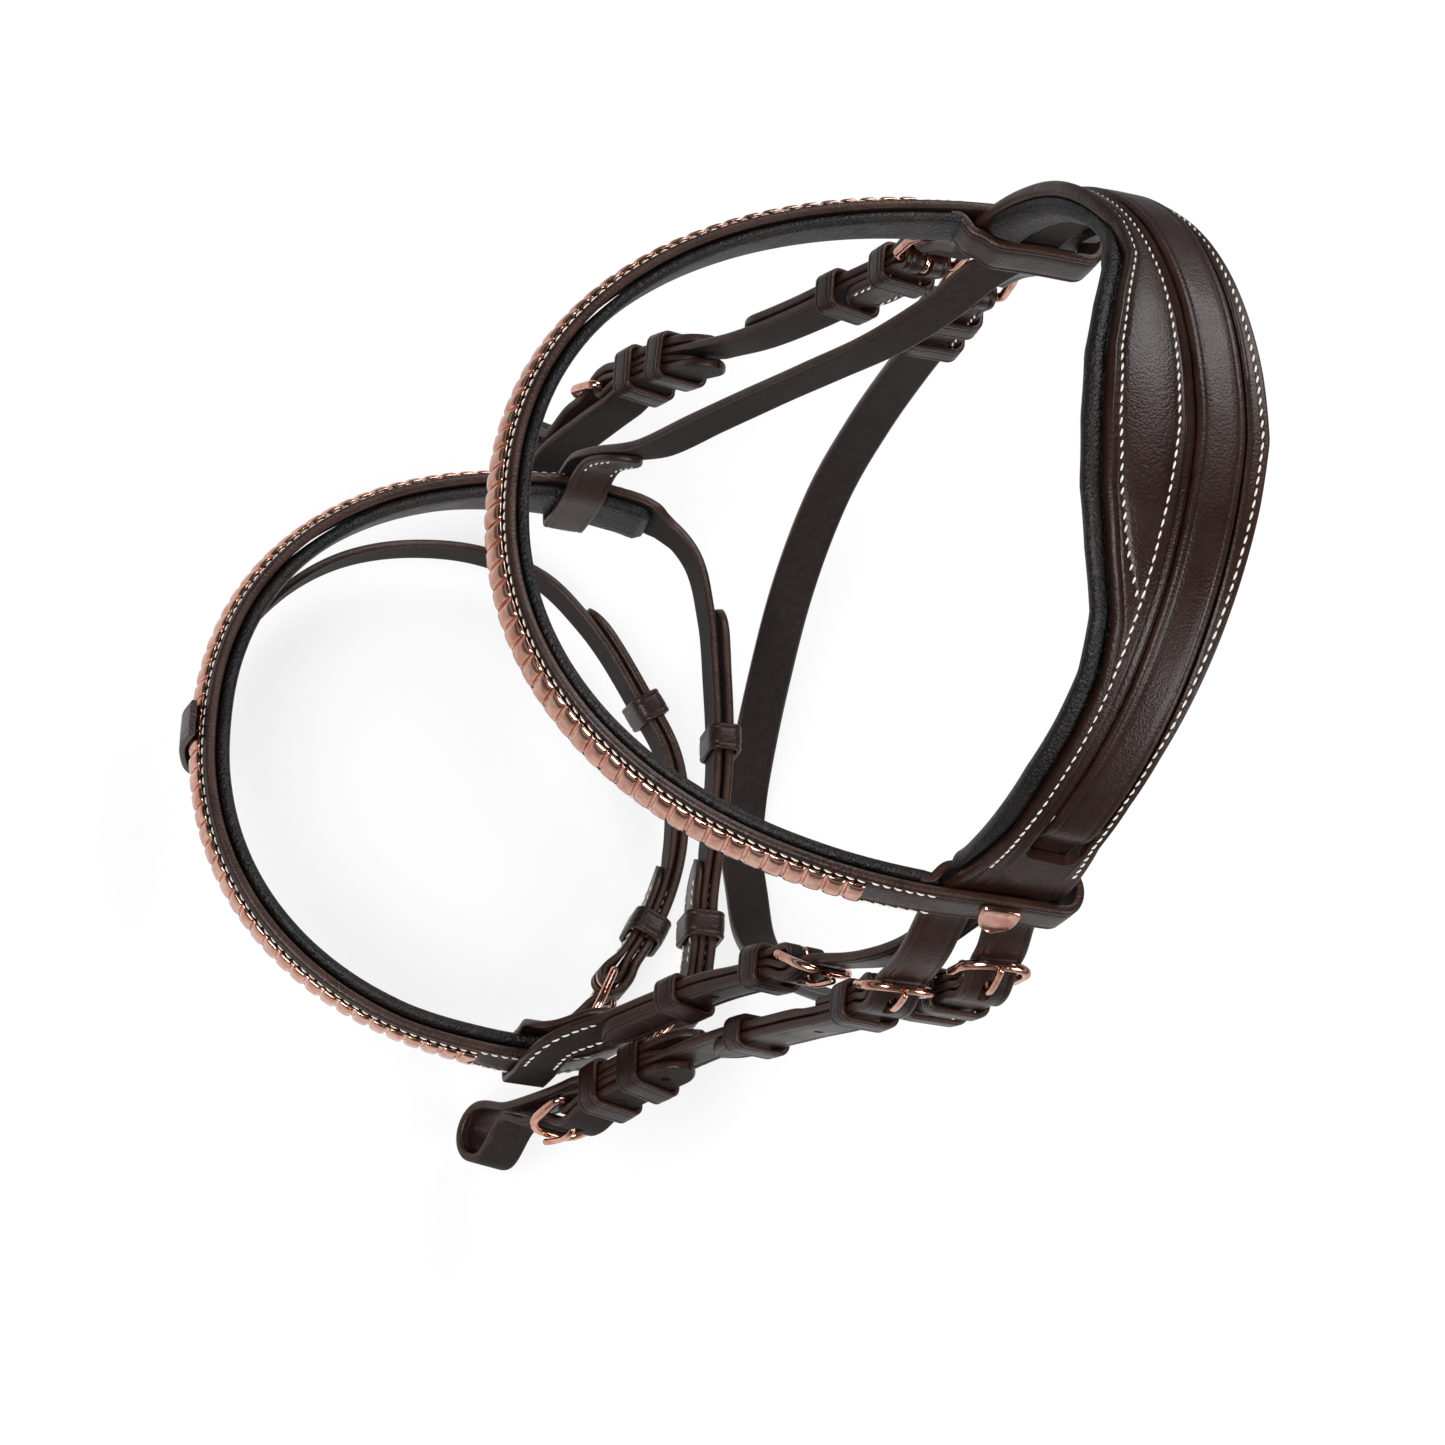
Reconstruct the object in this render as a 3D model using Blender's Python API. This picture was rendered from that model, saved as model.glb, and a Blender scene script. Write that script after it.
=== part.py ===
"""A horse bridle: wide padded headpiece, clincher browband, flash noseband and throatlash.

Metres, +Z up. The origin is on the underside of the crown, where the bridle rests on the
horse's poll. +X is the near (left) side of the horse and -Y is its forehead and nose.

Every strap is a ribbon that follows a route. A place on a route is a station along it, a
height out from the head and a shift across the strap, so layers, buckles and keepers that
share a route are seated by their heights alone.
"""

import bisect
import math
from collections import namedtuple

import bmesh
import bpy
from mathutils import Vector

# Head that the bridle fits
POLL_HALF_WIDTH = 0.103
POLL_RISE = 0.108
POLL_SET_BACK = 0.009
BROW_DEPTH = 0.148
BROW_DROOP = 0.023
BROW_SET_OVER = 0.0045
NOSE_DROP = 0.344
NOSE_HALF_WIDTH = 0.0985
NOSE_FRONT_REACH = 0.115
NOSE_REAR_REACH = 0.055
NOSE_SET_FORWARD = 0.072
NOSE_SET_OVER = 0.0015
NOSE_SLOPE = 0.006
ARCH_POWER_SHARE = 0.92
FRONT_LEAN_SHARE = 0.05
CHIN_LEAN_SHARE = 0.15
NOSE_POWER_SHARE = 0.91
NOSE_LEAN_SHARE = 0.18
BROW_FLARE_SHARE = 0.08
LEAN_RAMP = 2.6

# Leather
STRAP_THICK = 0.0030
CHAPE_THICK = 0.0024
HEADPIECE_THICK = 0.0034
NOSEBAND_THICK = 0.0034
BROWBAND_THICK = 0.0030
PAD_THICK = 0.0060
NOSE_PAD_THICK = 0.0048
BROW_PAD_THICK = 0.0040
LAYER_GAP = 0.0003
SLIP_GAP = 0.0005

# Strap widths
CHEEK_WIDE = 0.015
HANGER_WIDE = 0.014
CHIN_WIDE = 0.014
FLASH_WIDE = 0.012
THROAT_WIDE = 0.015
NOSEBAND_WIDE = 0.0205
BROWBAND_WIDE = 0.0165

# Headpiece
CROWN_HALF_WIDE = 0.027
BILLET_SPLIT = 0.0042
FRONT_ROLL = 0.0050
REAR_ROLL = 0.0018
BEAD_WIDE = 0.0030
BEAD_HIGH = 0.0012
CHANNEL_CLEAR = 0.0009
CHANNEL_FLOOR = 0.0012
CHANNEL_SHIFT = 0.012
BILLET_HELD = 0.008
SLOT_LONG = 0.026
SLOT_SET_UP = 0.022
FRONT_SHARES = (0.66, 0.67, 0.67, 0.66, 0.60, 0.56, 0.62, 0.82, 0.97, 1.01)
REAR_SHARES = (0.64, 0.58, 0.56, 0.58, 0.64, 0.73, 0.82, 0.91, 1.00, 1.07)
CHANNEL_SHARES = (0.13, 0.13, 0.14, 0.25, 0.38, 0.51, 0.63, 0.77, 0.90, 1.00)

# Buckles
BAR_RADIUS = 0.0015
BAR_CLEAR = 0.0003
TONGUE_RADIUS = 0.0011
FRAME_LONG = 0.0170
FRAME_SIDE_CLEAR = 0.0010
NOSE_LIFT = 0.0046
HEEL_CORNER = 0.0022
NOSE_CORNER = 0.0070
TONGUE_OVERHANG = 0.0024
SLOT_CLEAR = 0.0005
CHAPE_TAPER = 0.0090
HOLE_RADIUS = 0.0016
HOLE_PITCH = 0.0220
HOLES_SPARE = 2

# Keepers
KEEPER_LONG = 0.0090
KEEPER_WALL = 0.0018
KEEPER_CLEAR = 0.0006
KEEPER_BACK = 0.0160
KEEPER_BEVEL_SHARE = 0.55

# Lengths along the straps
CHEEK_HEEL = 0.074
CHEEK_LONG = 0.177
CHEEK_TAIL = 0.104
OFF_CHEEK_HEEL = 0.061
OFF_CHEEK_TAIL = 0.098
CHEEK_TURN = 0.042
BIT_TURN = 0.050
BIT_TAIL = 0.056
BIT_LOOP_LONG = 0.040
BIT_LOOP_DEEP = 0.0205
BIT_LAP = 0.062
THROAT_HEEL = 0.052
OFF_THROAT_HEEL = 0.080
THROAT_TAIL = 0.070
THROAT_TURN = 0.046
HANGER_HEEL = 0.138
HANGER_TAIL = 0.095
HANGER_TURN = 0.030
HANGER_LOOP_CLEAR = 0.0015
HANGER_LOOP_TURN = 0.040
NOSEBAND_END = 0.019
OFF_NOSEBAND_END = 0.027
CHIN_HEEL = 0.0525
CHIN_TAIL = 0.138
CHIN_TURN = 0.050
FLASH_HEEL = 0.201
FLASH_TAIL = 0.140
FLASH_TURN = 0.046
TIP_LONG = 0.011

# Clinchers, badge and flash loop
CLINCHER_PITCH = 0.0059
CLINCHER_LONG = 0.0053
CLINCHER_HIGH = 0.0022
CLINCHER_BACK = 0.0006
CLINCHER_BEVEL = 0.0006
BROW_CLINCHER_WIDE = 0.0110
NOSE_CLINCHER_WIDE = 0.0110
BROW_CLINCHER_START = 0.039
BROW_CLINCHER_END = 0.033
NOSE_CLINCHER_START = 0.019
NOSE_CLINCHER_END = 0.024
BROW_PAD_START = 0.029
BADGE_WIDE = 0.0100
BADGE_TALL = 0.0105
BADGE_THICK = 0.0016
FLASH_LOOP_WIDE = 0.0125
FLASH_LOOP_THICK = 0.0022

# Mesh fineness
ARCH_PARTS = 24
SPAN_STEPS = 14
RIBBON_STEP = 0.012
BAND_STEP = 0.0115
TUBE_SIDES = 6
EASE_STEPS = 4
FOLD_STEPS = 5
CUT_OVERRUN = 0.0012

DOUBLED = 2 * CHAPE_THICK + LAYER_GAP
BAR_HIGH = DOUBLED / 2
FOLD_RADIUS = BAR_RADIUS + BAR_CLEAR + CHAPE_THICK / 2
OVER_BAR = FOLD_RADIUS + CHAPE_THICK / 2 + SLIP_GAP + STRAP_THICK / 2
UNDER_NOSE = NOSE_LIFT - BAR_RADIUS - SLIP_GAP - STRAP_THICK / 2
ON_CHAPE = DOUBLED + SLIP_GAP + STRAP_THICK / 2
PLAIN_HIGH = DOUBLED - STRAP_THICK / 2
TONGUE_REST = NOSE_LIFT + BAR_RADIUS + BAR_CLEAR + TONGUE_RADIUS
JUNCTION_DROP = POLL_RISE - PAD_THICK - LAYER_GAP
BILLET_SHIFT = (CHEEK_WIDE + BILLET_SPLIT) / 2
HEADPIECE_END = CHEEK_WIDE + BILLET_SPLIT / 2 + LAYER_GAP

UP = Vector((0, 0, 1))
REAR = Vector((0, 1, 0))
NEARWARD = Vector((1, 0, 0))
NEAR = 1
OFF = -1

Frame = namedtuple("Frame", "point along outward across")
Lay = namedtuple("Lay", "station height thick wide shift")


def leather(name, colour, roughness=0.5, metallic=0.0):
    """A plain Principled material."""
    material = bpy.data.materials.new(name)
    material.use_nodes = True
    shader = material.node_tree.nodes["Principled BSDF"]
    shader.inputs["Base Color"].default_value = (*colour, 1.0)
    shader.inputs["Roughness"].default_value = roughness
    shader.inputs["Metallic"].default_value = metallic
    material.diffuse_color = (*colour, 1.0)
    return material


def spline(points, closed):
    """Dense points on a smooth line through the given points, spaced by chord length."""
    count = len(points)
    spans = count if closed else count - 1
    chord = [(points[(i + 1) % count] - points[i]).length for i in range(spans)]
    slope = []
    for i in range(count):
        after = i if i < spans else None
        before = i - 1 if i > 0 else (spans - 1 if closed else None)
        if before is None or after is None:
            span = after if before is None else before
            slope.append((points[(span + 1) % count] - points[span]) / chord[span])
            continue
        ahead = (points[(i + 1) % count] - points[i]) / chord[after]
        behind = (points[i] - points[(i - 1) % count]) / chord[before]
        weight = chord[before] / (chord[before] + chord[after])
        slope.append(ahead * weight + behind * (1 - weight))
    dense = []
    for i in range(spans):
        start, end = points[i], points[(i + 1) % count]
        for step in range(SPAN_STEPS):
            t = step / SPAN_STEPS
            rest = 1 - t
            dense.append(
                start * (1 + 2 * t) * rest * rest
                + slope[i] * chord[i] * t * rest * rest
                + end * t * t * (3 - 2 * t)
                - slope[(i + 1) % count] * chord[i] * t * t * rest
            )
    dense.append(points[0] if closed else points[-1])
    return dense


class Route:
    """A smooth line over the head, with its outward direction at every station."""

    def __init__(self, points, facing, closed=False):
        self.line = spline(points, closed)
        self.facing = facing
        self.closed = closed
        self.marks = [0.0]
        for first, second in zip(self.line, self.line[1:]):
            self.marks.append(self.marks[-1] + (second - first).length)
        self.length = self.marks[-1]

    def point(self, station):
        if self.closed:
            station = station % self.length
        if station <= 0:
            return self.line[0] + (self.line[0] - self.line[1]).normalized() * -station
        if station >= self.length:
            beyond = (self.line[-1] - self.line[-2]).normalized()
            return self.line[-1] + beyond * (station - self.length)
        i = bisect.bisect_right(self.marks, station) - 1
        share = (station - self.marks[i]) / (self.marks[i + 1] - self.marks[i])
        return self.line[i].lerp(self.line[i + 1], share)

    def at(self, station):
        reach = self.length / len(self.line)
        point = self.point(station)
        along = (self.point(station + reach) - self.point(station - reach)).normalized()
        hint = self.facing(point, along)
        outward = (hint - along * hint.dot(along)).normalized()
        return Frame(point, along, outward, along.cross(outward))

    def place(self, station, shift, height):
        frame = self.at(station)
        return frame.point + frame.across * shift + frame.outward * height

    def nearest(self, target):
        gaps = [(point - target).length for point in self.line]
        return self.marks[gaps.index(min(gaps))]


def face_over(point, along):
    """Outward on an arch that runs from the near side over the poll to the off side."""
    return REAR.cross(along)


def face_under(point, along):
    """Outward on a strap that runs down the near side and up the off side."""
    return along.cross(REAR)


def face_side_down(point, along):
    """Outward on a strap that runs down either side of the head."""
    return along.cross(REAR) if point.x > 0 else REAR.cross(along)


def face_round(centre, reach, sideways=0.0, flare=0.0):
    """Outward on a band that runs from the near side round the front, leaning a little."""

    def facing(point, along):
        depth = (centre - point.y) / reach
        lean = depth * (FRONT_LEAN_SHARE if depth > 0 else CHIN_LEAN_SHARE)
        amount = min(max(depth * LEAN_RAMP, 0.0), 1.0)
        upright = UP + REAR * lean + NEARWARD * sideways * amount
        return (upright - upright.cross(along) * flare * amount).cross(along)

    return facing


def signed_power(value, power):
    return math.copysign(abs(value) ** power, value)


def arch_point(angle):
    """A point of the headpiece's inner face, by angle from the near junction."""
    cosine, sine = math.cos(angle), math.sin(angle)
    return Vector((
        POLL_HALF_WIDTH * signed_power(cosine, ARCH_POWER_SHARE),
        POLL_SET_BACK * sine,
        -JUNCTION_DROP + POLL_RISE * signed_power(sine, ARCH_POWER_SHARE),
    ))


def arch_angles(count):
    return [math.pi * i / count for i in range(count + 1)]


def share_at(shares, angle):
    """A share read from a table that runs from either junction up to the crown."""
    place = (1 - abs(angle / math.pi * 2 - 1)) * (len(shares) - 1)
    first = min(max(int(place), 0), len(shares) - 2)
    return shares[first] + (shares[first + 1] - shares[first]) * (place - first)


def headpiece_route():
    below = Vector((0, 0, -BROWBAND_WIDE))
    arch = [arch_point(angle) for angle in arch_angles(ARCH_PARTS)]
    return Route([arch[0] + below, *arch, arch[-1] + below], face_over)


def side_points(side, table):
    """Points down one side, as shares of the poll's half width, brow depth and nose drop."""
    return [
        Vector((side * x * POLL_HALF_WIDTH, y * BROW_DEPTH, -z * NOSE_DROP)) for x, y, z in table
    ]


NEAR_CHEEK_SHARES = (
    (1.006, -0.064, 0.348), (1.065, -0.064, 0.398), (1.078, -0.060, 0.450),
    (1.076, -0.057, 0.504), (1.064, -0.070, 0.564), (1.022, -0.122, 0.668),
    (0.985, -0.182, 0.780), (0.996, -0.257, 0.872), (1.030, -0.324, 0.937),
    (1.060, -0.372, 0.999), (1.072, -0.430, 1.060), (1.068, -0.500, 1.130),
    (1.056, -0.570, 1.195),
)
OFF_CHEEK_SHARES = (
    (1.006, -0.064, 0.345), (1.052, -0.068, 0.387), (1.105, -0.076, 0.435),
    (1.132, -0.083, 0.467), (1.150, -0.108, 0.532), (1.155, -0.142, 0.575),
    (1.166, -0.209, 0.664), (1.188, -0.270, 0.740), (1.225, -0.318, 0.800),
    (1.270, -0.365, 0.870), (1.276, -0.412, 0.936), (1.256, -0.459, 1.006),
    (1.218, -0.510, 1.075),
)
THROAT_SHARES = (
    (1.006, 0.070, 0.348), (1.045, 0.086, 0.395), (1.067, 0.092, 0.443),
    (1.040, 0.092, 0.513), (0.978, 0.092, 0.608), (0.888, 0.092, 0.708),
    (0.782, 0.092, 0.813), (0.639, 0.092, 0.924), (0.491, 0.092, 1.025),
    (0.356, 0.092, 1.092), (0.240, 0.092, 1.132), (0.092, 0.092, 1.158),
    (-0.062, 0.082, 1.170), (-0.231, 0.082, 1.168), (-0.408, 0.082, 1.145),
    (-0.600, 0.082, 1.108), (-0.790, 0.082, 1.061), (-1.016, 0.082, 0.957),
    (-1.117, 0.082, 0.833), (-1.156, 0.082, 0.726), (-1.158, 0.076, 0.620),
    (-1.150, 0.068, 0.530), (-1.090, 0.064, 0.440), (-1.010, 0.066, 0.350),
)
NEAR_SLIP_SHARES = (
    (0.988, 0.022, 0.350), (0.984, 0.008, 0.410), (0.981, -0.020, 0.475),
    (0.951, -0.060, 0.535), (0.908, -0.105, 0.590), (0.866, -0.153, 0.650),
    (0.845, -0.200, 0.710), (0.839, -0.250, 0.765), (0.861, -0.315, 0.825),
    (0.896, -0.390, 0.880),
)
OFF_SLIP_SHARES = (
    (0.984, -0.041, 0.354), (0.943, -0.083, 0.420), (0.895, -0.149, 0.500),
    (0.885, -0.216, 0.584), (0.898, -0.284, 0.675), (0.902, -0.350, 0.755),
    (0.905, -0.410, 0.830),
)
FLASH_SHARES = (
    (0.000, -1.585, 1.082), (-0.451, -1.495, 1.090), (-0.775, -1.235, 1.113),
    (-0.885, -1.005, 1.128), (-0.905, -0.791, 1.134), (-0.855, -0.605, 1.140),
    (-0.735, -0.483, 1.140), (-0.487, -0.317, 1.142), (-0.292, -0.209, 1.145),
    (0.000, -0.178, 1.145), (0.330, -0.250, 1.142), (0.538, -0.357, 1.134),
    (0.700, -0.470, 1.128), (0.807, -0.626, 1.104), (0.843, -0.783, 1.090),
    (0.830, -0.942, 1.085), (0.668, -1.231, 1.086), (0.400, -1.445, 1.086),
)
HANGER_RISE_SHARE = 0.07


CHIN_SHARES = (
    (-0.985, 0.18), (-0.955, 0.42), (-0.820, 0.70), (-0.620, 0.81), (-0.400, 0.86),
    (-0.130, 0.90), (0.150, 0.89), (0.390, 0.86), (0.600, 0.86), (0.750, 0.82),
    (0.865, 0.60), (0.965, 0.30),
)


def cheek_route(side):
    """Down a headpiece billet and the cheek strap, to the bit."""
    table = NEAR_CHEEK_SHARES if side == NEAR else OFF_CHEEK_SHARES
    start = Vector((side * POLL_HALF_WIDTH, -BILLET_SHIFT, -JUNCTION_DROP))
    drop = Vector((0, 0, -BROWBAND_WIDE * 0.62))
    return Route([start, start + drop, *side_points(side, table)], face_side_down)


def throat_route():
    """Down the near throat billet, under the throat and up the off one."""
    ends = []
    for side in (NEAR, OFF):
        start = Vector((side * POLL_HALF_WIDTH, BILLET_SHIFT, -JUNCTION_DROP))
        ends.append([start, start + Vector((0, 0, -BROWBAND_WIDE * 0.62))])
    middle = side_points(NEAR, THROAT_SHARES)
    return Route([*ends[0], *middle, *reversed(ends[1])], face_under)


def brow_route():
    """The browband's inner leather face, run straight back past the headpiece at both ends."""
    inner = POLL_HALF_WIDTH + HEADPIECE_THICK + SLIP_GAP * 2
    line = []
    for angle in arch_angles(20):
        cosine, sine = math.cos(angle), math.sin(angle)
        over = BROW_SET_OVER * sine * (1 - cosine) / 2
        line.append(Vector((
            inner * signed_power(cosine, ARCH_POWER_SHARE) - over,
            -BROW_DEPTH * signed_power(sine, ARCH_POWER_SHARE),
            -JUNCTION_DROP - BROW_DROOP * signed_power(sine, ARCH_POWER_SHARE),
        )))
    tail = REAR * CROWN_HALF_WIDE
    points = [line[0] + tail, *line, line[-1] + tail]
    return Route(points, face_round(0, BROW_DEPTH, flare=BROW_FLARE_SHARE))


def noseband_route():
    """A closed ring from the near side round the nose, the off side and the chin groove."""
    line = []
    for angle in arch_angles(16):
        cosine, sine = math.cos(angle), math.sin(angle)
        line.append(Vector((
            NOSE_HALF_WIDTH * signed_power(cosine, NOSE_POWER_SHARE) - NOSE_SET_OVER,
            -NOSE_FRONT_REACH * signed_power(sine, NOSE_POWER_SHARE) - NOSE_SET_FORWARD,
            -NOSE_DROP - NOSE_SLOPE * sine,
        )))
    for x, y in CHIN_SHARES:
        line.append(Vector((NOSE_HALF_WIDTH * x - NOSE_SET_OVER,
                            NOSE_REAR_REACH * y - NOSE_SET_FORWARD,
                            -NOSE_DROP + NOSE_SLOPE * y)))
    facing = face_round(-NOSE_SET_FORWARD, NOSE_FRONT_REACH, sideways=NOSE_LEAN_SHARE)
    return Route(line, facing, closed=True)


def flash_route():
    """A closed ring from the front of the nose round the off side and the chin groove."""
    line = [Vector((x * NOSE_HALF_WIDTH, y * NOSE_FRONT_REACH, -z * NOSE_DROP))
            for x, y, z in FLASH_SHARES]
    return Route(line, face_round(-NOSE_SET_FORWARD, NOSE_FRONT_REACH), closed=True)


def side_of_nose(side):
    return Vector((side * NOSE_HALF_WIDTH - NOSE_SET_OVER, -NOSE_SET_FORWARD, -NOSE_DROP))


def slip_route():
    """Up the near side, over the crown in the headpiece's channel and down the off side."""
    ends = []
    for side, table in ((NEAR, NEAR_SLIP_SHARES), (OFF, OFF_SLIP_SHARES)):
        cross = side_of_nose(side)
        rise = UP * NOSE_DROP * HANGER_RISE_SHARE
        below = cross - rise
        above = cross + rise
        ends.append([*side_points(side, table), above, cross, below])
    arch = []
    for angle in arch_angles(ARCH_PARTS):
        arch.append(arch_point(angle) + REAR * CHANNEL_SHIFT * share_at(CHANNEL_SHARES, angle))
    return Route([*reversed(ends[0]), *arch, *ends[1]], face_over)


def skin(name, rings, material, closed=False):
    """A solid whose faces join one ring of points to the next."""
    shape = bmesh.new()
    loops = [[shape.verts.new(point) for point in ring] for ring in rings]
    pairs = list(zip(loops, loops[1:]))
    if closed:
        pairs.append((loops[-1], loops[0]))
    for first, second in pairs:
        for i in range(len(first)):
            j = (i + 1) % len(first)
            shape.faces.new((first[i], first[j], second[j], second[i]))
    if not closed:
        shape.faces.new(loops[0])
        shape.faces.new(loops[-1])
    bmesh.ops.recalc_face_normals(shape, faces=shape.faces)
    mesh = bpy.data.meshes.new(name)
    shape.to_mesh(mesh)
    shape.free()
    solid = bpy.data.objects.new(name, mesh)
    bpy.context.scene.collection.objects.link(solid)
    if material:
        mesh.materials.append(material)
    return solid


def boxes(name, blocks):
    """One hidden cutter of separate six-sided blocks, each given as two rings of four points."""
    shape = bmesh.new()
    for first, second in blocks:
        lower = [shape.verts.new(point) for point in first]
        upper = [shape.verts.new(point) for point in second]
        shape.faces.new(lower)
        shape.faces.new(upper)
        for i in range(len(lower)):
            j = (i + 1) % len(lower)
            shape.faces.new((lower[i], lower[j], upper[j], upper[i]))
    bmesh.ops.recalc_face_normals(shape, faces=shape.faces)
    mesh = bpy.data.meshes.new(name)
    shape.to_mesh(mesh)
    shape.free()
    tool = bpy.data.objects.new(name, mesh)
    bpy.context.scene.collection.objects.link(tool)
    hide(tool)
    return tool


def hide(tool):
    tool.hide_render = True
    tool.display_type = "WIRE"


def boolean(solid, tool, operation):
    change = solid.modifiers.new(tool.name, "BOOLEAN")
    change.object = tool
    change.operation = operation
    change.solver = "EXACT"


def lay(station, height, thick=STRAP_THICK, wide=CHEEK_WIDE, shift=0.0):
    return Lay(station, height, thick, wide, shift)


def between(first, second, share):
    return Lay(*(a + (b - a) * share for a, b in zip(first, second)))


def ease(first, second, steps=EASE_STEPS):
    """Lays that rise or fall smoothly from one to another."""
    return [
        between(first, second, i / steps)._replace(
            height=first.height
            + (second.height - first.height) * (1 - math.cos(math.pi * i / steps)) / 2
        )
        for i in range(steps + 1)
    ]


def filled(lays, step):
    """The lays with more between them wherever they are further apart than a step."""
    result = [lays[0]]
    for first, second in zip(lays, lays[1:]):
        parts = max(1, math.ceil(abs(second.station - first.station) / step))
        result.extend(between(first, second, i / parts) for i in range(1, parts + 1))
    return result


def tidy(lays):
    """The lays without any that lies on the one before it."""
    result = [lays[0]]
    for item in lays[1:]:
        last = result[-1]
        if math.hypot(item.station - last.station, item.height - last.height) > LAYER_GAP:
            result.append(item)
    return result


def ribbon(name, route, lays, material, step=RIBBON_STEP):
    """A flat strap swept along its lays."""
    lays = filled(tidy(lays), step)
    centres = [route.place(item.station, item.shift, item.height) for item in lays]
    rings = []
    for i, item in enumerate(lays):
        ahead = centres[min(i + 1, len(lays) - 1)]
        behind = centres[max(i - 1, 0)]
        direction = (ahead - behind).normalized()
        across = route.at(item.station).across
        across = (across - direction * across.dot(direction)).normalized()
        out = across.cross(direction)
        half, thin = item.wide / 2, item.thick / 2
        corners = ((-half, -thin), (half, -thin), (half, thin), (-half, thin))
        rings.append([centres[i] + across * a + out * n for a, n in corners])
    return skin(name, rings, material)


def tip(end, way, long=TIP_LONG):
    """The lays of a pointed strap end, from its shoulders to its point."""
    shapes = ((1.0, 1.0), (0.55, 0.86), (0.18, 0.52), (0.0, 0.24))
    return [end._replace(station=end.station - way * long * back, wide=end.wide * share)
            for back, share in shapes]


def fold(heel, nose, turn, wide):
    """A chape: down the outer layer to the heel bar, round it and back along the inner one."""
    outer = DOUBLED - CHAPE_THICK / 2
    inner = CHAPE_THICK / 2
    path = [lay(heel - nose * turn, outer, CHAPE_THICK, wide),
            lay(heel - nose * CHAPE_TAPER, outer, CHAPE_THICK, wide)]
    for i in range(FOLD_STEPS + 1):
        angle = math.radians(100) - math.radians(200) * i / FOLD_STEPS
        path.append(lay(heel + nose * FOLD_RADIUS * math.cos(angle),
                        BAR_HIGH + FOLD_RADIUS * math.sin(angle), CHAPE_THICK, wide))
    path.append(lay(heel - nose * CHAPE_TAPER, inner, CHAPE_THICK, wide))
    end = lay(heel - nose * turn, inner, CHAPE_THICK, wide)
    return path + tip(end, -nose)


def billet(start, heel, nose, tail, wide, held=0.0):
    """A strap from a start lay, under the nose bar, over the heel bar and down on the chape."""
    outside = lay(heel + nose * FRAME_LONG * 1.2, BAR_HIGH + UNDER_NOSE, STRAP_THICK, wide)
    under = outside._replace(station=heel + nose * FRAME_LONG * 0.82)
    over = lay(heel + nose * BAR_RADIUS, BAR_HIGH + OVER_BAR, STRAP_THICK, wide)
    past = over._replace(station=heel - nose * BAR_RADIUS)
    settled = lay(heel - nose * CHAPE_TAPER, ON_CHAPE, STRAP_THICK, wide)
    end = lay(heel - nose * tail, ON_CHAPE, STRAP_THICK, wide)
    kept = start._replace(station=start.station - nose * held)
    return [start, *ease(kept, outside, 3), *ease(under, over), *ease(past, settled, 2),
            *tip(end, -nose)]


def block(route, first, last, half, low, high):
    """A cutter block between two stations, square to the route."""
    return [
        [route.place(station, a, n)
         for a, n in ((-half, low), (half, low), (half, high), (-half, high))]
        for station in (first, last)
    ]


def round_block(route, station, radius, low, high, sides=6):
    """A cutter block with a round outline, through a strap."""
    turns = [math.tau * i / sides for i in range(sides)]
    return [
        [route.place(station + radius * math.cos(t), radius * math.sin(t), n) for t in turns]
        for n in (low, high)
    ]


def tongue_slot(route, heel, nose, extra=0.0):
    """The slot that a chape has for the buckle's tongue."""
    half = TONGUE_RADIUS + SLOT_CLEAR
    ring = FOLD_RADIUS + CHAPE_THICK
    return block(route, heel - nose * (ring + CUT_OVERRUN), heel + nose * (ring + CUT_OVERRUN),
                 half, BAR_HIGH - ring - CUT_OVERRUN, BAR_HIGH + ring + CUT_OVERRUN + extra)


def tongue_hole(route, heel, nose):
    """The hole of a billet that the tongue stands in, drawn long by wear."""
    half = TONGUE_RADIUS + SLOT_CLEAR * 1.3
    first = heel + nose * FRAME_LONG * 0.05
    last = heel + nose * FRAME_LONG * 0.46
    return block(route, first, last, half, BAR_HIGH, BAR_HIGH + OVER_BAR * 2)


def spare_holes(route, heel, nose, tail):
    """The punched holes of a billet's tail, clear of the heel and of the tip."""
    low = ON_CHAPE - STRAP_THICK / 2 - CUT_OVERRUN * 0.2
    high = ON_CHAPE + STRAP_THICK
    places = [heel - nose * HOLE_PITCH * (i + 1) for i in range(HOLES_SPARE)]
    return [round_block(route, place, HOLE_RADIUS, low, high) for place in places
            if abs(place - heel) < tail - TIP_LONG]


def tube(name, route, path, radius, material, closed=False, sides=TUBE_SIDES):
    """Round wire through places on a route, given as station, shift and height."""
    centres = [route.place(*place) for place in path]
    count = len(centres)
    rings = []
    for i, centre in enumerate(centres):
        if closed:
            direction = centres[(i + 1) % count] - centres[i - 1]
        else:
            direction = centres[min(i + 1, count - 1)] - centres[max(i - 1, 0)]
        direction.normalize()
        frame = route.at(path[i][0])
        guide = frame.outward if closed else frame.across
        first = (guide - direction * guide.dot(direction)).normalized()
        second = direction.cross(first)
        rings.append([
            centre + (first * math.cos(turn) + second * math.sin(turn)) * radius
            for turn in (math.tau * (k + 0.5) / sides for k in range(sides))
        ])
    return skin(name, rings, material, closed)


def set_origin(solid, place):
    """Move a solid's origin to a place, leaving its surface where it is."""
    for vertex in solid.data.vertices:
        vertex.co -= place
    solid.location = place


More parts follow.
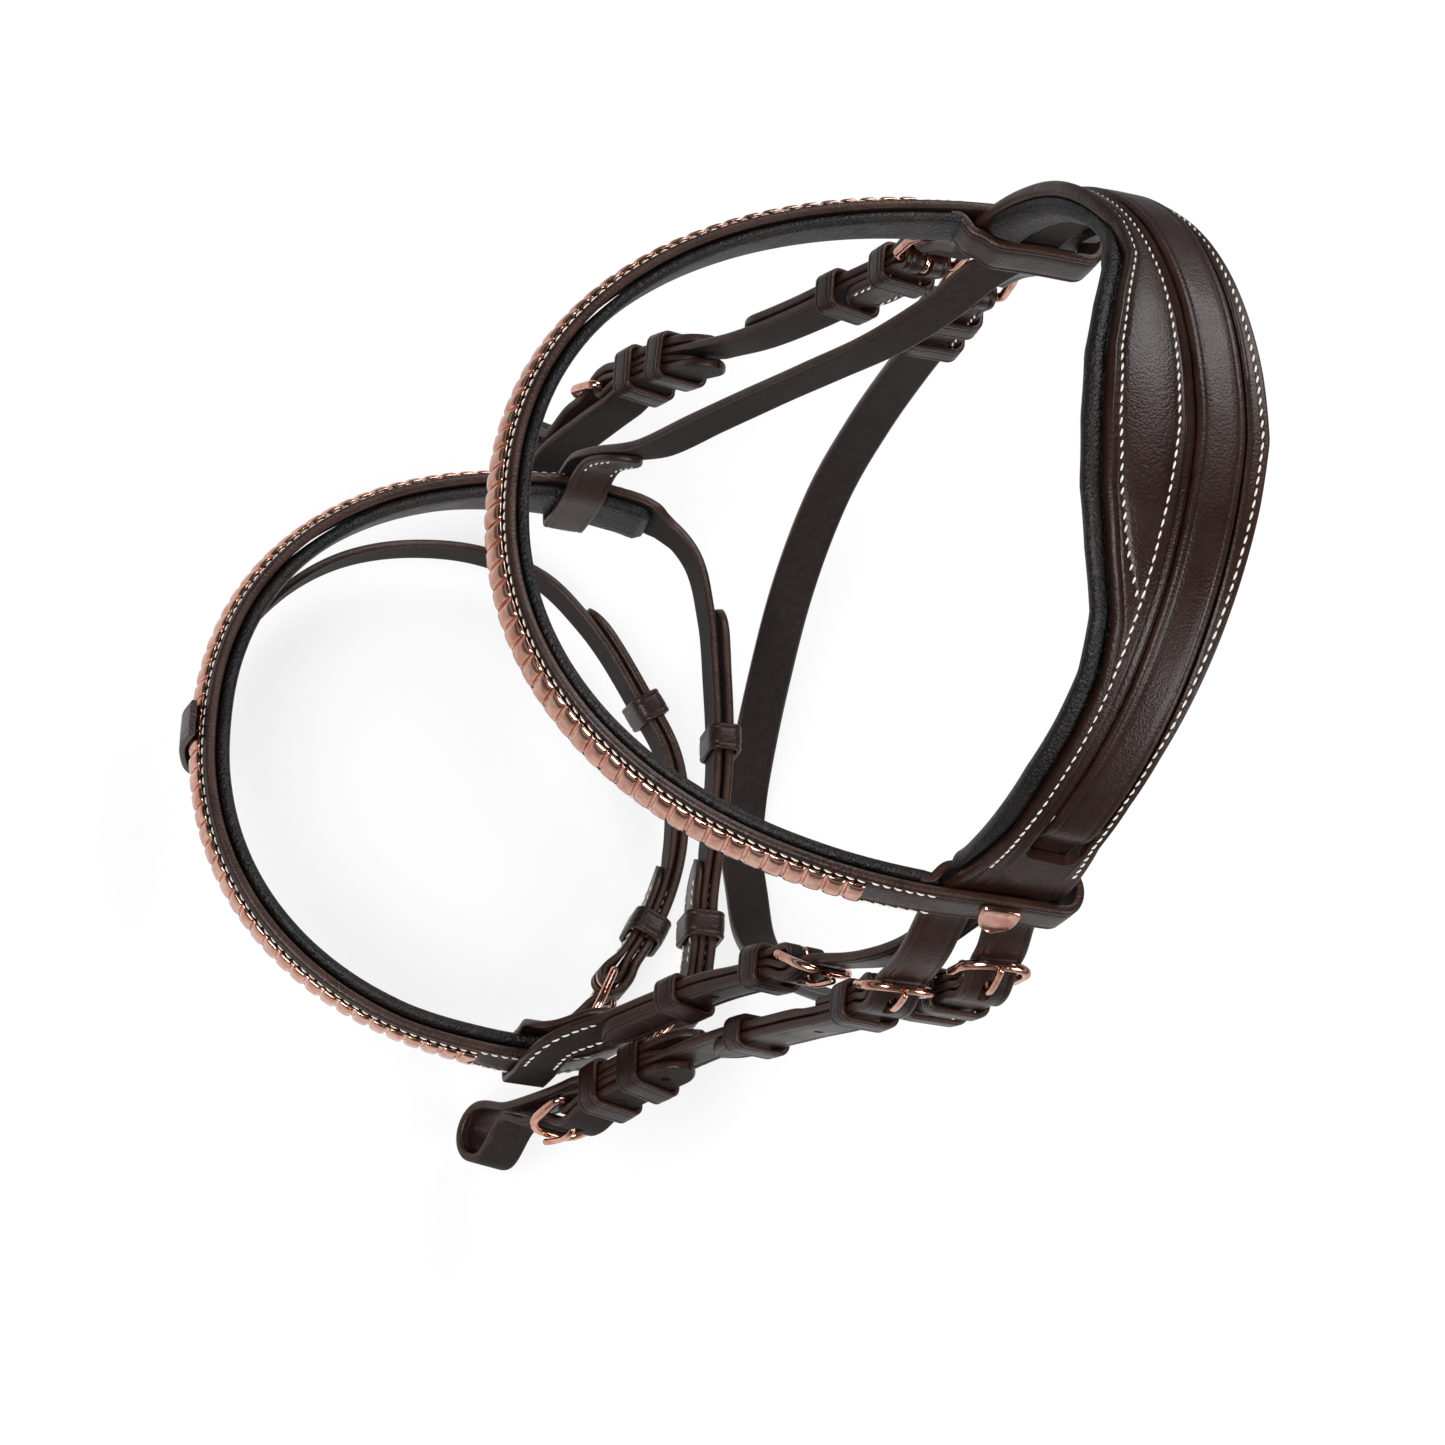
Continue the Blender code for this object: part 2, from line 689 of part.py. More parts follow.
def frame_path(heel, nose, wide):
    """The buckle's outline: a straight heel bar and a rounded nose, lifted clear of the strap."""
    half = wide / 2 + FRAME_SIDE_CLEAR + BAR_RADIUS
    corners = (
        (HEEL_CORNER, half - HEEL_CORNER, HEEL_CORNER, 180, 90, 2),
        (FRAME_LONG - NOSE_CORNER, half - NOSE_CORNER, NOSE_CORNER, 90, 0, 3),
        (FRAME_LONG - NOSE_CORNER, NOSE_CORNER - half, NOSE_CORNER, 0, -90, 3),
        (HEEL_CORNER, HEEL_CORNER - half, HEEL_CORNER, -90, -180, 2),
    )
    path = []
    for ahead, side, radius, start, end, steps in corners:
        for i in range(steps + 1):
            angle = math.radians(start + (end - start) * i / steps)
            reach = ahead + radius * math.cos(angle)
            path.append((heel + nose * reach, side + radius * math.sin(angle),
                         BAR_HIGH + NOSE_LIFT * reach / FRAME_LONG))
    return path


def tongue_path(heel, nose):
    """The tongue: an eye round the heel bar, up through the billet and out over the nose bar."""
    ring = BAR_RADIUS + BAR_CLEAR + TONGUE_RADIUS
    flat = [(ring * math.cos(turn), ring * math.sin(turn))
            for turn in (math.radians(140 + 220 * i / FOLD_STEPS) for i in range(FOLD_STEPS + 1))]
    flat += [
        (ring * 1.06, OVER_BAR * 0.42), (ring * 1.45, OVER_BAR * 0.88),
        (FRAME_LONG * 0.37, OVER_BAR * 1.22), (FRAME_LONG * 0.60, OVER_BAR * 1.32),
        (FRAME_LONG, TONGUE_REST), (FRAME_LONG + TONGUE_OVERHANG, TONGUE_REST - BAR_RADIUS / 3),
    ]
    return [(heel + nose * ahead, 0.0, BAR_HIGH + high) for ahead, high in flat]


def buckle(prefix, route, heel, nose, wide, metal):
    """A buckle's frame and its tongue, which swings on the heel bar."""
    pivot = route.place(heel, 0.0, BAR_HIGH)
    tube(prefix + "_buckle_frame", route, frame_path(heel, nose, wide), BAR_RADIUS, metal,
         closed=True)
    tongue = tube(prefix + "_buckle_tongue", route, tongue_path(heel, nose), TONGUE_RADIUS, metal)
    set_origin(tongue, pivot)


def keeper(name, route, station, low, high, wide, material):
    """A leather loop round the layers between two heights."""
    frame = route.at(station)
    half = wide / 2 + KEEPER_CLEAR
    bottom, top = low - KEEPER_CLEAR, high + KEEPER_CLEAR
    bevel = KEEPER_WALL * KEEPER_BEVEL_SHARE
    wall = KEEPER_WALL
    inner = ((half, bottom), (half, bottom), (half, top), (half, top),
             (-half, top), (-half, top), (-half, bottom), (-half, bottom))
    outer = ((half + wall - bevel, bottom - wall), (half + wall, bottom - wall + bevel),
             (half + wall, top + wall - bevel), (half + wall - bevel, top + wall),
             (-half - wall + bevel, top + wall), (-half - wall, top + wall - bevel),
             (-half - wall, bottom - wall + bevel), (-half - wall + bevel, bottom - wall))
    nudge = bevel / 2
    rings = []
    for i, (inside, outside) in enumerate(zip(inner, outer)):
        a, n = inside
        if i in (0, 3, 4, 7):
            a -= math.copysign(nudge, a)
        else:
            n += nudge if n == bottom else -nudge
        ring = []
        for across, out, ahead in ((a, n, -KEEPER_LONG / 2), (*outside, -KEEPER_LONG / 2),
                                   (*outside, KEEPER_LONG / 2), (a, n, KEEPER_LONG / 2)):
            ring.append(frame.across * across + frame.outward * out + frame.along * ahead)
        rings.append(ring)
    solid = skin(name, rings, material, closed=True)
    solid.location = frame.point
    return solid


def chape_keeper(prefix, kind, route, station, wide, material, low=0.0):
    """A keeper round a doubled or plain strap and the billet that lies on it."""
    keeper(f"{prefix}_{kind}_keeper", route, station, low, ON_CHAPE + STRAP_THICK / 2, wide,
           material)


def section_sweep(name, route, stations, section, material):
    """A solid whose cross-section is worked out at each station."""
    rings = [[route.place(station, a, n) for a, n in section(station)] for station in stations]
    return skin(name, rings, material)


def stations_over(first, last, step):
    count = max(1, math.ceil((last - first) / step))
    return [first + (last - first) * i / count for i in range(count + 1)]


def arch_angle_reader(route):
    """A function that gives the angle round the arch at a station of a route over it."""
    angles = arch_angles(ARCH_PARTS)
    marks = [route.nearest(arch_point(angle)) for angle in angles]

    def angle_at(station):
        if station <= marks[0] or station >= marks[-1]:
            return 0.0 if station <= marks[0] else math.pi
        i = bisect.bisect_right(marks, station) - 1
        share = (station - marks[i]) / (marks[i + 1] - marks[i])
        return angles[i] + (angles[i + 1] - angles[i]) * share

    return angle_at


def headpiece(route, slip, cheeks, throat, brown, padding):
    """The headpiece's leather, with its channel, slots and four billets, and its padding."""
    drop = route.nearest(arch_point(0))
    angle_at = arch_angle_reader(route)
    slot_half = HANGER_WIDE / 2 + CHANNEL_CLEAR
    ends = [slip.nearest(arch_point(0)), slip.nearest(arch_point(math.pi))]
    slots = [(ends[0] + SLOT_SET_UP, ends[0] + SLOT_SET_UP + SLOT_LONG),
             (ends[1] - SLOT_SET_UP - SLOT_LONG, ends[1] - SLOT_SET_UP)]
    channel_first = drop + SLOT_SET_UP + SLOT_LONG / 2
    channel_last = route.length - channel_first

    def edges(station):
        """Half widths of the leather and of the padding, the channel's centre and the rise."""
        angle = angle_at(station)
        rise = min(1.0, math.sin(angle) * 3)
        front = CROWN_HALF_WIDE * share_at(FRONT_SHARES, angle)
        rear = CROWN_HALF_WIDE * share_at(REAR_SHARES, angle)
        inner_front = HEADPIECE_END * (1 - rise) + (front - FRONT_ROLL) * rise
        inner_rear = HEADPIECE_END * (1 - rise) + (rear - REAR_ROLL) * rise
        centre = CHANNEL_SHIFT * share_at(CHANNEL_SHARES, angle)
        return inner_front, inner_rear, front, rear, centre, rise

    def leather_section(station):
        front, rear, _, _, centre, rise = edges(station)
        cut = channel_first < station < channel_last
        thick = HEADPIECE_THICK
        floor = CHANNEL_FLOOR if cut else thick
        return ((-front, 0), (rear, 0), (rear, thick), (centre + slot_half, thick),
                (centre + slot_half, floor), (centre - slot_half, floor),
                (centre - slot_half, thick), (BEAD_WIDE * 1.3 - front, thick),
                (BEAD_WIDE - front, thick + BEAD_HIGH * rise),
                (BEAD_WIDE / 3 - front, thick + BEAD_HIGH * rise), (-front, thick))

    edge = LAYER_GAP
    stations = sorted(stations_over(0, route.length, BAND_STEP)
                      + [channel_first - edge, channel_first + edge,
                         channel_last - edge, channel_last + edge])
    body = section_sweep("headpiece_leather", route, stations, leather_section, brown)

    overlap = BROWBAND_WIDE / 3
    height = HEADPIECE_THICK / 2
    heels = {NEAR: (CHEEK_HEEL, CHEEK_TAIL), OFF: (OFF_CHEEK_HEEL, OFF_CHEEK_TAIL)}
    holes = []
    for side, cheek in cheeks.items():
        heel, tail = heels[side]
        start = lay(overlap, height, STRAP_THICK, CHEEK_WIDE)
        strap = ribbon(f"cheek_billet_{side}", cheek,
                       billet(start, heel, -1, tail, CHEEK_WIDE, BILLET_HELD), None)
        hide(strap)
        boolean(body, strap, "UNION")
        holes.append(tongue_hole(cheek, heel, -1))
        holes.extend(spare_holes(cheek, heel, -1, tail))
    for side, heel, nose, first in ((NEAR, THROAT_HEEL, -1, overlap),
                                    (OFF, throat.length - OFF_THROAT_HEEL, 1,
                                     throat.length - overlap)):
        start = lay(first, height, STRAP_THICK, THROAT_WIDE)
        strap = ribbon(f"throat_billet_{side}", throat,
                       billet(start, heel, nose, THROAT_TAIL, THROAT_WIDE, BILLET_HELD), None)
        hide(strap)
        boolean(body, strap, "UNION")
        holes.append(tongue_hole(throat, heel, nose))
        holes.extend(spare_holes(throat, heel, nose, THROAT_TAIL))
    slot_blocks = [block(slip, first, last, slot_half - LAYER_GAP, -PAD_THICK - CUT_OVERRUN,
                         HEADPIECE_THICK + BEAD_HIGH + CUT_OVERRUN) for first, last in slots]
    boolean(body, boxes("billet_holes", holes), "DIFFERENCE")
    slot_tool = boxes("sliphead_slots", slot_blocks)
    boolean(body, slot_tool, "DIFFERENCE")

    def pad_section(station):
        inner_front, _, front, rear, _, rise = edges(station)
        thick = PAD_THICK + LAYER_GAP
        top = -LAYER_GAP
        edge = inner_front + SLIP_GAP
        lip = FRONT_ROLL * rise * 0.55
        outer = max(front, edge + FRONT_ROLL * 0.3)
        return ((-outer, -thick * 0.5), (-outer + thick * 0.4, -thick),
                (rear - thick * 0.4, -thick), (rear, -thick * 0.5), (rear - REAR_ROLL, top),
                (-edge, top), (-edge, lip * 0.7 + top / 2),
                (-(edge + outer) / 2, lip), (-outer, lip * 0.4 + top))

    pad_first = drop + BROWBAND_WIDE / 2 + SLIP_GAP * 3
    pad = section_sweep("headpiece_padding", route,
                        stations_over(pad_first, route.length - pad_first, BAND_STEP * 1.1),
                        pad_section, padding)
    for name, first, last, reach in (
            ("near_notch", ends[0] - BROWBAND_WIDE, slots[0][0], CROWN_HALF_WIDE),
            ("near_opening", slots[0][0] - SLIP_GAP, slots[0][1], slot_half - LAYER_GAP),
            ("off_opening", slots[1][0], slots[1][1] + SLIP_GAP, slot_half - LAYER_GAP),
            ("off_notch", slots[1][1], ends[1] + BROWBAND_WIDE, CROWN_HALF_WIDE)):
        left = -min(reach, slot_half)
        notch = ((left, -PAD_THICK * 2), (reach, -PAD_THICK * 2), (reach, PAD_THICK),
                 (left, PAD_THICK))
        tool = section_sweep(name, slip, stations_over(first, last, BAND_STEP),
                             lambda station, notch=notch: notch, None)
        hide(tool)
        boolean(pad, tool, "DIFFERENCE")


def hanger_loop(route, cross, way, start, wide):
    """Lays from a start, over the noseband, round its lower edge and back up behind it."""
    half = NOSEBAND_WIDE / 2 * 1.06 + HANGER_LOOP_CLEAR
    outer = NOSEBAND_THICK + HANGER_LOOP_CLEAR + CHAPE_THICK / 2
    inner = -NOSE_PAD_THICK - LAYER_GAP - HANGER_LOOP_CLEAR - CHAPE_THICK / 2
    middle = (outer + inner) / 2
    radius = (outer - inner) / 2
    high = cross - way * half
    low = cross + way * half
    thin = {"thick": CHAPE_THICK, "wide": wide}
    lays = ease(start, lay(high - way * wide * 0.35, outer, **thin), 3)
    for i in range(FOLD_STEPS + 1):
        angle = math.pi / 2 - math.pi * i / FOLD_STEPS
        lays.append(lay(low + way * radius * 0.55 * math.cos(angle),
                        middle + radius * math.sin(angle), **thin))
    lays.append(lay(high - way * wide * 0.1, inner, **thin))
    near_high = start.height - start.thick / 2 - LAYER_GAP - CHAPE_THICK / 2
    joined = lay(high - way * wide * 1.6, near_high, **thin)
    end = joined._replace(station=high - way * HANGER_LOOP_TURN)
    return lays + ease(lays[-1], joined, 3)[1:] + tip(end, -way)


def sliphead(route, crossings, brown, metal):
    """The sliphead, its near billet and off hanger loop, and the near hanger that buckles to it."""
    near_end, off_end = route.nearest(arch_point(0)), route.nearest(arch_point(math.pi))
    heel = crossings[0] + HANGER_HEEL
    wide = HANGER_WIDE
    riding = CHANNEL_FLOOR + SLIP_GAP + STRAP_THICK / 2
    inside = -LAYER_GAP - STRAP_THICK / 2 - SLIP_GAP / 2
    slots = ((near_end + SLOT_SET_UP, near_end + SLOT_SET_UP + SLOT_LONG),
             (off_end - SLOT_SET_UP - SLOT_LONG, off_end - SLOT_SET_UP))
    start = lay(near_end - BROWBAND_WIDE, inside, STRAP_THICK, wide)
    near_part = list(reversed(billet(start, heel, 1, HANGER_TAIL, wide)))
    trim = SLOT_LONG * 0.12
    climb = ease(lay(slots[0][0] + trim, inside, STRAP_THICK, wide),
                 lay(slots[0][1] - trim, riding, STRAP_THICK, wide))
    dive = ease(lay(slots[1][0] + trim, riding, STRAP_THICK, wide),
                lay(slots[1][1] - trim, inside, STRAP_THICK, wide))
    off_start = lay(crossings[1] - HANGER_HEEL, PLAIN_HIGH, STRAP_THICK, wide)
    leave = lay(off_end + BROWBAND_WIDE, inside, STRAP_THICK, wide)
    loop_start = lay(crossings[1] - NOSEBAND_WIDE * 1.5, PLAIN_HIGH, STRAP_THICK, wide)
    lays = [*near_part, *climb, *dive, *ease(leave, off_start),
            *hanger_loop(route, crossings[1], 1, loop_start, wide)]
    strap = ribbon("sliphead_strap", route, lays, brown)
    cuts = [tongue_hole(route, heel, 1), *spare_holes(route, heel, 1, HANGER_TAIL)]
    boolean(strap, boxes("sliphead_holes", cuts), "DIFFERENCE")

    body = fold(heel, 1, HANGER_TURN, wide)
    plain = lay(heel - HANGER_TURN - TIP_LONG, PLAIN_HIGH, STRAP_THICK, wide)
    loop_start = lay(crossings[0] + NOSEBAND_WIDE * 1.5, PLAIN_HIGH, STRAP_THICK, wide)
    lower = hanger_loop(route, crossings[0], -1, loop_start, wide)
    hanger = ribbon("near_hanger_strap", route, [*reversed(body), plain, *lower], brown)
    boolean(hanger, boxes("near_hanger_slot", [tongue_slot(route, heel, 1)]), "DIFFERENCE")
    buckle("near_hanger", route, heel, 1, wide, metal)
    chape_keeper("near_hanger", "fixed", route, heel - KEEPER_BACK, wide, brown)
    chape_keeper("near_hanger", "sliding", route, heel - HANGER_TAIL * 0.62, wide, brown,
                 PLAIN_HIGH - STRAP_THICK / 2)


def bit_loop(bit, wide):
    """The bit strap: up the inside, round the bit's space, through the buckle and up outside."""
    deep = BIT_LOOP_DEEP
    low = -LAYER_GAP - STRAP_THICK / 2
    lump = BAR_HIGH - FOLD_RADIUS - CHAPE_THICK / 2 - SLIP_GAP - STRAP_THICK / 2
    bottom = bit + FRAME_LONG + BIT_LOOP_LONG
    inside = lump - deep * 0.16
    outside = inside + deep
    lays = tip(lay(bit - BIT_LAP, low, STRAP_THICK, wide), -1)[::-1]
    lays += ease(lay(bit - CHAPE_TAPER * 1.4, low, STRAP_THICK, wide),
                 lay(bit - FOLD_RADIUS / 2, lump, STRAP_THICK, wide), 3)
    lays += ease(lay(bit + FRAME_LONG * 0.55, lump, STRAP_THICK, wide),
                 lay(bottom - deep * 0.55, inside, STRAP_THICK, wide), 3)
    middle = (inside + outside) / 2
    for i in range(1, FOLD_STEPS + 2):
        angle = -math.pi / 2 + math.pi * i / (FOLD_STEPS + 2)
        lays.append(lay(bottom - deep * 0.55 + deep / 2 * math.cos(angle),
                        middle + deep / 2 * math.sin(angle), STRAP_THICK, wide))
    start = lay(bottom - deep * 0.60, outside, STRAP_THICK, wide)
    return lays + billet(start, bit, 1, BIT_TAIL, wide)


def cheek_side(side, route, brown, metal):
    """One cheek strap with its bit strap, two buckles and four keepers."""
    prefix = "near" if side == NEAR else "off"
    heel = CHEEK_HEEL if side == NEAR else OFF_CHEEK_HEEL
    bit = heel + CHEEK_LONG
    wide = CHEEK_WIDE
    top = fold(heel, -1, CHEEK_TURN, wide)
    bottom = fold(bit, 1, BIT_TURN, wide)
    plain = [lay(heel + CHEEK_TURN + TIP_LONG / 2, PLAIN_HIGH, STRAP_THICK, wide),
             lay(bit - BIT_TURN - TIP_LONG / 2, PLAIN_HIGH, STRAP_THICK, wide)]
    strap = ribbon(prefix + "_cheek_strap", route, [*reversed(top), *plain, *bottom], brown)
    slots = [tongue_slot(route, heel, -1), tongue_slot(route, bit, 1)]
    boolean(strap, boxes(prefix + "_cheek_slots", slots), "DIFFERENCE")
    loop = ribbon(prefix + "_bit_strap", route, bit_loop(bit, wide), brown)
    cuts = [tongue_hole(route, bit, 1), *spare_holes(route, bit, 1, BIT_TAIL)]
    boolean(loop, boxes(prefix + "_bit_strap_holes", cuts), "DIFFERENCE")
    buckle(prefix + "_cheek", route, heel, -1, wide, metal)
    buckle(prefix + "_bit", route, bit, 1, wide, metal)
    slide_share = 0.80 if side == NEAR else 0.46
    chape_keeper(prefix + "_cheek", "fixed", route, heel + KEEPER_BACK, wide, brown)
    tail = CHEEK_TAIL if side == NEAR else OFF_CHEEK_TAIL
    low = PLAIN_HIGH - STRAP_THICK / 2
    slide = heel + tail * slide_share
    chape_keeper(prefix + "_cheek", "sliding", route, slide, wide, brown,
                 low if slide > heel + CHEEK_TURN + KEEPER_LONG else 0.0)
    under = -LAYER_GAP - STRAP_THICK
    chape_keeper(prefix + "_bit", "fixed", route, bit - KEEPER_BACK, wide, brown, under)
    chape_keeper(prefix + "_bit", "sliding", route, bit - KEEPER_BACK * 2.2, wide, brown, under)


def throatlash(route, brown, metal):
    """The throatlash, buckled to a throat billet at each side."""
    wide = THROAT_WIDE
    near, off = THROAT_HEEL, route.length - OFF_THROAT_HEEL
    first = fold(near, -1, THROAT_TURN, wide)
    last = fold(off, 1, THROAT_TURN, wide)
    plain = [lay(near + THROAT_TURN + TIP_LONG / 2, PLAIN_HIGH, STRAP_THICK, wide),
             lay(off - THROAT_TURN - TIP_LONG / 2, PLAIN_HIGH, STRAP_THICK, wide)]
    strap = ribbon("throatlash_strap", route, [*reversed(first), *plain, *last], brown,
                   RIBBON_STEP * 1.3)
    slots = [tongue_slot(route, near, -1), tongue_slot(route, off, 1)]
    boolean(strap, boxes("throatlash_slots", slots), "DIFFERENCE")
    for prefix, heel, nose in (("near_throat", near, -1), ("off_throat", off, 1)):
        buckle(prefix, route, heel, nose, wide, metal)
        chape_keeper(prefix, "fixed", route, heel - nose * KEEPER_BACK * 1.4, wide, brown)
        chape_keeper(prefix, "sliding", route, heel - nose * KEEPER_BACK * 2.6, wide, brown)


def ring_strap(name, route, start_lays, heel, tail, turn, wide, brown):
    """A strap that starts at its billet tip, runs round its ring and ends folded at the buckle."""
    heel_again = heel + route.length
    first = start_lays[0]
    tail_part = list(reversed(billet(first, heel, 1, tail, wide)))
    last = fold(heel_again, 1, turn, wide)
    plain = lay(heel_again - turn - TIP_LONG / 2, PLAIN_HIGH, STRAP_THICK, wide)
    strap = ribbon(name, route, [*tail_part, *start_lays[1:], plain, *last], brown, BAND_STEP)
    cuts = [tongue_hole(route, heel, 1), *spare_holes(route, heel, 1, tail)]
    boolean(strap, boxes(name + "_holes", cuts), "DIFFERENCE")
    boolean(strap, boxes(name + "_slot", [tongue_slot(route, heel, 1)]), "DIFFERENCE")


def noseband(route, brown, padding, metal):
    """The cavesson noseband with its chin strap, padding, clinchers, buckle and keepers."""
    wide = CHIN_WIDE
    heel = -CHIN_HEEL
    high = NOSEBAND_THICK / 2
    off_side = route.nearest(side_of_nose(OFF))
    off_end = off_side + OFF_NOSEBAND_END
    near_end = -NOSEBAND_END
    lays = [
        lay(near_end - TIP_LONG * 0.8, high, STRAP_THICK, wide),
        lay(near_end - TIP_LONG / 3, high, NOSEBAND_THICK, NOSEBAND_WIDE * 0.78),
        lay(near_end, high, NOSEBAND_THICK, NOSEBAND_WIDE),
        lay(off_end, high, NOSEBAND_THICK, NOSEBAND_WIDE),
        lay(off_end + TIP_LONG / 3, high, NOSEBAND_THICK, NOSEBAND_WIDE * 0.78),
        lay(off_end + TIP_LONG, high + STRAP_THICK / 4, STRAP_THICK, wide),
    ]
    ring_strap("noseband_strap", route, lays, heel, CHIN_TAIL, CHIN_TURN, wide, brown)
    band_padding("noseband_padding", route, near_end, off_end, NOSEBAND_WIDE, NOSE_PAD_THICK,
                 padding)
    clinchers("noseband_clinchers", route, NOSE_CLINCHER_START, off_side - NOSE_CLINCHER_END,
              NOSEBAND_THICK, NOSE_CLINCHER_WIDE, metal)
    buckle("chin", route, heel, 1, wide, metal)
    chape_keeper("chin", "fixed", route, heel - KEEPER_BACK * 1.6, wide, brown)
    chape_keeper("chin", "sliding", route, heel - CHIN_TAIL * 0.66, wide, brown,
                 PLAIN_HIGH - STRAP_THICK / 2)


def flash(route, nose_route, brown, metal):
    """The flash strap below the noseband and the loop that hangs it there."""
    wide = FLASH_WIDE
    heel = -FLASH_HEEL
    level = STRAP_THICK / 2
    lays = [lay(FLASH_WIDE * 4 - FLASH_HEEL, BAR_HIGH + UNDER_NOSE, STRAP_THICK, wide),
            lay(-FLASH_HEEL / 4, level, STRAP_THICK, wide),
            lay(FLASH_HEEL / 4, level, STRAP_THICK, wide),
            lay(FLASH_HEEL, PLAIN_HIGH, STRAP_THICK, wide)]
    ring_strap("flash_strap", route, lays, heel, FLASH_TAIL, FLASH_TURN, wide, brown)
    buckle("flash", route, heel, 1, wide, metal)
    chape_keeper("flash", "fixed", route, heel - KEEPER_BACK * 1.4, wide, brown)
    chape_keeper("flash", "sliding", route, heel - FLASH_TAIL * 0.72, wide, brown,
                 PLAIN_HIGH - STRAP_THICK / 2)
    flash_loop(route, nose_route, brown)


def flash_loop(route, nose_route, brown):
    """A hook of leather from the noseband's face, down round the flash strap and up behind."""
    frame = nose_route.at(nose_route.nearest(route.point(0)))
    strap = route.point(0) - frame.point
    thick = FLASH_LOOP_THICK
    face = NOSEBAND_THICK + CLINCHER_HIGH + LAYER_GAP * 2
    band = NOSEBAND_WIDE / 2
    middle = strap.dot(frame.across)
    behind = strap.dot(frame.outward) - SLIP_GAP * 4
    front = behind + STRAP_THICK + SLIP_GAP * 6
    low = middle - FLASH_WIDE / 2 - SLIP_GAP * 2
    high = -band - SLIP_GAP - NOSE_PAD_THICK / 4
    inner = ((NOSE_CLINCHER_WIDE * 0.6, face), (-NOSE_CLINCHER_WIDE * 0.6, face),
             (low, front), (low, behind), (high, behind))
    outer = ((NOSE_CLINCHER_WIDE * 0.6, face + thick), (-NOSE_CLINCHER_WIDE * 0.7, face + thick),
             (low - thick, front + thick), (low - thick, behind - thick), (high, behind - thick))
    half = FLASH_LOOP_WIDE / 2
    rings = []
    for (a, n), (b, m) in zip(inner, outer):
        rings.append([frame.point + frame.across * up + frame.outward * out + frame.along * ahead
                      for up, out, ahead in ((a, n, -half), (b, m, -half), (b, m, half),
                                             (a, n, half))])
    skin("flash_loop", rings, brown)


def band_padding(name, route, first, last, wide, thick, material):
    """The soft roll behind a band, a little taller than its leather."""
    tall = wide / 2
    top = -SLIP_GAP
    section = ((-tall, top - thick * 0.1), (-tall * 0.9, top), (tall * 0.86, top),
               (tall * 1.04, top - thick * 0.35), (tall * 1.02, top - thick * 0.75),
               (tall * 0.8, top - thick), (-tall * 0.84, top - thick),
               (-tall * 1.02, top - thick * 0.7))
    section_sweep(name, route, stations_over(first, last, BAND_STEP),
                  lambda station: section, material)


def clinchers(name, route, first, last, base, wide, metal):
    """A row of square metal clinchers on one narrow backing."""
    low = base + LAYER_GAP
    back = low + CLINCHER_BACK
    top = low + CLINCHER_HIGH
    count = int((last - first) / CLINCHER_PITCH)
    half = wide / 2
    rings = []

    def ring(station, height, side):
        rings.append([route.place(station, a, n)
                      for a, n in ((-half, low), (half, low), (side, height), (-side, height))])

    for i in range(count):
        begin = first + i * CLINCHER_PITCH
        end = begin + CLINCHER_LONG
        ring(begin, back, half)
        ring(begin + CLINCHER_BEVEL, top, half - CLINCHER_BEVEL)
        ring(end - CLINCHER_BEVEL, top, half - CLINCHER_BEVEL)
        ring(end, back, half)
    skin(name, rings, metal)


def browband(route, brown, padding, metal):
    """The browband: leather looped round the headpiece's ends, padding, clinchers and badge."""
    wide, thick = BROWBAND_WIDE, BROWBAND_THICK
    start = route.nearest(Vector((route.line[0].x, 0, route.line[0].z)))
    inside = HEADPIECE_THICK + STRAP_THICK + LAYER_GAP + SLIP_GAP * 4.4
    high = thick / 2
    radius = (inside + thick) / 2
    rear = HEADPIECE_END + SLIP_GAP

    def loop(end, way):
        """Lays of one end, from the band to the end of its return behind the strap ends."""
        lays = [lay(end - way * rear, high, thick, wide)]
        for i in range(FOLD_STEPS + 1):
            angle = math.pi / 2 - math.pi * i / FOLD_STEPS
            lays.append(lay(end - way * (rear + radius * 0.7 * math.cos(angle)),
                            high - radius + radius * math.sin(angle), thick, wide))
        low = lay(end + way * rear, high - 2 * radius, thick, wide)
        joined = lay(end + way * (rear + radius * 1.3), -thick / 2 - LAYER_GAP, thick, wide)
        return [*lays, *ease(low, joined, 4),
                joined._replace(station=end + way * (BROW_PAD_START - SLIP_GAP))]

    lays = [*reversed(loop(start, 1)), *loop(route.length - start, -1)]
    ribbon("browband_strap", route, lays, brown, BAND_STEP)
    first = start + BROW_PAD_START
    band_padding("browband_padding", route, first, route.length - first, wide, BROW_PAD_THICK,
                 padding)
    clinchers("browband_clinchers", route, start + BROW_CLINCHER_START,
              route.length - start - BROW_CLINCHER_END, thick, BROW_CLINCHER_WIDE, metal)
    badge(route, start, metal)


def badge(route, station, metal):
    """A small plain shield on the near browband loop."""
    frame = route.at(station)
    low = BROWBAND_THICK + LAYER_GAP
    outline = ((-0.5, 0.5), (0.5, 0.5), (0.48, -0.05), (0.3, -0.36), (0.0, -0.5), (-0.3, -0.36),
               (-0.48, -0.05))
    rings = []
    for height, share in ((low, 1.0), (low + BADGE_THICK * 0.6, 1.0), (low + BADGE_THICK, 0.84)):
        rings.append([
            frame.point + frame.outward * height + frame.along * BADGE_WIDE * x * share
            + frame.across * BADGE_TALL * y * share for x, y in outline
        ])
    skin("near_browband_badge", rings, metal)


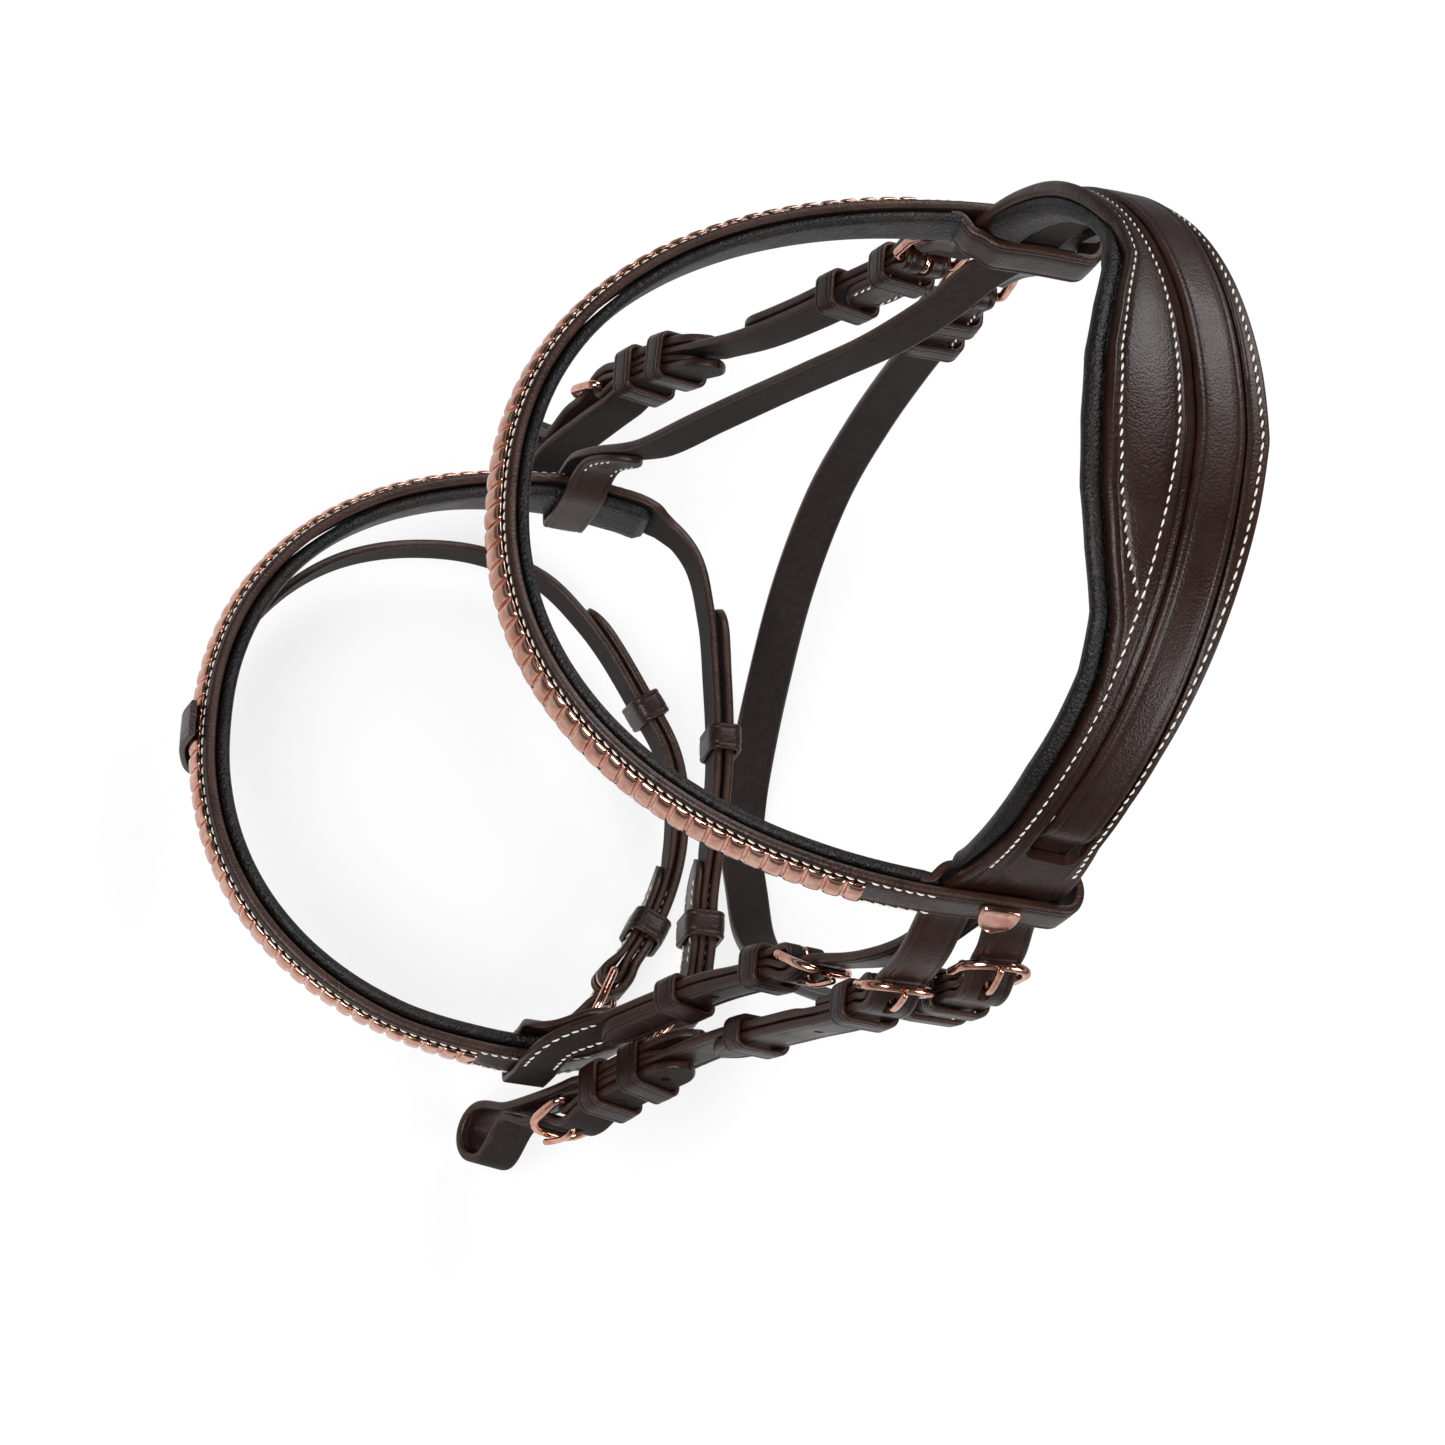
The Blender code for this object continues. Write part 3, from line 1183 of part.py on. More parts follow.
def main():
    for item in list(bpy.data.objects):
        bpy.data.objects.remove(item, do_unlink=True)
    brown = leather("havana leather", (0.035, 0.014, 0.010), 0.42)
    padding = leather("black soft leather", (0.012, 0.011, 0.012), 0.6)
    metal = leather("rose gold metal", (0.80, 0.42, 0.32), 0.2, 1.0)
    nose_route = noseband_route()
    slip = slip_route()
    throat = throat_route()
    cheeks = {side: cheek_route(side) for side in (NEAR, OFF)}
    crossings = [slip.nearest(side_of_nose(side)) for side in (NEAR, OFF)]
    headpiece(headpiece_route(), slip, cheeks, throat, brown, padding)
    sliphead(slip, crossings, brown, metal)
    browband(brow_route(), brown, padding, metal)
    for side, route in cheeks.items():
        cheek_side(side, route, brown, metal)
    throatlash(throat, brown, metal)
    noseband(nose_route, brown, padding, metal)
    flash(flash_route(), nose_route, brown, metal)


if __name__ == "__main__":
    main()
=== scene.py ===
"""Looks of a horse bridle, laid out as a Blender add-on and run as a script.

Metres, +Z up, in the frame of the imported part. +X is the near (left) side of the horse and
-Y is its forehead and nose. Every strap is a profile carried along a route over the head: a
place on a route is a station along it, a shift across the strap and a height out from the
head.
"""

import math

import bpy
import numpy as np
from mathutils import Matrix, Vector


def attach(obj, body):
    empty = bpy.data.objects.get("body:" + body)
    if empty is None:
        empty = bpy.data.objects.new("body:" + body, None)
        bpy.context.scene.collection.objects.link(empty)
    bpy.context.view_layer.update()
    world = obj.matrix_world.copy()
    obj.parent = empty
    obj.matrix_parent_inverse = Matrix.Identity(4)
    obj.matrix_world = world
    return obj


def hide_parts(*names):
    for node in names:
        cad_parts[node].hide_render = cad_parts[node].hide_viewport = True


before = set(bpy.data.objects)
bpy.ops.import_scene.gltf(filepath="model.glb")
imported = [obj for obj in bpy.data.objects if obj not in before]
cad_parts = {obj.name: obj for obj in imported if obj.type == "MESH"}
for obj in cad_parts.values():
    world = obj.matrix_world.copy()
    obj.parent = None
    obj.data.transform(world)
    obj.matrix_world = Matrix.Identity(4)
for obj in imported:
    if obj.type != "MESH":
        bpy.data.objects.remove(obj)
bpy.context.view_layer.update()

bl_info = {
    "name": "Horse bridle looks",
    "version": (1, 0, 0),
    "blender": (4, 5, 0),
    "location": "3D View > Sidebar > Bridle",
    "description": "Dresses the packed bridle in leather, thread, padding and polished metal",
    "category": "Object",
}

# Head that the bridle fits
POLL_HALF_WIDTH = 0.103
POLL_RISE = 0.108
POLL_SET_BACK = 0.009
BROW_DEPTH = 0.148
BROW_DROOP = 0.023
BROW_SET_OVER = 0.0045
NOSE_DROP = 0.344
NOSE_HALF_WIDTH = 0.0985
NOSE_FRONT_REACH = 0.115
NOSE_REAR_REACH = 0.055
NOSE_SET_FORWARD = 0.072
NOSE_SET_OVER = 0.0015
NOSE_SLOPE = 0.006
ARCH_POWER_SHARE = 0.92
FRONT_LEAN_SHARE = 0.05
CHIN_LEAN_SHARE = 0.15
NOSE_POWER_SHARE = 0.91
NOSE_LEAN_SHARE = 0.18
BROW_FLARE_SHARE = 0.08
LEAN_RAMP = 2.6
HANGER_RISE_SHARE = 0.07

# Leather thicknesses and gaps
STRAP_THICK = 0.0030
CHAPE_THICK = 0.0024
HEADPIECE_THICK = 0.0034
NOSEBAND_THICK = 0.0034
BROWBAND_THICK = 0.0030
PAD_THICK = 0.0060
NOSE_PAD_THICK = 0.0048
BROW_PAD_THICK = 0.0040
LAYER_GAP = 0.0003
SLIP_GAP = 0.0005

# Section of a strap
INNER_CORNER = 0.0008
GRAIN_CORNER = 0.0013
GRAIN_BULGE = 0.00012
CREASE_INSET = 0.0021
CREASE_REACH = 0.00045
CREASE_FADE = 0.004
CREASE_DEEP = 0.00022

# Strap widths
CHEEK_WIDE = 0.015
HANGER_WIDE = 0.014
CHIN_WIDE = 0.014
FLASH_WIDE = 0.012
THROAT_WIDE = 0.015
NOSEBAND_WIDE = 0.0205
BROWBAND_WIDE = 0.0165

# Headpiece
CROWN_HALF_WIDE = 0.027
BILLET_SPLIT = 0.0042
FRONT_ROLL = 0.0050
REAR_ROLL = 0.0018
BEAD_HIGH = 0.0012
CHANNEL_CLEAR = 0.0009
CHANNEL_FLOOR = 0.0012
CHANNEL_SHIFT = 0.012
BILLET_HELD = 0.008
SLOT_LONG = 0.026
SLOT_SET_UP = 0.022
SLOT_SHORT = 0.0075
SLOT_CORNER = 0.003
EDGE_LOW = 0.0009
EDGE_HIGH = 0.0005
WALL_STEP = 0.00003
PANEL_SWELL = 0.0012
FAR_TUCK = 0.0022
NEAR_FADE = (2.12, 2.42)
MARGIN_FADE = (1.3, 2.0)
ROW_MARGINS = (0.0054, 0.0030)
ROWS_MEET = 0.020
ROWS_APART = 0.0012
ROW_SUNK = 0.00022
REAR_ROW_INSET = 0.0026
REAR_ROW_START = 0.016
FRONT_SHARES = (0.66, 0.67, 0.67, 0.66, 0.60, 0.56, 0.62, 0.82, 0.97, 1.01)
REAR_SHARES = (0.64, 0.58, 0.56, 0.58, 0.64, 0.73, 0.82, 0.91, 1.00, 1.07)
CHANNEL_SHARES = (0.13, 0.13, 0.14, 0.25, 0.38, 0.51, 0.63, 0.77, 0.90, 1.00)

# Buckles and keepers
BAR_RADIUS = 0.0015
BAR_CLEAR = 0.0003
TONGUE_RADIUS = 0.0011
FRAME_LONG = 0.0170
FRAME_SIDE_CLEAR = 0.0010
NOSE_LIFT = 0.0046
HEEL_CORNER = 0.0022
NOSE_CORNER = 0.0070
TONGUE_OVERHANG = 0.0024
SLOT_CLEAR = 0.0005
CUT_THROUGH = 0.0012
HOLE_UNDERCUT = 0.00024
CHAPE_TAPER = 0.0090
HOLE_RADIUS = 0.0016
HOLE_PITCH = 0.0220
HOLES_SPARE = 2
KEEPER_LONG = 0.0090
KEEPER_WALL = 0.0016
KEEPER_CLEAR = 0.0008
KEEPER_CORNER = 0.0029
KEEPER_BACK = 0.0160
HANGER_SLIDE = 0.62
CHIN_SLIDE = 0.66
FLASH_SLIDE = 0.72

# Lengths along the straps
CHEEK_HEEL = 0.074
CHEEK_LONG = 0.177
CHEEK_TAIL = 0.104
OFF_CHEEK_HEEL = 0.061
OFF_CHEEK_TAIL = 0.098
CHEEK_TURN = 0.042
BIT_TURN = 0.050
BIT_TAIL = 0.056
BIT_LOOP_LONG = 0.040
BIT_LOOP_DEEP = 0.0178
BIT_RING_LONG = 0.0235
BIT_LAP = 0.062
THROAT_HEEL = 0.052
OFF_THROAT_HEEL = 0.080
THROAT_TAIL = 0.070
THROAT_TURN = 0.046
HANGER_HEEL = 0.138
HANGER_TAIL = 0.095
HANGER_TURN = 0.030
HANGER_LOOP_CLEAR = 0.0008
HANGER_LOOP_TURN = 0.040
NOSEBAND_END = 0.019
OFF_NOSEBAND_END = 0.027
CHIN_HEEL = 0.0525
CHIN_TAIL = 0.138
CHIN_TURN = 0.050
FLASH_HEEL = 0.201
FLASH_TAIL = 0.140
FLASH_TURN = 0.046
TIP_LONG = 0.011
TIP_BLUNT = 0.10
TIP_POWER = 1.12
FOLD_ANGLE = 100

# Stitches
STITCH_SHARES = (0.03, 0.2, 0.5, 0.8, 0.97)
STITCH_SIDES = 6
STITCH_POWER = 0.45
STITCH_RISE = 0.26
STITCH_LIFT = 0.02
STITCH_SLANT = 0.22
STITCH_FLAT = 0.8
STITCH_INSET = 0.0022
STITCH_BESIDE = 0.0005
BROW_STITCH_INSET = 0.0016
NOSE_STITCH_INSET = 0.0019
FRONT_ROW_LONGER = 0.0045

# Clinchers, badge and flash loop
CLINCHER_SHARES = (-1, -0.96, -0.84, -0.5, 0, 0.5, 0.84, 0.96, 1)
CLINCHER_POWER = 6
CLINCHER_DOME = 0.22
CLINCHER_PITCH = 0.0059
CLINCHER_LONG = 0.0052
BACKING_SHARE = 0.86
CLINCHER_HIGH = 0.0022
CLINCHER_BACK = 0.0006
CLINCHER_WIDE = 0.0110
BROW_CLINCHER_START = 0.039
BROW_CLINCHER_END = 0.033
NOSE_CLINCHER_START = 0.019
NOSE_CLINCHER_END = 0.024
BROW_PAD_START = 0.0225
BADGE_WIDE = 0.0118
BADGE_TALL = 0.0138
BADGE_TILT = 0.0024
BADGE_THICK = 0.0016
FLASH_LOOP_WIDE = 0.0125
FLASH_LOOP_THICK = 0.0022

# Fineness of the surfaces
SPAN_STEPS = 28
EASE_STEPS = 10
FOLD_STEPS = 14
HANGER_OVER_STEPS = 8
TIP_STEPS = 10
BROW_PARTS = 20
NOSE_PARTS = 16
ARCH_PARTS = 24
CROWN_COUNTS = (9, 6, 16, 10, 6, 1, 6, 1, 10, 6)
STEP = 0.0021
WIRE_SIDES = 14
HOLE_SIDES = 12
FLOOR_REACH = 6
FLOOR_LINES = 9

DOUBLED = 2 * CHAPE_THICK + LAYER_GAP
BAR_HIGH = DOUBLED / 2
FOLD_RADIUS = BAR_RADIUS + BAR_CLEAR + CHAPE_THICK / 2
OVER_BAR = FOLD_RADIUS + CHAPE_THICK / 2 + SLIP_GAP + STRAP_THICK / 2
UNDER_NOSE = NOSE_LIFT - BAR_RADIUS - SLIP_GAP - STRAP_THICK / 2
ON_CHAPE = DOUBLED + SLIP_GAP + STRAP_THICK / 2
PLAIN_HIGH = DOUBLED - STRAP_THICK / 2
TONGUE_REST = NOSE_LIFT + BAR_RADIUS + BAR_CLEAR + TONGUE_RADIUS
JUNCTION_DROP = POLL_RISE - PAD_THICK - LAYER_GAP
BILLET_SHIFT = (CHEEK_WIDE + BILLET_SPLIT) / 2
HEADPIECE_END = CHEEK_WIDE + BILLET_SPLIT / 2 + LAYER_GAP
SLOT_HALF = HANGER_WIDE / 2 + CHANNEL_CLEAR

UP = np.array((0.0, 0.0, 1.0))
REAR = np.array((0.0, 1.0, 0.0))
NEARWARD = np.array((1.0, 0.0, 0.0))
NEAR = 1
OFF = -1
STATION, HEIGHT, THICK, WIDE = range(4)

# Name, heel and tail of the cheek buckle at each side, and where its keeper has slid to
SIDES = {NEAR: ("near", CHEEK_HEEL, CHEEK_TAIL), OFF: ("off", OFF_CHEEK_HEEL, OFF_CHEEK_TAIL)}
CHEEK_SLIDES = {NEAR: 0.80, OFF: 0.46}

# What settings of one kind have in common
COLOUR = {"subtype": "COLOR", "size": 3, "min": 0, "max": 1}
LENGTH = {"subtype": "DISTANCE", "unit": "LENGTH", "precision": 5}

NEAR_CHEEK_SHARES = (
    (1.006, -0.064, 0.348), (1.065, -0.064, 0.398), (1.078, -0.060, 0.450),
    (1.076, -0.057, 0.504), (1.064, -0.070, 0.564), (1.022, -0.122, 0.668),
    (0.985, -0.182, 0.780), (0.996, -0.257, 0.872), (1.030, -0.324, 0.937),
    (1.060, -0.372, 0.999), (1.072, -0.430, 1.060), (1.068, -0.500, 1.130),
    (1.056, -0.570, 1.195),
)
OFF_CHEEK_SHARES = (
    (1.006, -0.064, 0.345), (1.052, -0.068, 0.387), (1.105, -0.076, 0.435),
    (1.132, -0.083, 0.467), (1.150, -0.108, 0.532), (1.155, -0.142, 0.575),
    (1.166, -0.209, 0.664), (1.188, -0.270, 0.740), (1.225, -0.318, 0.800),
    (1.270, -0.365, 0.870), (1.276, -0.412, 0.936), (1.256, -0.459, 1.006),
    (1.218, -0.510, 1.075),
)
THROAT_SHARES = (
    (1.006, 0.070, 0.348), (1.045, 0.086, 0.395), (1.067, 0.092, 0.443),
    (1.040, 0.092, 0.513), (0.978, 0.092, 0.608), (0.888, 0.092, 0.708),
    (0.782, 0.092, 0.813), (0.639, 0.092, 0.924), (0.491, 0.092, 1.025),
    (0.356, 0.092, 1.092), (0.240, 0.092, 1.132), (0.092, 0.092, 1.158),
    (-0.062, 0.082, 1.170), (-0.231, 0.082, 1.168), (-0.408, 0.082, 1.145),
    (-0.600, 0.082, 1.108), (-0.790, 0.082, 1.061), (-1.016, 0.082, 0.957),
    (-1.117, 0.082, 0.833), (-1.156, 0.082, 0.726), (-1.158, 0.076, 0.620),
    (-1.150, 0.068, 0.530), (-1.090, 0.064, 0.440), (-1.010, 0.066, 0.350),
)
NEAR_SLIP_SHARES = (
    (0.988, 0.022, 0.350), (0.984, 0.008, 0.410), (0.981, -0.020, 0.475),
    (0.951, -0.060, 0.535), (0.908, -0.105, 0.590), (0.866, -0.153, 0.650),
    (0.845, -0.200, 0.710), (0.839, -0.250, 0.765), (0.861, -0.315, 0.825),
    (0.896, -0.390, 0.880),
)
OFF_SLIP_SHARES = (
    (0.984, -0.041, 0.354), (0.943, -0.083, 0.420), (0.895, -0.149, 0.500),
    (0.885, -0.216, 0.584), (0.898, -0.284, 0.675), (0.902, -0.350, 0.755),
    (0.905, -0.410, 0.830),
)
FLASH_SHARES = (
    (0.000, -1.585, 1.082), (-0.451, -1.495, 1.090), (-0.775, -1.235, 1.113),
    (-0.885, -1.005, 1.128), (-0.905, -0.791, 1.134), (-0.855, -0.605, 1.140),
    (-0.735, -0.483, 1.140), (-0.487, -0.317, 1.142), (-0.292, -0.209, 1.145),
    (0.000, -0.178, 1.145), (0.330, -0.250, 1.142), (0.538, -0.357, 1.134),
    (0.700, -0.470, 1.128), (0.807, -0.626, 1.104), (0.843, -0.783, 1.090),
    (0.830, -0.942, 1.085), (0.668, -1.231, 1.086), (0.400, -1.445, 1.086),
)
CHIN_SHARES = (
    (-0.985, 0.18), (-0.955, 0.42), (-0.820, 0.70), (-0.620, 0.81), (-0.400, 0.86),
    (-0.130, 0.90), (0.150, 0.89), (0.390, 0.86), (0.600, 0.86), (0.750, 0.82),
    (0.865, 0.60), (0.965, 0.30),
)


def unit(vectors):
    """Vectors divided by their own lengths."""
    return vectors / np.linalg.norm(vectors, axis=-1, keepdims=True)


def dot(first, second):
    """The scalar product of each pair of vectors, kept as a column."""
    return (first * second).sum(axis=-1, keepdims=True)


def cubic_spans(points, leave, reach, steps):
    """Points on a cubic from each point to the next, leaving and reaching it at given slopes.

    At a share t of a span the ends are weighed by the cubics that rise from 0 to 1 and fall
    from 1 to 0, and the slopes by t(1 - t) squared and by t squared(1 - t).
    """
    t = (np.arange(steps) / steps)[None, :, None]
    start, end = points[:-1, None], points[1:, None]
    spans = (start * (1 + 2 * t) * (1 - t) ** 2 + leave[:, None] * t * (1 - t) ** 2
             + end * t * t * (3 - 2 * t) - reach[:, None] * t * t * (1 - t))
    return np.vstack([spans.reshape(-1, points.shape[1]), points[-1:]])


def running_length(line):
    """The length of a line from its start to each of its points."""
    return np.concatenate([[0.0], np.cumsum(np.linalg.norm(np.diff(line, axis=0), axis=1))])


class Route:
    """A smooth line over the head, with its outward direction at every station.

    Each span is a cubic between two points. The slope at a point is the mean of the slopes of
    the spans that meet there, each weighed by the length of the other. A station is a length
    along the line.
    """

    def __init__(self, points, facing, closed=False):
        """Works out the line and the station of each of its points."""
        points = np.array(points, float)
        if closed:
            points = np.vstack([points, points[:1]])
        gap = np.diff(points, axis=0)
        chord = np.linalg.norm(gap, axis=1)[:, None]
        rate = gap / chord
        weight = chord[:-1] / (chord[:-1] + chord[1:])
        slope = np.vstack([rate[:1], rate[1:] * weight + rate[:-1] * (1 - weight), rate[-1:]])
        if closed:
            share = chord[-1] / (chord[-1] + chord[0])
            slope[0] = slope[-1] = rate[0] * share + rate[-1] * (1 - share)
        self.line = cubic_spans(points, slope[:-1] * chord, slope[1:] * chord, SPAN_STEPS)
        self.marks = running_length(self.line)
        self.length = self.marks[-1]
        self.facing = facing
        self.closed = closed

    def point(self, station):
        """Points at stations, carried straight on past the ends of an open line."""
        station = np.asarray(station, float)
        if self.closed:
            station = np.mod(station, self.length)
        inside = np.clip(station, 0, self.length)
        found = np.stack([np.interp(inside, self.marks, self.line[:, k]) for k in range(3)], -1)
        ends = (unit(self.line[1] - self.line[0]), unit(self.line[-1] - self.line[-2]))
        beyond = (station - inside)[..., None]
        return found + np.where(beyond < 0, beyond * ends[0], beyond * ends[1])

    def at(self, station):
        """Point, along, outward and across at stations, as four arrays of vectors."""
        station = np.asarray(station, float)
        point = self.point(station)
        along = unit(self.point(station + STEP) - self.point(station - STEP))
        hint = self.facing(point, along)
        outward = unit(hint - along * dot(hint, along))
        return point, along, outward, np.cross(along, outward)

    def place(self, station, shift, height):
        """Points at stations, moved across by a shift and outward by a height."""
        point, _, outward, across = self.at(station)
        return point + across * np.asarray(shift)[..., None] \
            + outward * np.asarray(height)[..., None]

    def nearest(self, target):
        """The station of the line's point that lies nearest to a target."""
        return self.marks[np.argmin(np.linalg.norm(self.line - target, axis=1))]


def face_over(_, along):
    """Outward on an arch from the near side over the poll to the off side."""
    return np.cross(REAR, along)


def face_under(_, along):
    """Outward on a strap that runs down the near side and up the off side."""
    return np.cross(along, REAR)


def face_side_down(point, along):
    """Outward on a strap that runs down either side of the head."""
    return np.cross(along, REAR) * np.sign(point[..., :1])


def face_round(centre, reach, sideways=0.0, flare=0.0):
    """Outward on a band that runs from the near side round the front, leaning a little."""

    def facing(point, along):
        """Outward: square to the line and to an upright that leans with the depth."""
        depth = (centre - point[..., 1:2]) / reach
        lean = depth * np.where(depth > 0, FRONT_LEAN_SHARE, CHIN_LEAN_SHARE)
        amount = np.clip(depth * LEAN_RAMP, 0.0, 1.0)
        upright = UP + REAR * lean + NEARWARD * sideways * amount
        return np.cross(upright - np.cross(upright, along) * flare * amount, along)

    return facing


def signed_power(value, power):
    """The power of a number's size, with the number's own sign."""
    return np.sign(value) * np.abs(value) ** power


def arch_point(angle):
    """A point of the headpiece's inner face: an ellipse over the poll, a little squared."""
    angle = np.asarray(angle, float)
    cosine, sine = np.cos(angle), np.maximum(np.sin(angle), 0.0)
    return np.stack([POLL_HALF_WIDTH * signed_power(cosine, ARCH_POWER_SHARE),
                     POLL_SET_BACK * sine,
                     -JUNCTION_DROP + POLL_RISE * sine ** ARCH_POWER_SHARE], -1)


def share_at(shares, angle):
    """A share read from a table that runs from either junction up to the crown."""
    place = (1 - np.abs(np.asarray(angle) / math.pi * 2 - 1)) * (len(shares) - 1)
    return np.interp(place, np.arange(len(shares)), shares)


def side_points(side, table):
    """Points down one side, as shares of the poll's half width, brow depth and nose drop."""
    return np.array(table) * (side * POLL_HALF_WIDTH, BROW_DEPTH, -NOSE_DROP)


def headpiece_route():
    """Up from below the near junction, over the poll and down to below the off one."""
    below = -UP * BROWBAND_WIDE
    arch = arch_point(np.linspace(0, math.pi, ARCH_PARTS + 1))
    return Route([arch[0] + below, *arch, arch[-1] + below], face_over)


def billet_start(side, shift):
    """The two highest points of a route down one side, straight below the headpiece."""
    start = np.array((side * POLL_HALF_WIDTH, shift, -JUNCTION_DROP))
    return [start, start - UP * BROWBAND_WIDE * 0.62]


def cheek_route(side):
    """Down a headpiece billet and the cheek strap, to the bit."""
    table = NEAR_CHEEK_SHARES if side == NEAR else OFF_CHEEK_SHARES
    return Route([*billet_start(side, -BILLET_SHIFT), *side_points(side, table)],
                 face_side_down)


def throat_route():
    """Down the near throat billet, under the throat and up the off one."""
    return Route([*billet_start(NEAR, BILLET_SHIFT), *side_points(NEAR, THROAT_SHARES),
                  *reversed(billet_start(OFF, BILLET_SHIFT))], face_under)


def brow_route():
    """The browband's inner leather face, run straight back past the headpiece at both ends."""
    inner = POLL_HALF_WIDTH + HEADPIECE_THICK + SLIP_GAP * 2
    angle = np.linspace(0, math.pi, BROW_PARTS + 1)
    cosine, sine = np.cos(angle), np.maximum(np.sin(angle), 0.0)
    over = BROW_SET_OVER * sine * (1 - cosine) / 2
    line = np.stack([inner * signed_power(cosine, ARCH_POWER_SHARE) - over,
                     -BROW_DEPTH * sine ** ARCH_POWER_SHARE,
                     -JUNCTION_DROP - BROW_DROOP * sine ** ARCH_POWER_SHARE], -1)
    tail = REAR * CROWN_HALF_WIDE
    return Route([line[0] + tail, *line, line[-1] + tail],
                 face_round(0, BROW_DEPTH, flare=BROW_FLARE_SHARE))


def noseband_route():
    """A closed ring from the near side round the nose, the off side and the chin groove."""
    angle = np.linspace(0, math.pi, NOSE_PARTS + 1)
    cosine, sine = np.cos(angle), np.maximum(np.sin(angle), 0.0)
    front = np.stack([NOSE_HALF_WIDTH * signed_power(cosine, NOSE_POWER_SHARE) - NOSE_SET_OVER,
                      -NOSE_FRONT_REACH * sine ** NOSE_POWER_SHARE - NOSE_SET_FORWARD,
                      -NOSE_DROP - NOSE_SLOPE * sine], -1)
    x, y = np.array(CHIN_SHARES).T
    rear = np.stack([NOSE_HALF_WIDTH * x - NOSE_SET_OVER, NOSE_REAR_REACH * y - NOSE_SET_FORWARD,
                     -NOSE_DROP + NOSE_SLOPE * y], -1)
    facing = face_round(-NOSE_SET_FORWARD, NOSE_FRONT_REACH, sideways=NOSE_LEAN_SHARE)
    return Route(np.vstack([front, rear]), facing, closed=True)


def flash_route():
    """A closed ring from the front of the nose round the off side and the chin groove."""
    line = np.array(FLASH_SHARES) * (NOSE_HALF_WIDTH, NOSE_FRONT_REACH, -NOSE_DROP)
    return Route(line, face_round(-NOSE_SET_FORWARD, NOSE_FRONT_REACH), closed=True)


def side_of_nose(side):
    """The point where a hanger meets the noseband."""
    return np.array((side * NOSE_HALF_WIDTH - NOSE_SET_OVER, -NOSE_SET_FORWARD, -NOSE_DROP))


def slip_route():
    """Up the near side, over the crown in the headpiece's channel and down the off side."""
    ends = []
    for side, table in ((NEAR, NEAR_SLIP_SHARES), (OFF, OFF_SLIP_SHARES)):
        cross = side_of_nose(side)
        rise = UP * NOSE_DROP * HANGER_RISE_SHARE
        ends.append([*side_points(side, table), cross + rise, cross, cross - rise])
    angle = np.linspace(0, math.pi, ARCH_PARTS + 1)
    arch = arch_point(angle) + REAR * (CHANNEL_SHIFT * share_at(CHANNEL_SHARES, angle))[:, None]
    return Route([*reversed(ends[0]), *arch, *ends[1]], face_over)


def lay(station, height, wide, thick=STRAP_THICK):
    """One place of a strap: its station, the height of its middle, its thickness and width."""
    return np.array([[station, height, thick, wide]])


def moved(place, **changes):
    """A copy of a lay with some of its four values changed."""
    result = place.copy()
    for name, value in changes.items():
        result[:, ("station", "height", "thick", "wide").index(name)] = value
    return result


def ease(first, second, steps=EASE_STEPS):
    """Lays from one to another, rising or falling as half a turn of a cosine."""
    t = np.linspace(0, 1, steps + 1)[:, None]
    rows = first + (second - first) * t
    rows[:, HEIGHT] = (first + (second - first) * (1 - np.cos(math.pi * t)) / 2)[:, HEIGHT]
    return rows


def tip(end, way, long=TIP_LONG):
    """A pointed strap end: the width falls as the sine of an angle while the strap runs out."""
    angle = np.linspace(math.pi / 2, TIP_BLUNT, TIP_STEPS)
    rows = np.repeat(end, len(angle), axis=0)
    rows[:, STATION] -= way * long * (1 - np.cos(angle))
    rows[:, WIDE] *= np.sin(angle) ** TIP_POWER
    return rows


def bend(station, height, reach, radius, thick, wide, angle):
    """Lays round a bend: the station moves by the reach times the cosine of each angle, and the
    height by the radius times its sine."""
    turned = np.repeat(lay(station, height, wide, thick), len(angle), axis=0)
    turned[:, STATION] += reach * np.cos(angle)
    turned[:, HEIGHT] += radius * np.sin(angle)
    return turned


def fold(heel, nose, turn, wide):
    """A chape: down the outer layer, half round the heel bar and back along the inner one."""
    outer = DOUBLED - CHAPE_THICK / 2
    inner = CHAPE_THICK / 2
    angle = np.radians(np.linspace(FOLD_ANGLE, -FOLD_ANGLE, FOLD_STEPS + 1))
    turned = bend(heel, BAR_HIGH, nose * FOLD_RADIUS, FOLD_RADIUS, CHAPE_THICK, wide, angle)
    start = lay(heel - nose * turn, outer, wide, CHAPE_THICK)
    end = lay(heel - nose * turn, inner, wide, CHAPE_THICK)
    high = ease(lay(heel - nose * CHAPE_TAPER, outer, wide, CHAPE_THICK), turned[:1], 5)
    low = ease(turned[-1:], lay(heel - nose * CHAPE_TAPER, inner, wide, CHAPE_THICK), 5)
    return np.vstack([start, high, turned[1:-1], low, tip(end, -nose)])


def billet(start, heel, nose, tail, wide, held=0.0):
    """A strap from a start, under the nose bar, over the heel bar and down on the chape."""
    outside = lay(heel + nose * FRAME_LONG * 1.2, BAR_HIGH + UNDER_NOSE, wide)
    under = moved(outside, station=heel + nose * FRAME_LONG * 0.82)
    over = lay(heel + nose * BAR_RADIUS, BAR_HIGH + OVER_BAR, wide)
    past = moved(over, station=heel - nose * BAR_RADIUS)
    settled = lay(heel - nose * CHAPE_TAPER, ON_CHAPE, wide)
    end = lay(heel - nose * tail, ON_CHAPE, wide)
    kept = moved(start, station=start[0, STATION] - nose * held)
    return np.vstack([start, ease(kept, outside, 9), ease(under, over), ease(past, settled, 6),
                      tip(end, -nose)])


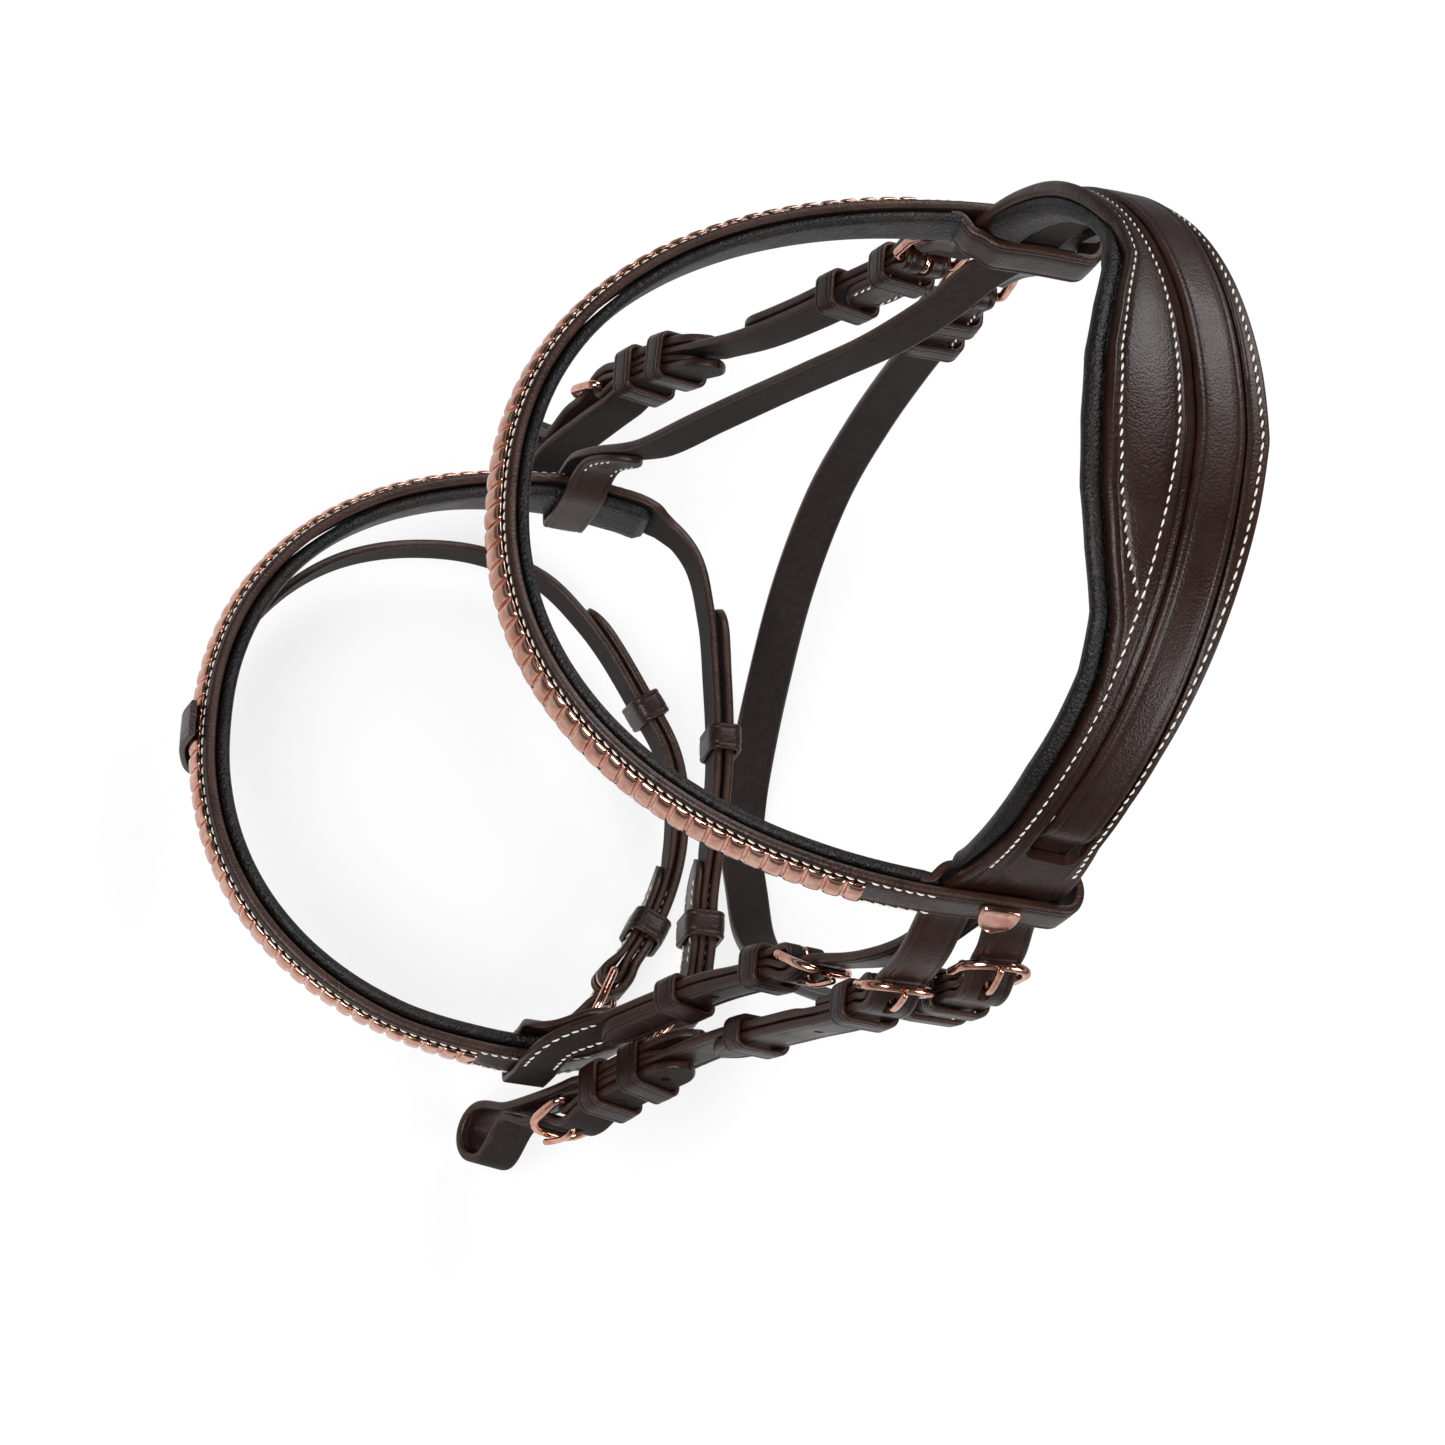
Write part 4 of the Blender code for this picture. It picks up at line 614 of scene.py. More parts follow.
def filled(lays, step):
    """The lays without any that repeats the one before, and with more wherever they are far
    apart, each a share of the way between its neighbours."""
    gaps = np.hypot(np.diff(lays[:, STATION]), np.diff(lays[:, HEIGHT]))
    lays = lays[np.concatenate([[True], gaps > LAYER_GAP * 0.6])]
    count = np.maximum(1, np.ceil(np.abs(np.diff(lays[:, STATION])) / step)).astype(int)
    first = np.repeat(np.arange(len(count)), count)
    begin = np.repeat(np.cumsum(count) - count, count)
    share = ((np.arange(count.sum()) - begin) / np.repeat(count, count))[:, None]
    rows = lays[first] * (1 - share) + lays[first + 1] * share
    return np.vstack([rows, lays[-1:]])


def settle(lays, own=2, rounds=2):
    """The lays with each height drawn to a mean of its own and its neighbours', ends held."""
    rows = lays.copy()
    for _ in range(rounds):
        height = rows[:, HEIGHT]
        rows[1:-1, HEIGHT] = (height[:-2] + height[1:-1] * own + height[2:]) / (own + 2)
    return rows


def quads(rows, columns, wrap_rows, wrap_columns):
    """Corner numbers of the four-sided faces of a grid of points, row by row."""
    i = np.arange(rows if wrap_rows else rows - 1)[:, None]
    j = np.arange(columns if wrap_columns else columns - 1)[None, :]
    k, m = (i + 1) % rows, (j + 1) % columns
    corners = [i * columns + j, i * columns + m, k * columns + m, k * columns + j]
    shape = (i.shape[0], j.shape[1])
    return np.stack([np.broadcast_to(c, shape) for c in corners], -1).reshape(-1, 4)


def volume_of(points, faces):
    """Six times the volume inside faces: the sum of the triple products of their fans."""
    a = points[faces[:, 0]]
    total = 0.0
    for k in range(1, faces.shape[1] - 1):
        total += np.einsum("ij,ij->i", a, np.cross(points[faces[:, k]],
                                                   points[faces[:, k + 1]])).sum()
    return total


def new_piece(name, points, faces, materials=()):
    """A smooth piece in the scene, made of points, faces and materials."""
    mesh = bpy.data.meshes.new(name)
    mesh.from_pydata(points.tolist(), [], faces)
    for material in materials:
        mesh.materials.append(material)
    mesh.polygons.foreach_set("use_smooth", np.ones(len(faces), bool))
    mesh.update()
    piece = bpy.data.objects.new(name, mesh)
    bpy.context.scene.collection.objects.link(piece)
    return piece


def mesh_piece(name, points, faces, caps, materials=(), uv=None, kinds=None, sharp=50):
    """A piece from points, an array of four-sided faces and a few many-sided ones that close it.
    The faces are turned outwards by the sign of the volume that they enclose."""
    middle = points.mean(axis=0)
    inside = volume_of(points - middle, faces)
    for cap in caps:
        inside += volume_of(points - middle, np.array([cap]))
    way = -1 if inside < 0 else 1
    every = [face[::way] for face in faces.tolist() + [list(cap) for cap in caps]]
    piece = new_piece(name, points, every, materials)
    mesh = piece.data
    if uv is not None:
        layer = mesh.uv_layers.new(name="strap")
        layer.data.foreach_set("uv", uv[np.concatenate(every)].ravel())
    if kinds is not None:
        full = np.concatenate([kinds, np.zeros(len(caps), int)]).astype(np.int32)
        mesh.polygons.foreach_set("material_index", full)
    mesh.set_sharp_from_angle(angle=math.radians(sharp))
    return piece


def grid_piece(name, points, materials=(), closed=False, **more):
    """A piece from rows of points round a section: faces between the rows, and a cap on each
    end unless the last row meets the first."""
    rows, columns = points.shape[:2]
    last = (rows - 1) * columns
    caps = () if closed else (range(columns), range(last, last + columns))
    return mesh_piece(name, points.reshape(-1, 3), quads(rows, columns, closed, True), caps,
                      materials, **more)


def like_shapes(name, points, size, faces, ends, material):
    """One piece of many like closed shapes of so many points each, turned outwards by the sign
    of the first one's volume."""
    if volume_of(points[:size] - points[:size].mean(axis=0), faces) < 0:
        faces, ends = faces[:, ::-1], ends[:, ::-1]
    begin = np.arange(len(points) // size)[:, None, None] * size
    every = [(part[None] + begin).reshape(-1, part.shape[1]).tolist() for part in (faces, ends)]
    return new_piece(name, points, every[0] + every[1], (material,))


def strap_profile(wide, thick, crease):
    """The outline of a strap's cross-section at each place, as shifts across and heights out.

    A rectangle whose corners are quarter circles, larger on the outer side, with a shallow
    round-bottomed crease pressed along the outer face near each edge. The depth of a crease is
    a cosine across its own width. Where a strap is small, corners and creases are shares of its
    half width and half thickness. The last array gives the shift as a share of the half width.
    """
    half, thin = wide[:, None] / 2, thick[:, None] / 2
    turn = np.radians(np.linspace(0, 90, 5))[None, :]
    low = np.minimum(np.minimum(thin * 0.55, half * 0.5), INNER_CORNER)
    high = np.minimum(np.minimum(thin * 0.92, half * 0.6), GRAIN_CORNER)
    inset = np.minimum(CREASE_INSET, half * 0.45)
    reach = np.minimum(CREASE_REACH, half * 0.16)
    groove = np.linspace(-1, 1, 5)[None, :]
    dip = crease * (1 + np.cos(math.pi * groove)) / 2 * np.minimum(half / CREASE_FADE, 1)
    bulge = np.minimum(GRAIN_BULGE, thin * 0.06) * np.array([[0.7, 1.0, 0.7]])
    flat = np.array([[-0.5, 0.0, 0.5]])
    middle = half * np.array([[0.35, 0.0, -0.35]])
    outline = (
        ((half - low) * flat * 1.2, -thin),
        (half - low + low * np.sin(turn), -thin + low - low * np.cos(turn)),
        (half - high + high * np.cos(turn), thin - high + high * np.sin(turn)),
        (half - high * 0.6 - inset * 0.7 - groove * reach, thin - dip),
        (middle, thin + bulge),
        (-half + high * 0.6 + inset * 0.7 - groove * reach, thin - dip),
        (-half + high - high * np.sin(turn), thin - high + high * np.cos(turn)),
        (-half + low - low * np.cos(turn), -thin + low - low * np.sin(turn)))
    across = np.hstack([a for a, _ in outline])
    out = np.hstack([np.broadcast_to(n, a.shape) for a, n in outline])
    return across, out, across / np.maximum(half, 1e-6)


def leather_piece(name, points, line, share, materials, closed=False, flesh=True):
    """A strap's piece from its rows of points. Its map is the length along its middle line and
    the share across. The first material is the grain side and edges, the second the flesh."""
    columns = share.shape[1]
    uv = np.stack([np.broadcast_to(running_length(line)[:, None], share.shape),
                   share / 2 + 0.5], -1).reshape(-1, 2)
    inner = np.zeros(columns, int)
    inner[:3] = inner[-1] = int(flesh)
    kinds = np.broadcast_to(inner, (len(line) - (not closed), columns)).ravel()
    return grid_piece(name, points, materials, closed, uv=uv, kinds=kinds)


def strap(name, route, lays, materials=(), crease=CREASE_DEEP):
    """A leather strap: its profile carried along its lays, square to the line of their middles."""
    lays = settle(filled(lays, STEP))
    centre = route.place(lays[:, STATION], np.zeros(len(lays)), lays[:, HEIGHT])
    ahead = np.vstack([centre[1:], centre[-1:]])
    behind = np.vstack([centre[:1], centre[:-1]])
    way = unit(ahead - behind)
    across = route.at(lays[:, STATION])[3]
    across = unit(across - way * dot(across, way))
    outward = np.cross(across, way)
    a, n, share = strap_profile(lays[:, WIDE], lays[:, THICK], crease)
    points = centre[:, None] + across[:, None] * a[..., None] + outward[:, None] * n[..., None]
    return leather_piece(name, points, centre, share, materials or leathers())


def rounded(section, rounds=3):
    """A closed outline with its corners cut at a quarter of each side, several times over."""
    for _ in range(rounds):
        after = np.roll(section, -1, axis=-2)
        pair = np.stack([section * 0.75 + after * 0.25, section * 0.25 + after * 0.75], axis=-2)
        section = pair.reshape(*section.shape[:-2], -1, 2)
    return section


def leather_loop(name, where, line, normal, wide, thick, crease, **more):
    """Leather bent square to a strap: its profile carried along a line of shifts and heights,
    its outer face along the line's normals and its width along the strap."""
    point, along, outward, across = where
    rows = len(line)
    a, n, share = strap_profile(np.full(rows, wide), np.full(rows, thick), crease)
    flat = line[:, None] + normal[:, None] * n[..., None]
    points = point + across * flat[..., :1] + outward * flat[..., 1:] + along * a[..., None]
    return leather_piece(name, points, line, share, leathers(), **more)


def section_sweep(name, route, stations, section, materials=(), sharp=50):
    """A piece whose outline, of shifts and heights, is carried along a route's stations."""
    rows, columns = section.shape[:2]
    points = route.place(np.repeat(stations, columns), section[..., 0].ravel(),
                         section[..., 1].ravel()).reshape(rows, columns, 3)
    reach = np.abs(section[..., 0]).max(axis=1, keepdims=True)
    uv = np.stack([np.broadcast_to(stations[:, None], (rows, columns)),
                   section[..., 0] / reach / 2 + 0.5], -1).reshape(-1, 2)
    return grid_piece(name, points, materials, uv=uv, sharp=sharp)


def stations_over(first, last, step):
    """Evenly spaced stations from one to another, no further apart than a step."""
    return np.linspace(first, last, max(1, math.ceil((last - first) / step)) + 1)


def smooth_line(points, steps):
    """Points on a smooth line through given ones, whose slopes are their neighbours' mean."""
    slope = np.gradient(points, axis=0)
    return cubic_spans(points, slope[:-1], slope[1:], steps)


def wire(name, centre, guide, radius, material, closed=False, sides=WIRE_SIDES):
    """Round wire: a circle of the given radius at each centre, square to the line."""
    if closed:
        way = unit(np.roll(centre, -1, axis=0) - np.roll(centre, 1, axis=0))
    else:
        way = unit(np.gradient(centre, axis=0))
    first = unit(guide - way * dot(guide, way))
    second = np.cross(way, first)
    turn = (np.arange(sides) + 0.5) * math.tau / sides
    ring = first[:, None] * np.cos(turn)[None, :, None] \
        + second[:, None] * np.sin(turn)[None, :, None]
    points = centre[:, None] + ring * np.broadcast_to(radius, len(centre))[:, None, None]
    return grid_piece(name, points, (material,), closed, sharp=60)


def join(name, pieces):
    """One piece made of several, with the name of the first changed."""
    bpy.ops.object.select_all(action="DESELECT")
    for piece in pieces:
        piece.select_set(True)
    bpy.context.view_layer.objects.active = pieces[0]
    if len(pieces) > 1:
        bpy.ops.object.join()
    pieces[0].name = name
    pieces[0].data.name = name
    return pieces[0]


def cut(piece, blocks, operation="DIFFERENCE"):
    """Cuts closed shapes out of a piece, or adds them, and applies the result to its mesh."""
    for tool in blocks:
        change = piece.modifiers.new("cut", "BOOLEAN")
        change.object = tool
        change.operation = operation
        change.solver = "EXACT"
    graph = bpy.context.evaluated_depsgraph_get()
    mesh = bpy.data.meshes.new_from_object(piece.evaluated_get(graph), depsgraph=graph)
    old = piece.data
    piece.modifiers.clear()
    piece.data = mesh
    mesh.name = old.name
    bpy.data.meshes.remove(old)
    for tool in blocks:
        bpy.data.objects.remove(tool, do_unlink=True)
    mesh.polygons.foreach_set("use_smooth", np.ones(len(mesh.polygons), bool))
    mesh.set_sharp_from_angle(angle=math.radians(50))
    return piece


def rounded_end(radius, count):
    """Radii along a wire, falling as a quarter circle over its last four points."""
    share = np.ones(count)
    share[-4:] = np.sqrt(1 - (1 - np.array((0.90, 0.65, 0.35, 0.06))) ** 2)
    return radius * share


def ring_block(route, stations, shifts, low, high):
    """A closed cutter: an outline of stations and shifts, carried from one height to another."""
    points = [route.place(stations, shifts, np.full(len(stations), n)) for n in (low, high)]
    return grid_piece("cutter", np.stack(points))


def long_hole(route, first, last, half, low, high, sides=10):
    """A cutter for a slot with round ends between two stations."""
    turn = np.linspace(-math.pi / 2, math.pi / 2, sides // 2 + 1)
    low_end, high_end = min(first, last) + half, max(first, last) - half
    stations = np.concatenate([high_end + half * np.cos(turn), low_end - half * np.cos(turn)])
    shifts = np.concatenate([half * np.sin(turn), -half * np.sin(turn)])
    return ring_block(route, stations, shifts, low, high)


def tongue_slot(route, heel, nose):
    """The slot that a chape has for the buckle's tongue."""
    ring = FOLD_RADIUS + CHAPE_THICK
    reach = nose * (ring + CUT_THROUGH)
    return long_hole(route, heel - reach, heel + reach, TONGUE_RADIUS + SLOT_CLEAR,
                     BAR_HIGH - ring - CUT_THROUGH, BAR_HIGH + ring + CUT_THROUGH)


def tongue_holes(route, heel, nose, tail):
    """The hole that the tongue stands in, drawn long by wear, and the spare punched holes."""
    half = TONGUE_RADIUS + SLOT_CLEAR * 1.3
    holes = [long_hole(route, heel + nose * (FRAME_LONG * 0.05 - half * 0.4),
                       heel + nose * (FRAME_LONG * 0.46 + half * 0.4), half, BAR_HIGH,
                       BAR_HIGH + OVER_BAR * 2)]
    low, high = ON_CHAPE - STRAP_THICK / 2 - HOLE_UNDERCUT, ON_CHAPE + STRAP_THICK
    turn = np.arange(HOLE_SIDES) * math.tau / HOLE_SIDES
    for i in range(HOLES_SPARE):
        place = heel - nose * HOLE_PITCH * (i + 1)
        if abs(place - heel) < tail - TIP_LONG:
            holes.append(ring_block(route, place + HOLE_RADIUS * np.cos(turn),
                                    HOLE_RADIUS * np.sin(turn), low, high))
    return holes


def new_material(name):
    """A material with nodes, its node tree, its shader and the place on the object."""
    made = bpy.data.materials.new(name)
    made.use_nodes = True
    tree = made.node_tree
    where = node(tree, "ShaderNodeTexCoord").outputs["Object"]
    return made, tree, tree.nodes["Principled BSDF"], where


def wired(tree, made, inputs):
    """A node or shader with each named input set to a value or linked to a socket."""
    for key, value in inputs.items():
        if isinstance(value, bpy.types.NodeSocket):
            tree.links.new(value, made.inputs[key])
        else:
            made.inputs[key].default_value = value
    return made


def node(tree, kind, inputs=None, **settings):
    """A new node with its settings and its named inputs."""
    made = tree.nodes.new(kind)
    for key, value in settings.items():
        setattr(made, key, value)
    return wired(tree, made, inputs or {})


def noise(tree, where, scale, detail=3.0, roughness=0.55):
    """Even noise from 0 to 1, so many cells to a metre."""
    return node(tree, "ShaderNodeTexNoise", {"Vector": where, "Scale": scale, "Detail": detail,
                                             "Roughness": roughness}).outputs["Fac"]


def spread(tree, value, low, high, to_low=0.0, to_high=1.0):
    """A value mapped from one range to another and held inside it."""
    return node(tree, "ShaderNodeMapRange", {"Value": value, "From Min": low, "From Max": high,
                                             "To Min": to_low, "To Max": to_high}).outputs[0]


def blended(tree, share, first, second):
    """Two colours mixed by a share."""
    first, second = ((*c, 1.0) if isinstance(c, tuple) else c for c in (first, second))
    return wired(tree, node(tree, "ShaderNodeMix", {"Factor": share}, data_type="RGBA"),
                 {6: first, 7: second}).outputs[2]


def worked(tree, operation, first, second=0.0):
    """The result of a sum or comparison of two values."""
    return node(tree, "ShaderNodeMath", {0: first, 1: second}, operation=operation).outputs[0]


def bumped(tree, heights):
    """Bumps laid one over another, each given as a height, its depth and its strength."""
    normal = None
    for height, depth, strength in heights:
        inputs = {"Height": height, "Distance": depth, "Strength": strength}
        if normal is not None:
            inputs["Normal"] = normal
        normal = node(tree, "ShaderNodeBump", inputs).outputs["Normal"]
    return normal


def grain_height(tree, where, size, sharpness):
    """Leather grain: rounded cells with fine furrows between them, broken up by noise."""
    cells = node(tree, "ShaderNodeTexVoronoi", {"Vector": where, "Scale": 1 / size,
                                                "Smoothness": sharpness, "Randomness": 1.0},
                 feature="SMOOTH_F1").outputs["Distance"]
    return worked(tree, "ADD", worked(tree, "MULTIPLY", cells, -1.0),
                  worked(tree, "MULTIPLY", noise(tree, where, 2.2 / size, 3.0), 0.5))


def tinted(colour, factors, lift=(0.0, 0.0, 0.0)):
    """A colour with each of its parts multiplied by a factor and lifted a little."""
    return tuple(c * f + up for c, f, up in zip(colour, factors, lift))


def drawn_noise(tree, side, long, wide):
    """Noise drawn out across a strap, from its map."""
    drawn = node(tree, "ShaderNodeMapping", {"Vector": side, "Scale": (long, wide, 1.0)})
    return noise(tree, drawn.outputs[0], 1.0, 2.0)


def havana_leather(looks):
    """Waxed dark brown leather: colour that drifts and mottles, fine grain, small draws across
    the strap, a smoother sheen in places and paler, drier edges: the paler edges are partly
    rubbed wear and partly a painted highlight along the strap's rounded edges."""
    made, tree, shader, where = new_material("havana leather")
    colour = tuple(looks.havana_colour)
    broad = spread(tree, noise(tree, where, 26.0), 0.32, 0.68)
    mottle = spread(tree, noise(tree, where, 310.0, 5.0, 0.65), 0.38, 0.70)
    tone = blended(tree, broad, tinted(colour, (0.55, 0.55, 0.55)), colour)
    tone = blended(tree, worked(tree, "MULTIPLY", mottle, 0.42), tone,
                   tinted(colour, (1.75, 1.45, 1.25)))
    side = node(tree, "ShaderNodeUVMap", uv_map="strap").outputs["UV"]
    parts = node(tree, "ShaderNodeSeparateXYZ", {0: side})
    away = worked(tree, "ABSOLUTE", worked(tree, "SUBTRACT", parts.outputs["Y"], 0.5))
    # Paler colour at the strap's edges, broken by noise: partly rubbed wear, partly a painted
    # highlight on the rounded edges
    edge = spread(tree, away, 0.455, 0.50)
    patchy = spread(tree, noise(tree, where, 95.0, 4.0), 0.30, 0.62)
    wear = worked(tree, "MULTIPLY", worked(tree, "MULTIPLY", edge, patchy), looks.edge_wear_and_highlight)
    sheen = spread(tree, noise(tree, where, 62.0, 4.0), 0.3, 0.7, looks.havana_roughness - 0.07,
                   looks.havana_roughness + 0.09)
    wired(tree, shader, {
        "Base Color": blended(tree, wear, tone,
                              tinted(colour, (3.4, 3.2, 2.8), (0.012, 0.008, 0.006))),
        "Roughness": worked(tree, "ADD", sheen, worked(tree, "MULTIPLY", wear, 0.12)),
        "Normal": bumped(tree, (
            (noise(tree, where, 85.0), 0.00045, 0.30),
            (drawn_noise(tree, side, 260.0, 3.0), 0.00010, 0.22),
            (grain_height(tree, where, 0.00080, 0.5), 0.00022, looks.grain_strength),
            (noise(tree, where, 4200.0, 2.0), 0.00004, 0.25))),
        "Coat Weight": 0.07, "Coat Roughness": 0.16, "Specular IOR Level": 0.30})
    return made


def flesh_leather(looks):
    """The unpolished inner side of the straps: duller, greyer brown, with a fibrous nap."""
    made, tree, shader, where = new_material("flesh side leather")
    colour = tinted(looks.havana_colour, (0.35, 0.35, 0.35), (0.0055, 0.0055, 0.0055))
    pale = tinted(colour, (1.6, 1.6, 1.6), (0.004, 0.004, 0.004))
    fibres = spread(tree, noise(tree, where, 420.0, 6.0, 0.7), 0.3, 0.7)
    wired(tree, shader, {
        "Base Color": blended(tree, fibres, colour, pale),
        "Normal": bumped(tree, ((noise(tree, where, 120.0), 0.00035, 0.3),
                                (noise(tree, where, 2600.0, 5.0, 0.7), 0.00010, 0.55))),
        "Roughness": 0.62, "Specular IOR Level": 0.12})
    return made


def black_leather(looks):
    """Soft black padding leather: a pebbled grain that glints, over slow swells and puckers."""
    made, tree, shader, where = new_material("black soft leather")
    colour = tuple(looks.padding_colour)
    browned = tinted(colour, (2.6, 2.0, 1.8), (0.004, 0.002, 0.002))
    side = node(tree, "ShaderNodeUVMap", uv_map="strap").outputs["UV"]
    wired(tree, shader, {
        "Base Color": blended(tree, spread(tree, noise(tree, where, 40.0), 0.4, 0.75), colour,
                              browned),
        "Roughness": spread(tree, noise(tree, where, 130.0), 0.3, 0.7, 0.36, 0.50),
        "Normal": bumped(tree, (
            (drawn_noise(tree, side, 330.0, 2.2), 0.00040, 0.30),
            (noise(tree, where, 150.0), 0.00050, 0.35),
            (grain_height(tree, where, 0.00110, 0.35), 0.00040, looks.grain_strength * 1.7),
            (noise(tree, where, 3200.0, 2.0), 0.00006, 0.30))),
        "Coat Weight": 0.05, "Coat Roughness": 0.22, "Specular IOR Level": 0.27})
    return made


def rose_gold(looks):
    """Polished rose gold: a little copper bloom, faint hairlines and fingered duller patches."""
    made, tree, shader, where = new_material("rose gold metal")
    colour = tuple(looks.metal_colour)
    bloom = spread(tree, noise(tree, where, 210.0, 4.0), 0.38, 0.66)
    wired(tree, shader, {
        "Base Color": blended(tree, bloom, colour, tinted(colour, (0.74, 0.58, 0.52))),
        "Roughness": spread(tree, noise(tree, where, 240.0, 5.0, 0.6), 0.3, 0.75,
                            looks.metal_roughness - 0.05, looks.metal_roughness + 0.10),
        "Normal": bumped(tree, ((noise(tree, where, 260.0, 2.0), 0.00045, 0.45),
                                (noise(tree, where, 2400.0, 4.0, 0.6), 0.00002, 0.12))),
        "Metallic": 1.0})
    return made


def white_thread(looks):
    """Waxed white thread, twisted: fine slanting ridges and slightly soiled hollows."""
    made, tree, shader, where = new_material("white thread")
    colour = tuple(looks.thread_colour)
    soil = spread(tree, noise(tree, where, 700.0), 0.35, 0.75)
    twist = node(tree, "ShaderNodeTexWave", {"Vector": where, "Scale": 1300.0, "Distortion": 1.5},
                 bands_direction="DIAGONAL").outputs["Fac"]
    wired(tree, shader, {
        "Base Color": blended(tree, soil, colour, tinted(colour, (0.72, 0.66, 0.60))),
        "Normal": bumped(tree, ((twist, 0.00008, 0.5),)), "Roughness": 0.62})
    return made


METAL = "rose gold metal"


def finish(name):
    """A finish by name, made from the chosen looks the first time that it is asked for."""
    found = bpy.data.materials.get(name)
    if found:
        return found
    makers = {"havana leather": havana_leather, "flesh side leather": flesh_leather,
              "black soft leather": black_leather, "rose gold metal": rose_gold,
              "white thread": white_thread}
    return makers[name](bpy.context.scene.bridle_looks)


def leathers():
    """The grain and the flesh side's finishes."""
    return finish("havana leather"), finish("flesh side leather")


def place(piece, slot="havana_leather", body="bridle"):
    """Puts a finished piece on its body and in the place of the node of its name. The slot is not
    used.
    """
    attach(piece, body)
    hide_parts(piece.name.removeprefix("finished_"))


def stitch_rows(name, rows, body="bridle"):
    """Rows of stitches as one piece of thread.

    Each row is a route, stations of the stitches, shifts, heights of the leather's face and a
    side, 1 for the outer face. A stitch is a round bead drawn out between two needle holes: its
    radius is the sine of the way along it to a small power, its middle stands proud by a sine,
    and it slants a little from the row.
    """
    looks = bpy.context.scene.bridle_looks
    long, thick = looks.stitch_long, looks.stitch_thick
    t = np.array(STITCH_SHARES)
    turn = np.arange(STITCH_SIDES) * math.tau / STITCH_SIDES
    swell = np.sin(math.pi * t) ** STITCH_POWER * thick / 2
    ahead = (t - 0.5)[None, :] * long
    points = []
    for route, stations, shift, height, side in rows:
        shift = np.broadcast_to(shift, stations.shape)
        height = np.broadcast_to(height, stations.shape)
        point, _, outward, across = route.at(stations[:, None] + ahead)
        rise = side * (np.sin(math.pi * t) * STITCH_RISE + STITCH_LIFT) * thick
        centre = point + across * (shift[:, None] + ahead * STITCH_SLANT)[..., None] \
            + outward * (height[:, None] + rise[None, :])[..., None]
        ring = across[:, :, None] * (np.cos(turn)[:, None] * swell[:, None, None]) \
            + outward[:, :, None] * (np.sin(turn)[:, None] * swell[:, None, None] * STITCH_FLAT)
        points.append((centre[:, :, None] + ring).reshape(-1, 3))
    size = len(t) * STITCH_SIDES
    ends = np.array((range(STITCH_SIDES - 1, -1, -1), range(size - STITCH_SIDES, size)))
    piece = like_shapes(name, np.vstack(points), size, quads(len(t), STITCH_SIDES, False, True),
                        ends, finish("white thread"))
    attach(piece, body)
    return piece


def stitch_stations(first, last):
    """Stations of the stitches between two ends, half a pitch in from the lower one."""
    pitch = bpy.context.scene.bridle_looks.stitch_pitch
    return np.arange(min(first, last) + pitch / 2, max(first, last), pitch)


def bump_share(value, middle, reach):
    """A smooth hump: the square of a cosine, 1 in the middle and 0 beyond its reach."""
    share = np.clip((value - middle) / reach, -1, 1)
    return np.cos(share * math.pi / 2) ** 2


def near_share(angle):
    """1 on the near side of the crown, falling to 0 just beyond its top."""
    return np.interp(angle, NEAR_FADE, (1.0, 0.0))


def crown_shapes(angle):
    """Half widths of the leather and of the padding, each to the front and to the rear, the
    channel's middle and the rise."""
    rise = np.minimum(1.0, np.sin(angle) * 3)
    front = CROWN_HALF_WIDE * share_at(FRONT_SHARES, angle)
    rear = CROWN_HALF_WIDE * share_at(REAR_SHARES, angle)
    roll = FRONT_ROLL * (0.60 + 0.40 * near_share(angle))
    inner_front, inner_rear = (HEADPIECE_END * (1 - rise) + (full - less) * rise
                               for full, less in ((front, roll), (rear, REAR_ROLL)))
    centre = CHANNEL_SHIFT * share_at(CHANNEL_SHARES, angle)
    return inner_front, inner_rear, front, rear, centre, rise


def crown_rows(angle):
    """Shifts of the headpiece's three stitch rows: the first two meet low on the near side."""
    front, rear, _, _, centre, _ = crown_shapes(angle)
    room = centre - SLOT_HALF + front
    margin = np.interp(angle, MARGIN_FADE, ROW_MARGINS)
    second = centre - SLOT_HALF - margin
    closing = np.clip((ROWS_MEET - room) / 0.0067, 0, 1) * 0.0026
    apart = room - margin * 2 - np.where(angle < MARGIN_FADE[0], closing, 0.0)
    return second - np.maximum(apart, 0.0), second, rear - REAR_ROW_INSET


def crown_heights(a, angle, cut_here):
    """The height of the headpiece's outer face at shifts: a flat sheet with a rolled front bead,
    a padded panel swelling between the first two stitch rows as a sine, each row in a shallow
    groove, a narrow bead at the channel's edge and the channel itself."""
    front, _, _, _, centre, rise = (v[:, None] for v in crown_shapes(angle))
    first, second, third = (v[:, None] for v in crown_rows(angle))
    left, right = centre - SLOT_HALF, centre + SLOT_HALF
    high = np.full(a.shape, HEADPIECE_THICK)
    high += BEAD_HIGH * rise * bump_share(a, -front + 0.0017, 0.0018)
    high -= 0.0003 * rise * bump_share(a, -front + 0.0037, 0.0005)
    span = np.maximum(second - first, 1e-6)
    share = np.clip((a - first) / span, 0, 1)
    puff = np.minimum(span / 0.012, 1.0) * rise * PANEL_SWELL
    high += puff * np.sin(math.pi * share) ** 0.7
    for row, depth in ((first, ROW_SUNK * np.clip(span / 0.002, 0, 1)), (second, ROW_SUNK),
                       (third, ROW_SUNK)):
        high -= depth * bump_share(a, row, 0.0007)
    high -= EDGE_HIGH * rise * bump_share(a, left - 0.0022, 0.0005)
    high += EDGE_HIGH * rise * bump_share(a, left - 0.0009, 0.0008)
    high += 0.0004 * rise * bump_share(a, right + 0.0009, 0.0008)
    inside = np.abs(a - centre) < SLOT_HALF - 0.00002
    return np.where(inside & cut_here[:, None], CHANNEL_FLOOR, high)


def arch_angle_at(route, stations):
    """The angle round the arch at stations of a route over it, read between known places."""
    angles = np.linspace(0, math.pi, ARCH_PARTS + 1)
    marks = np.array([route.nearest(arch_point(angle)) for angle in angles])
    return np.interp(stations, marks, angles)


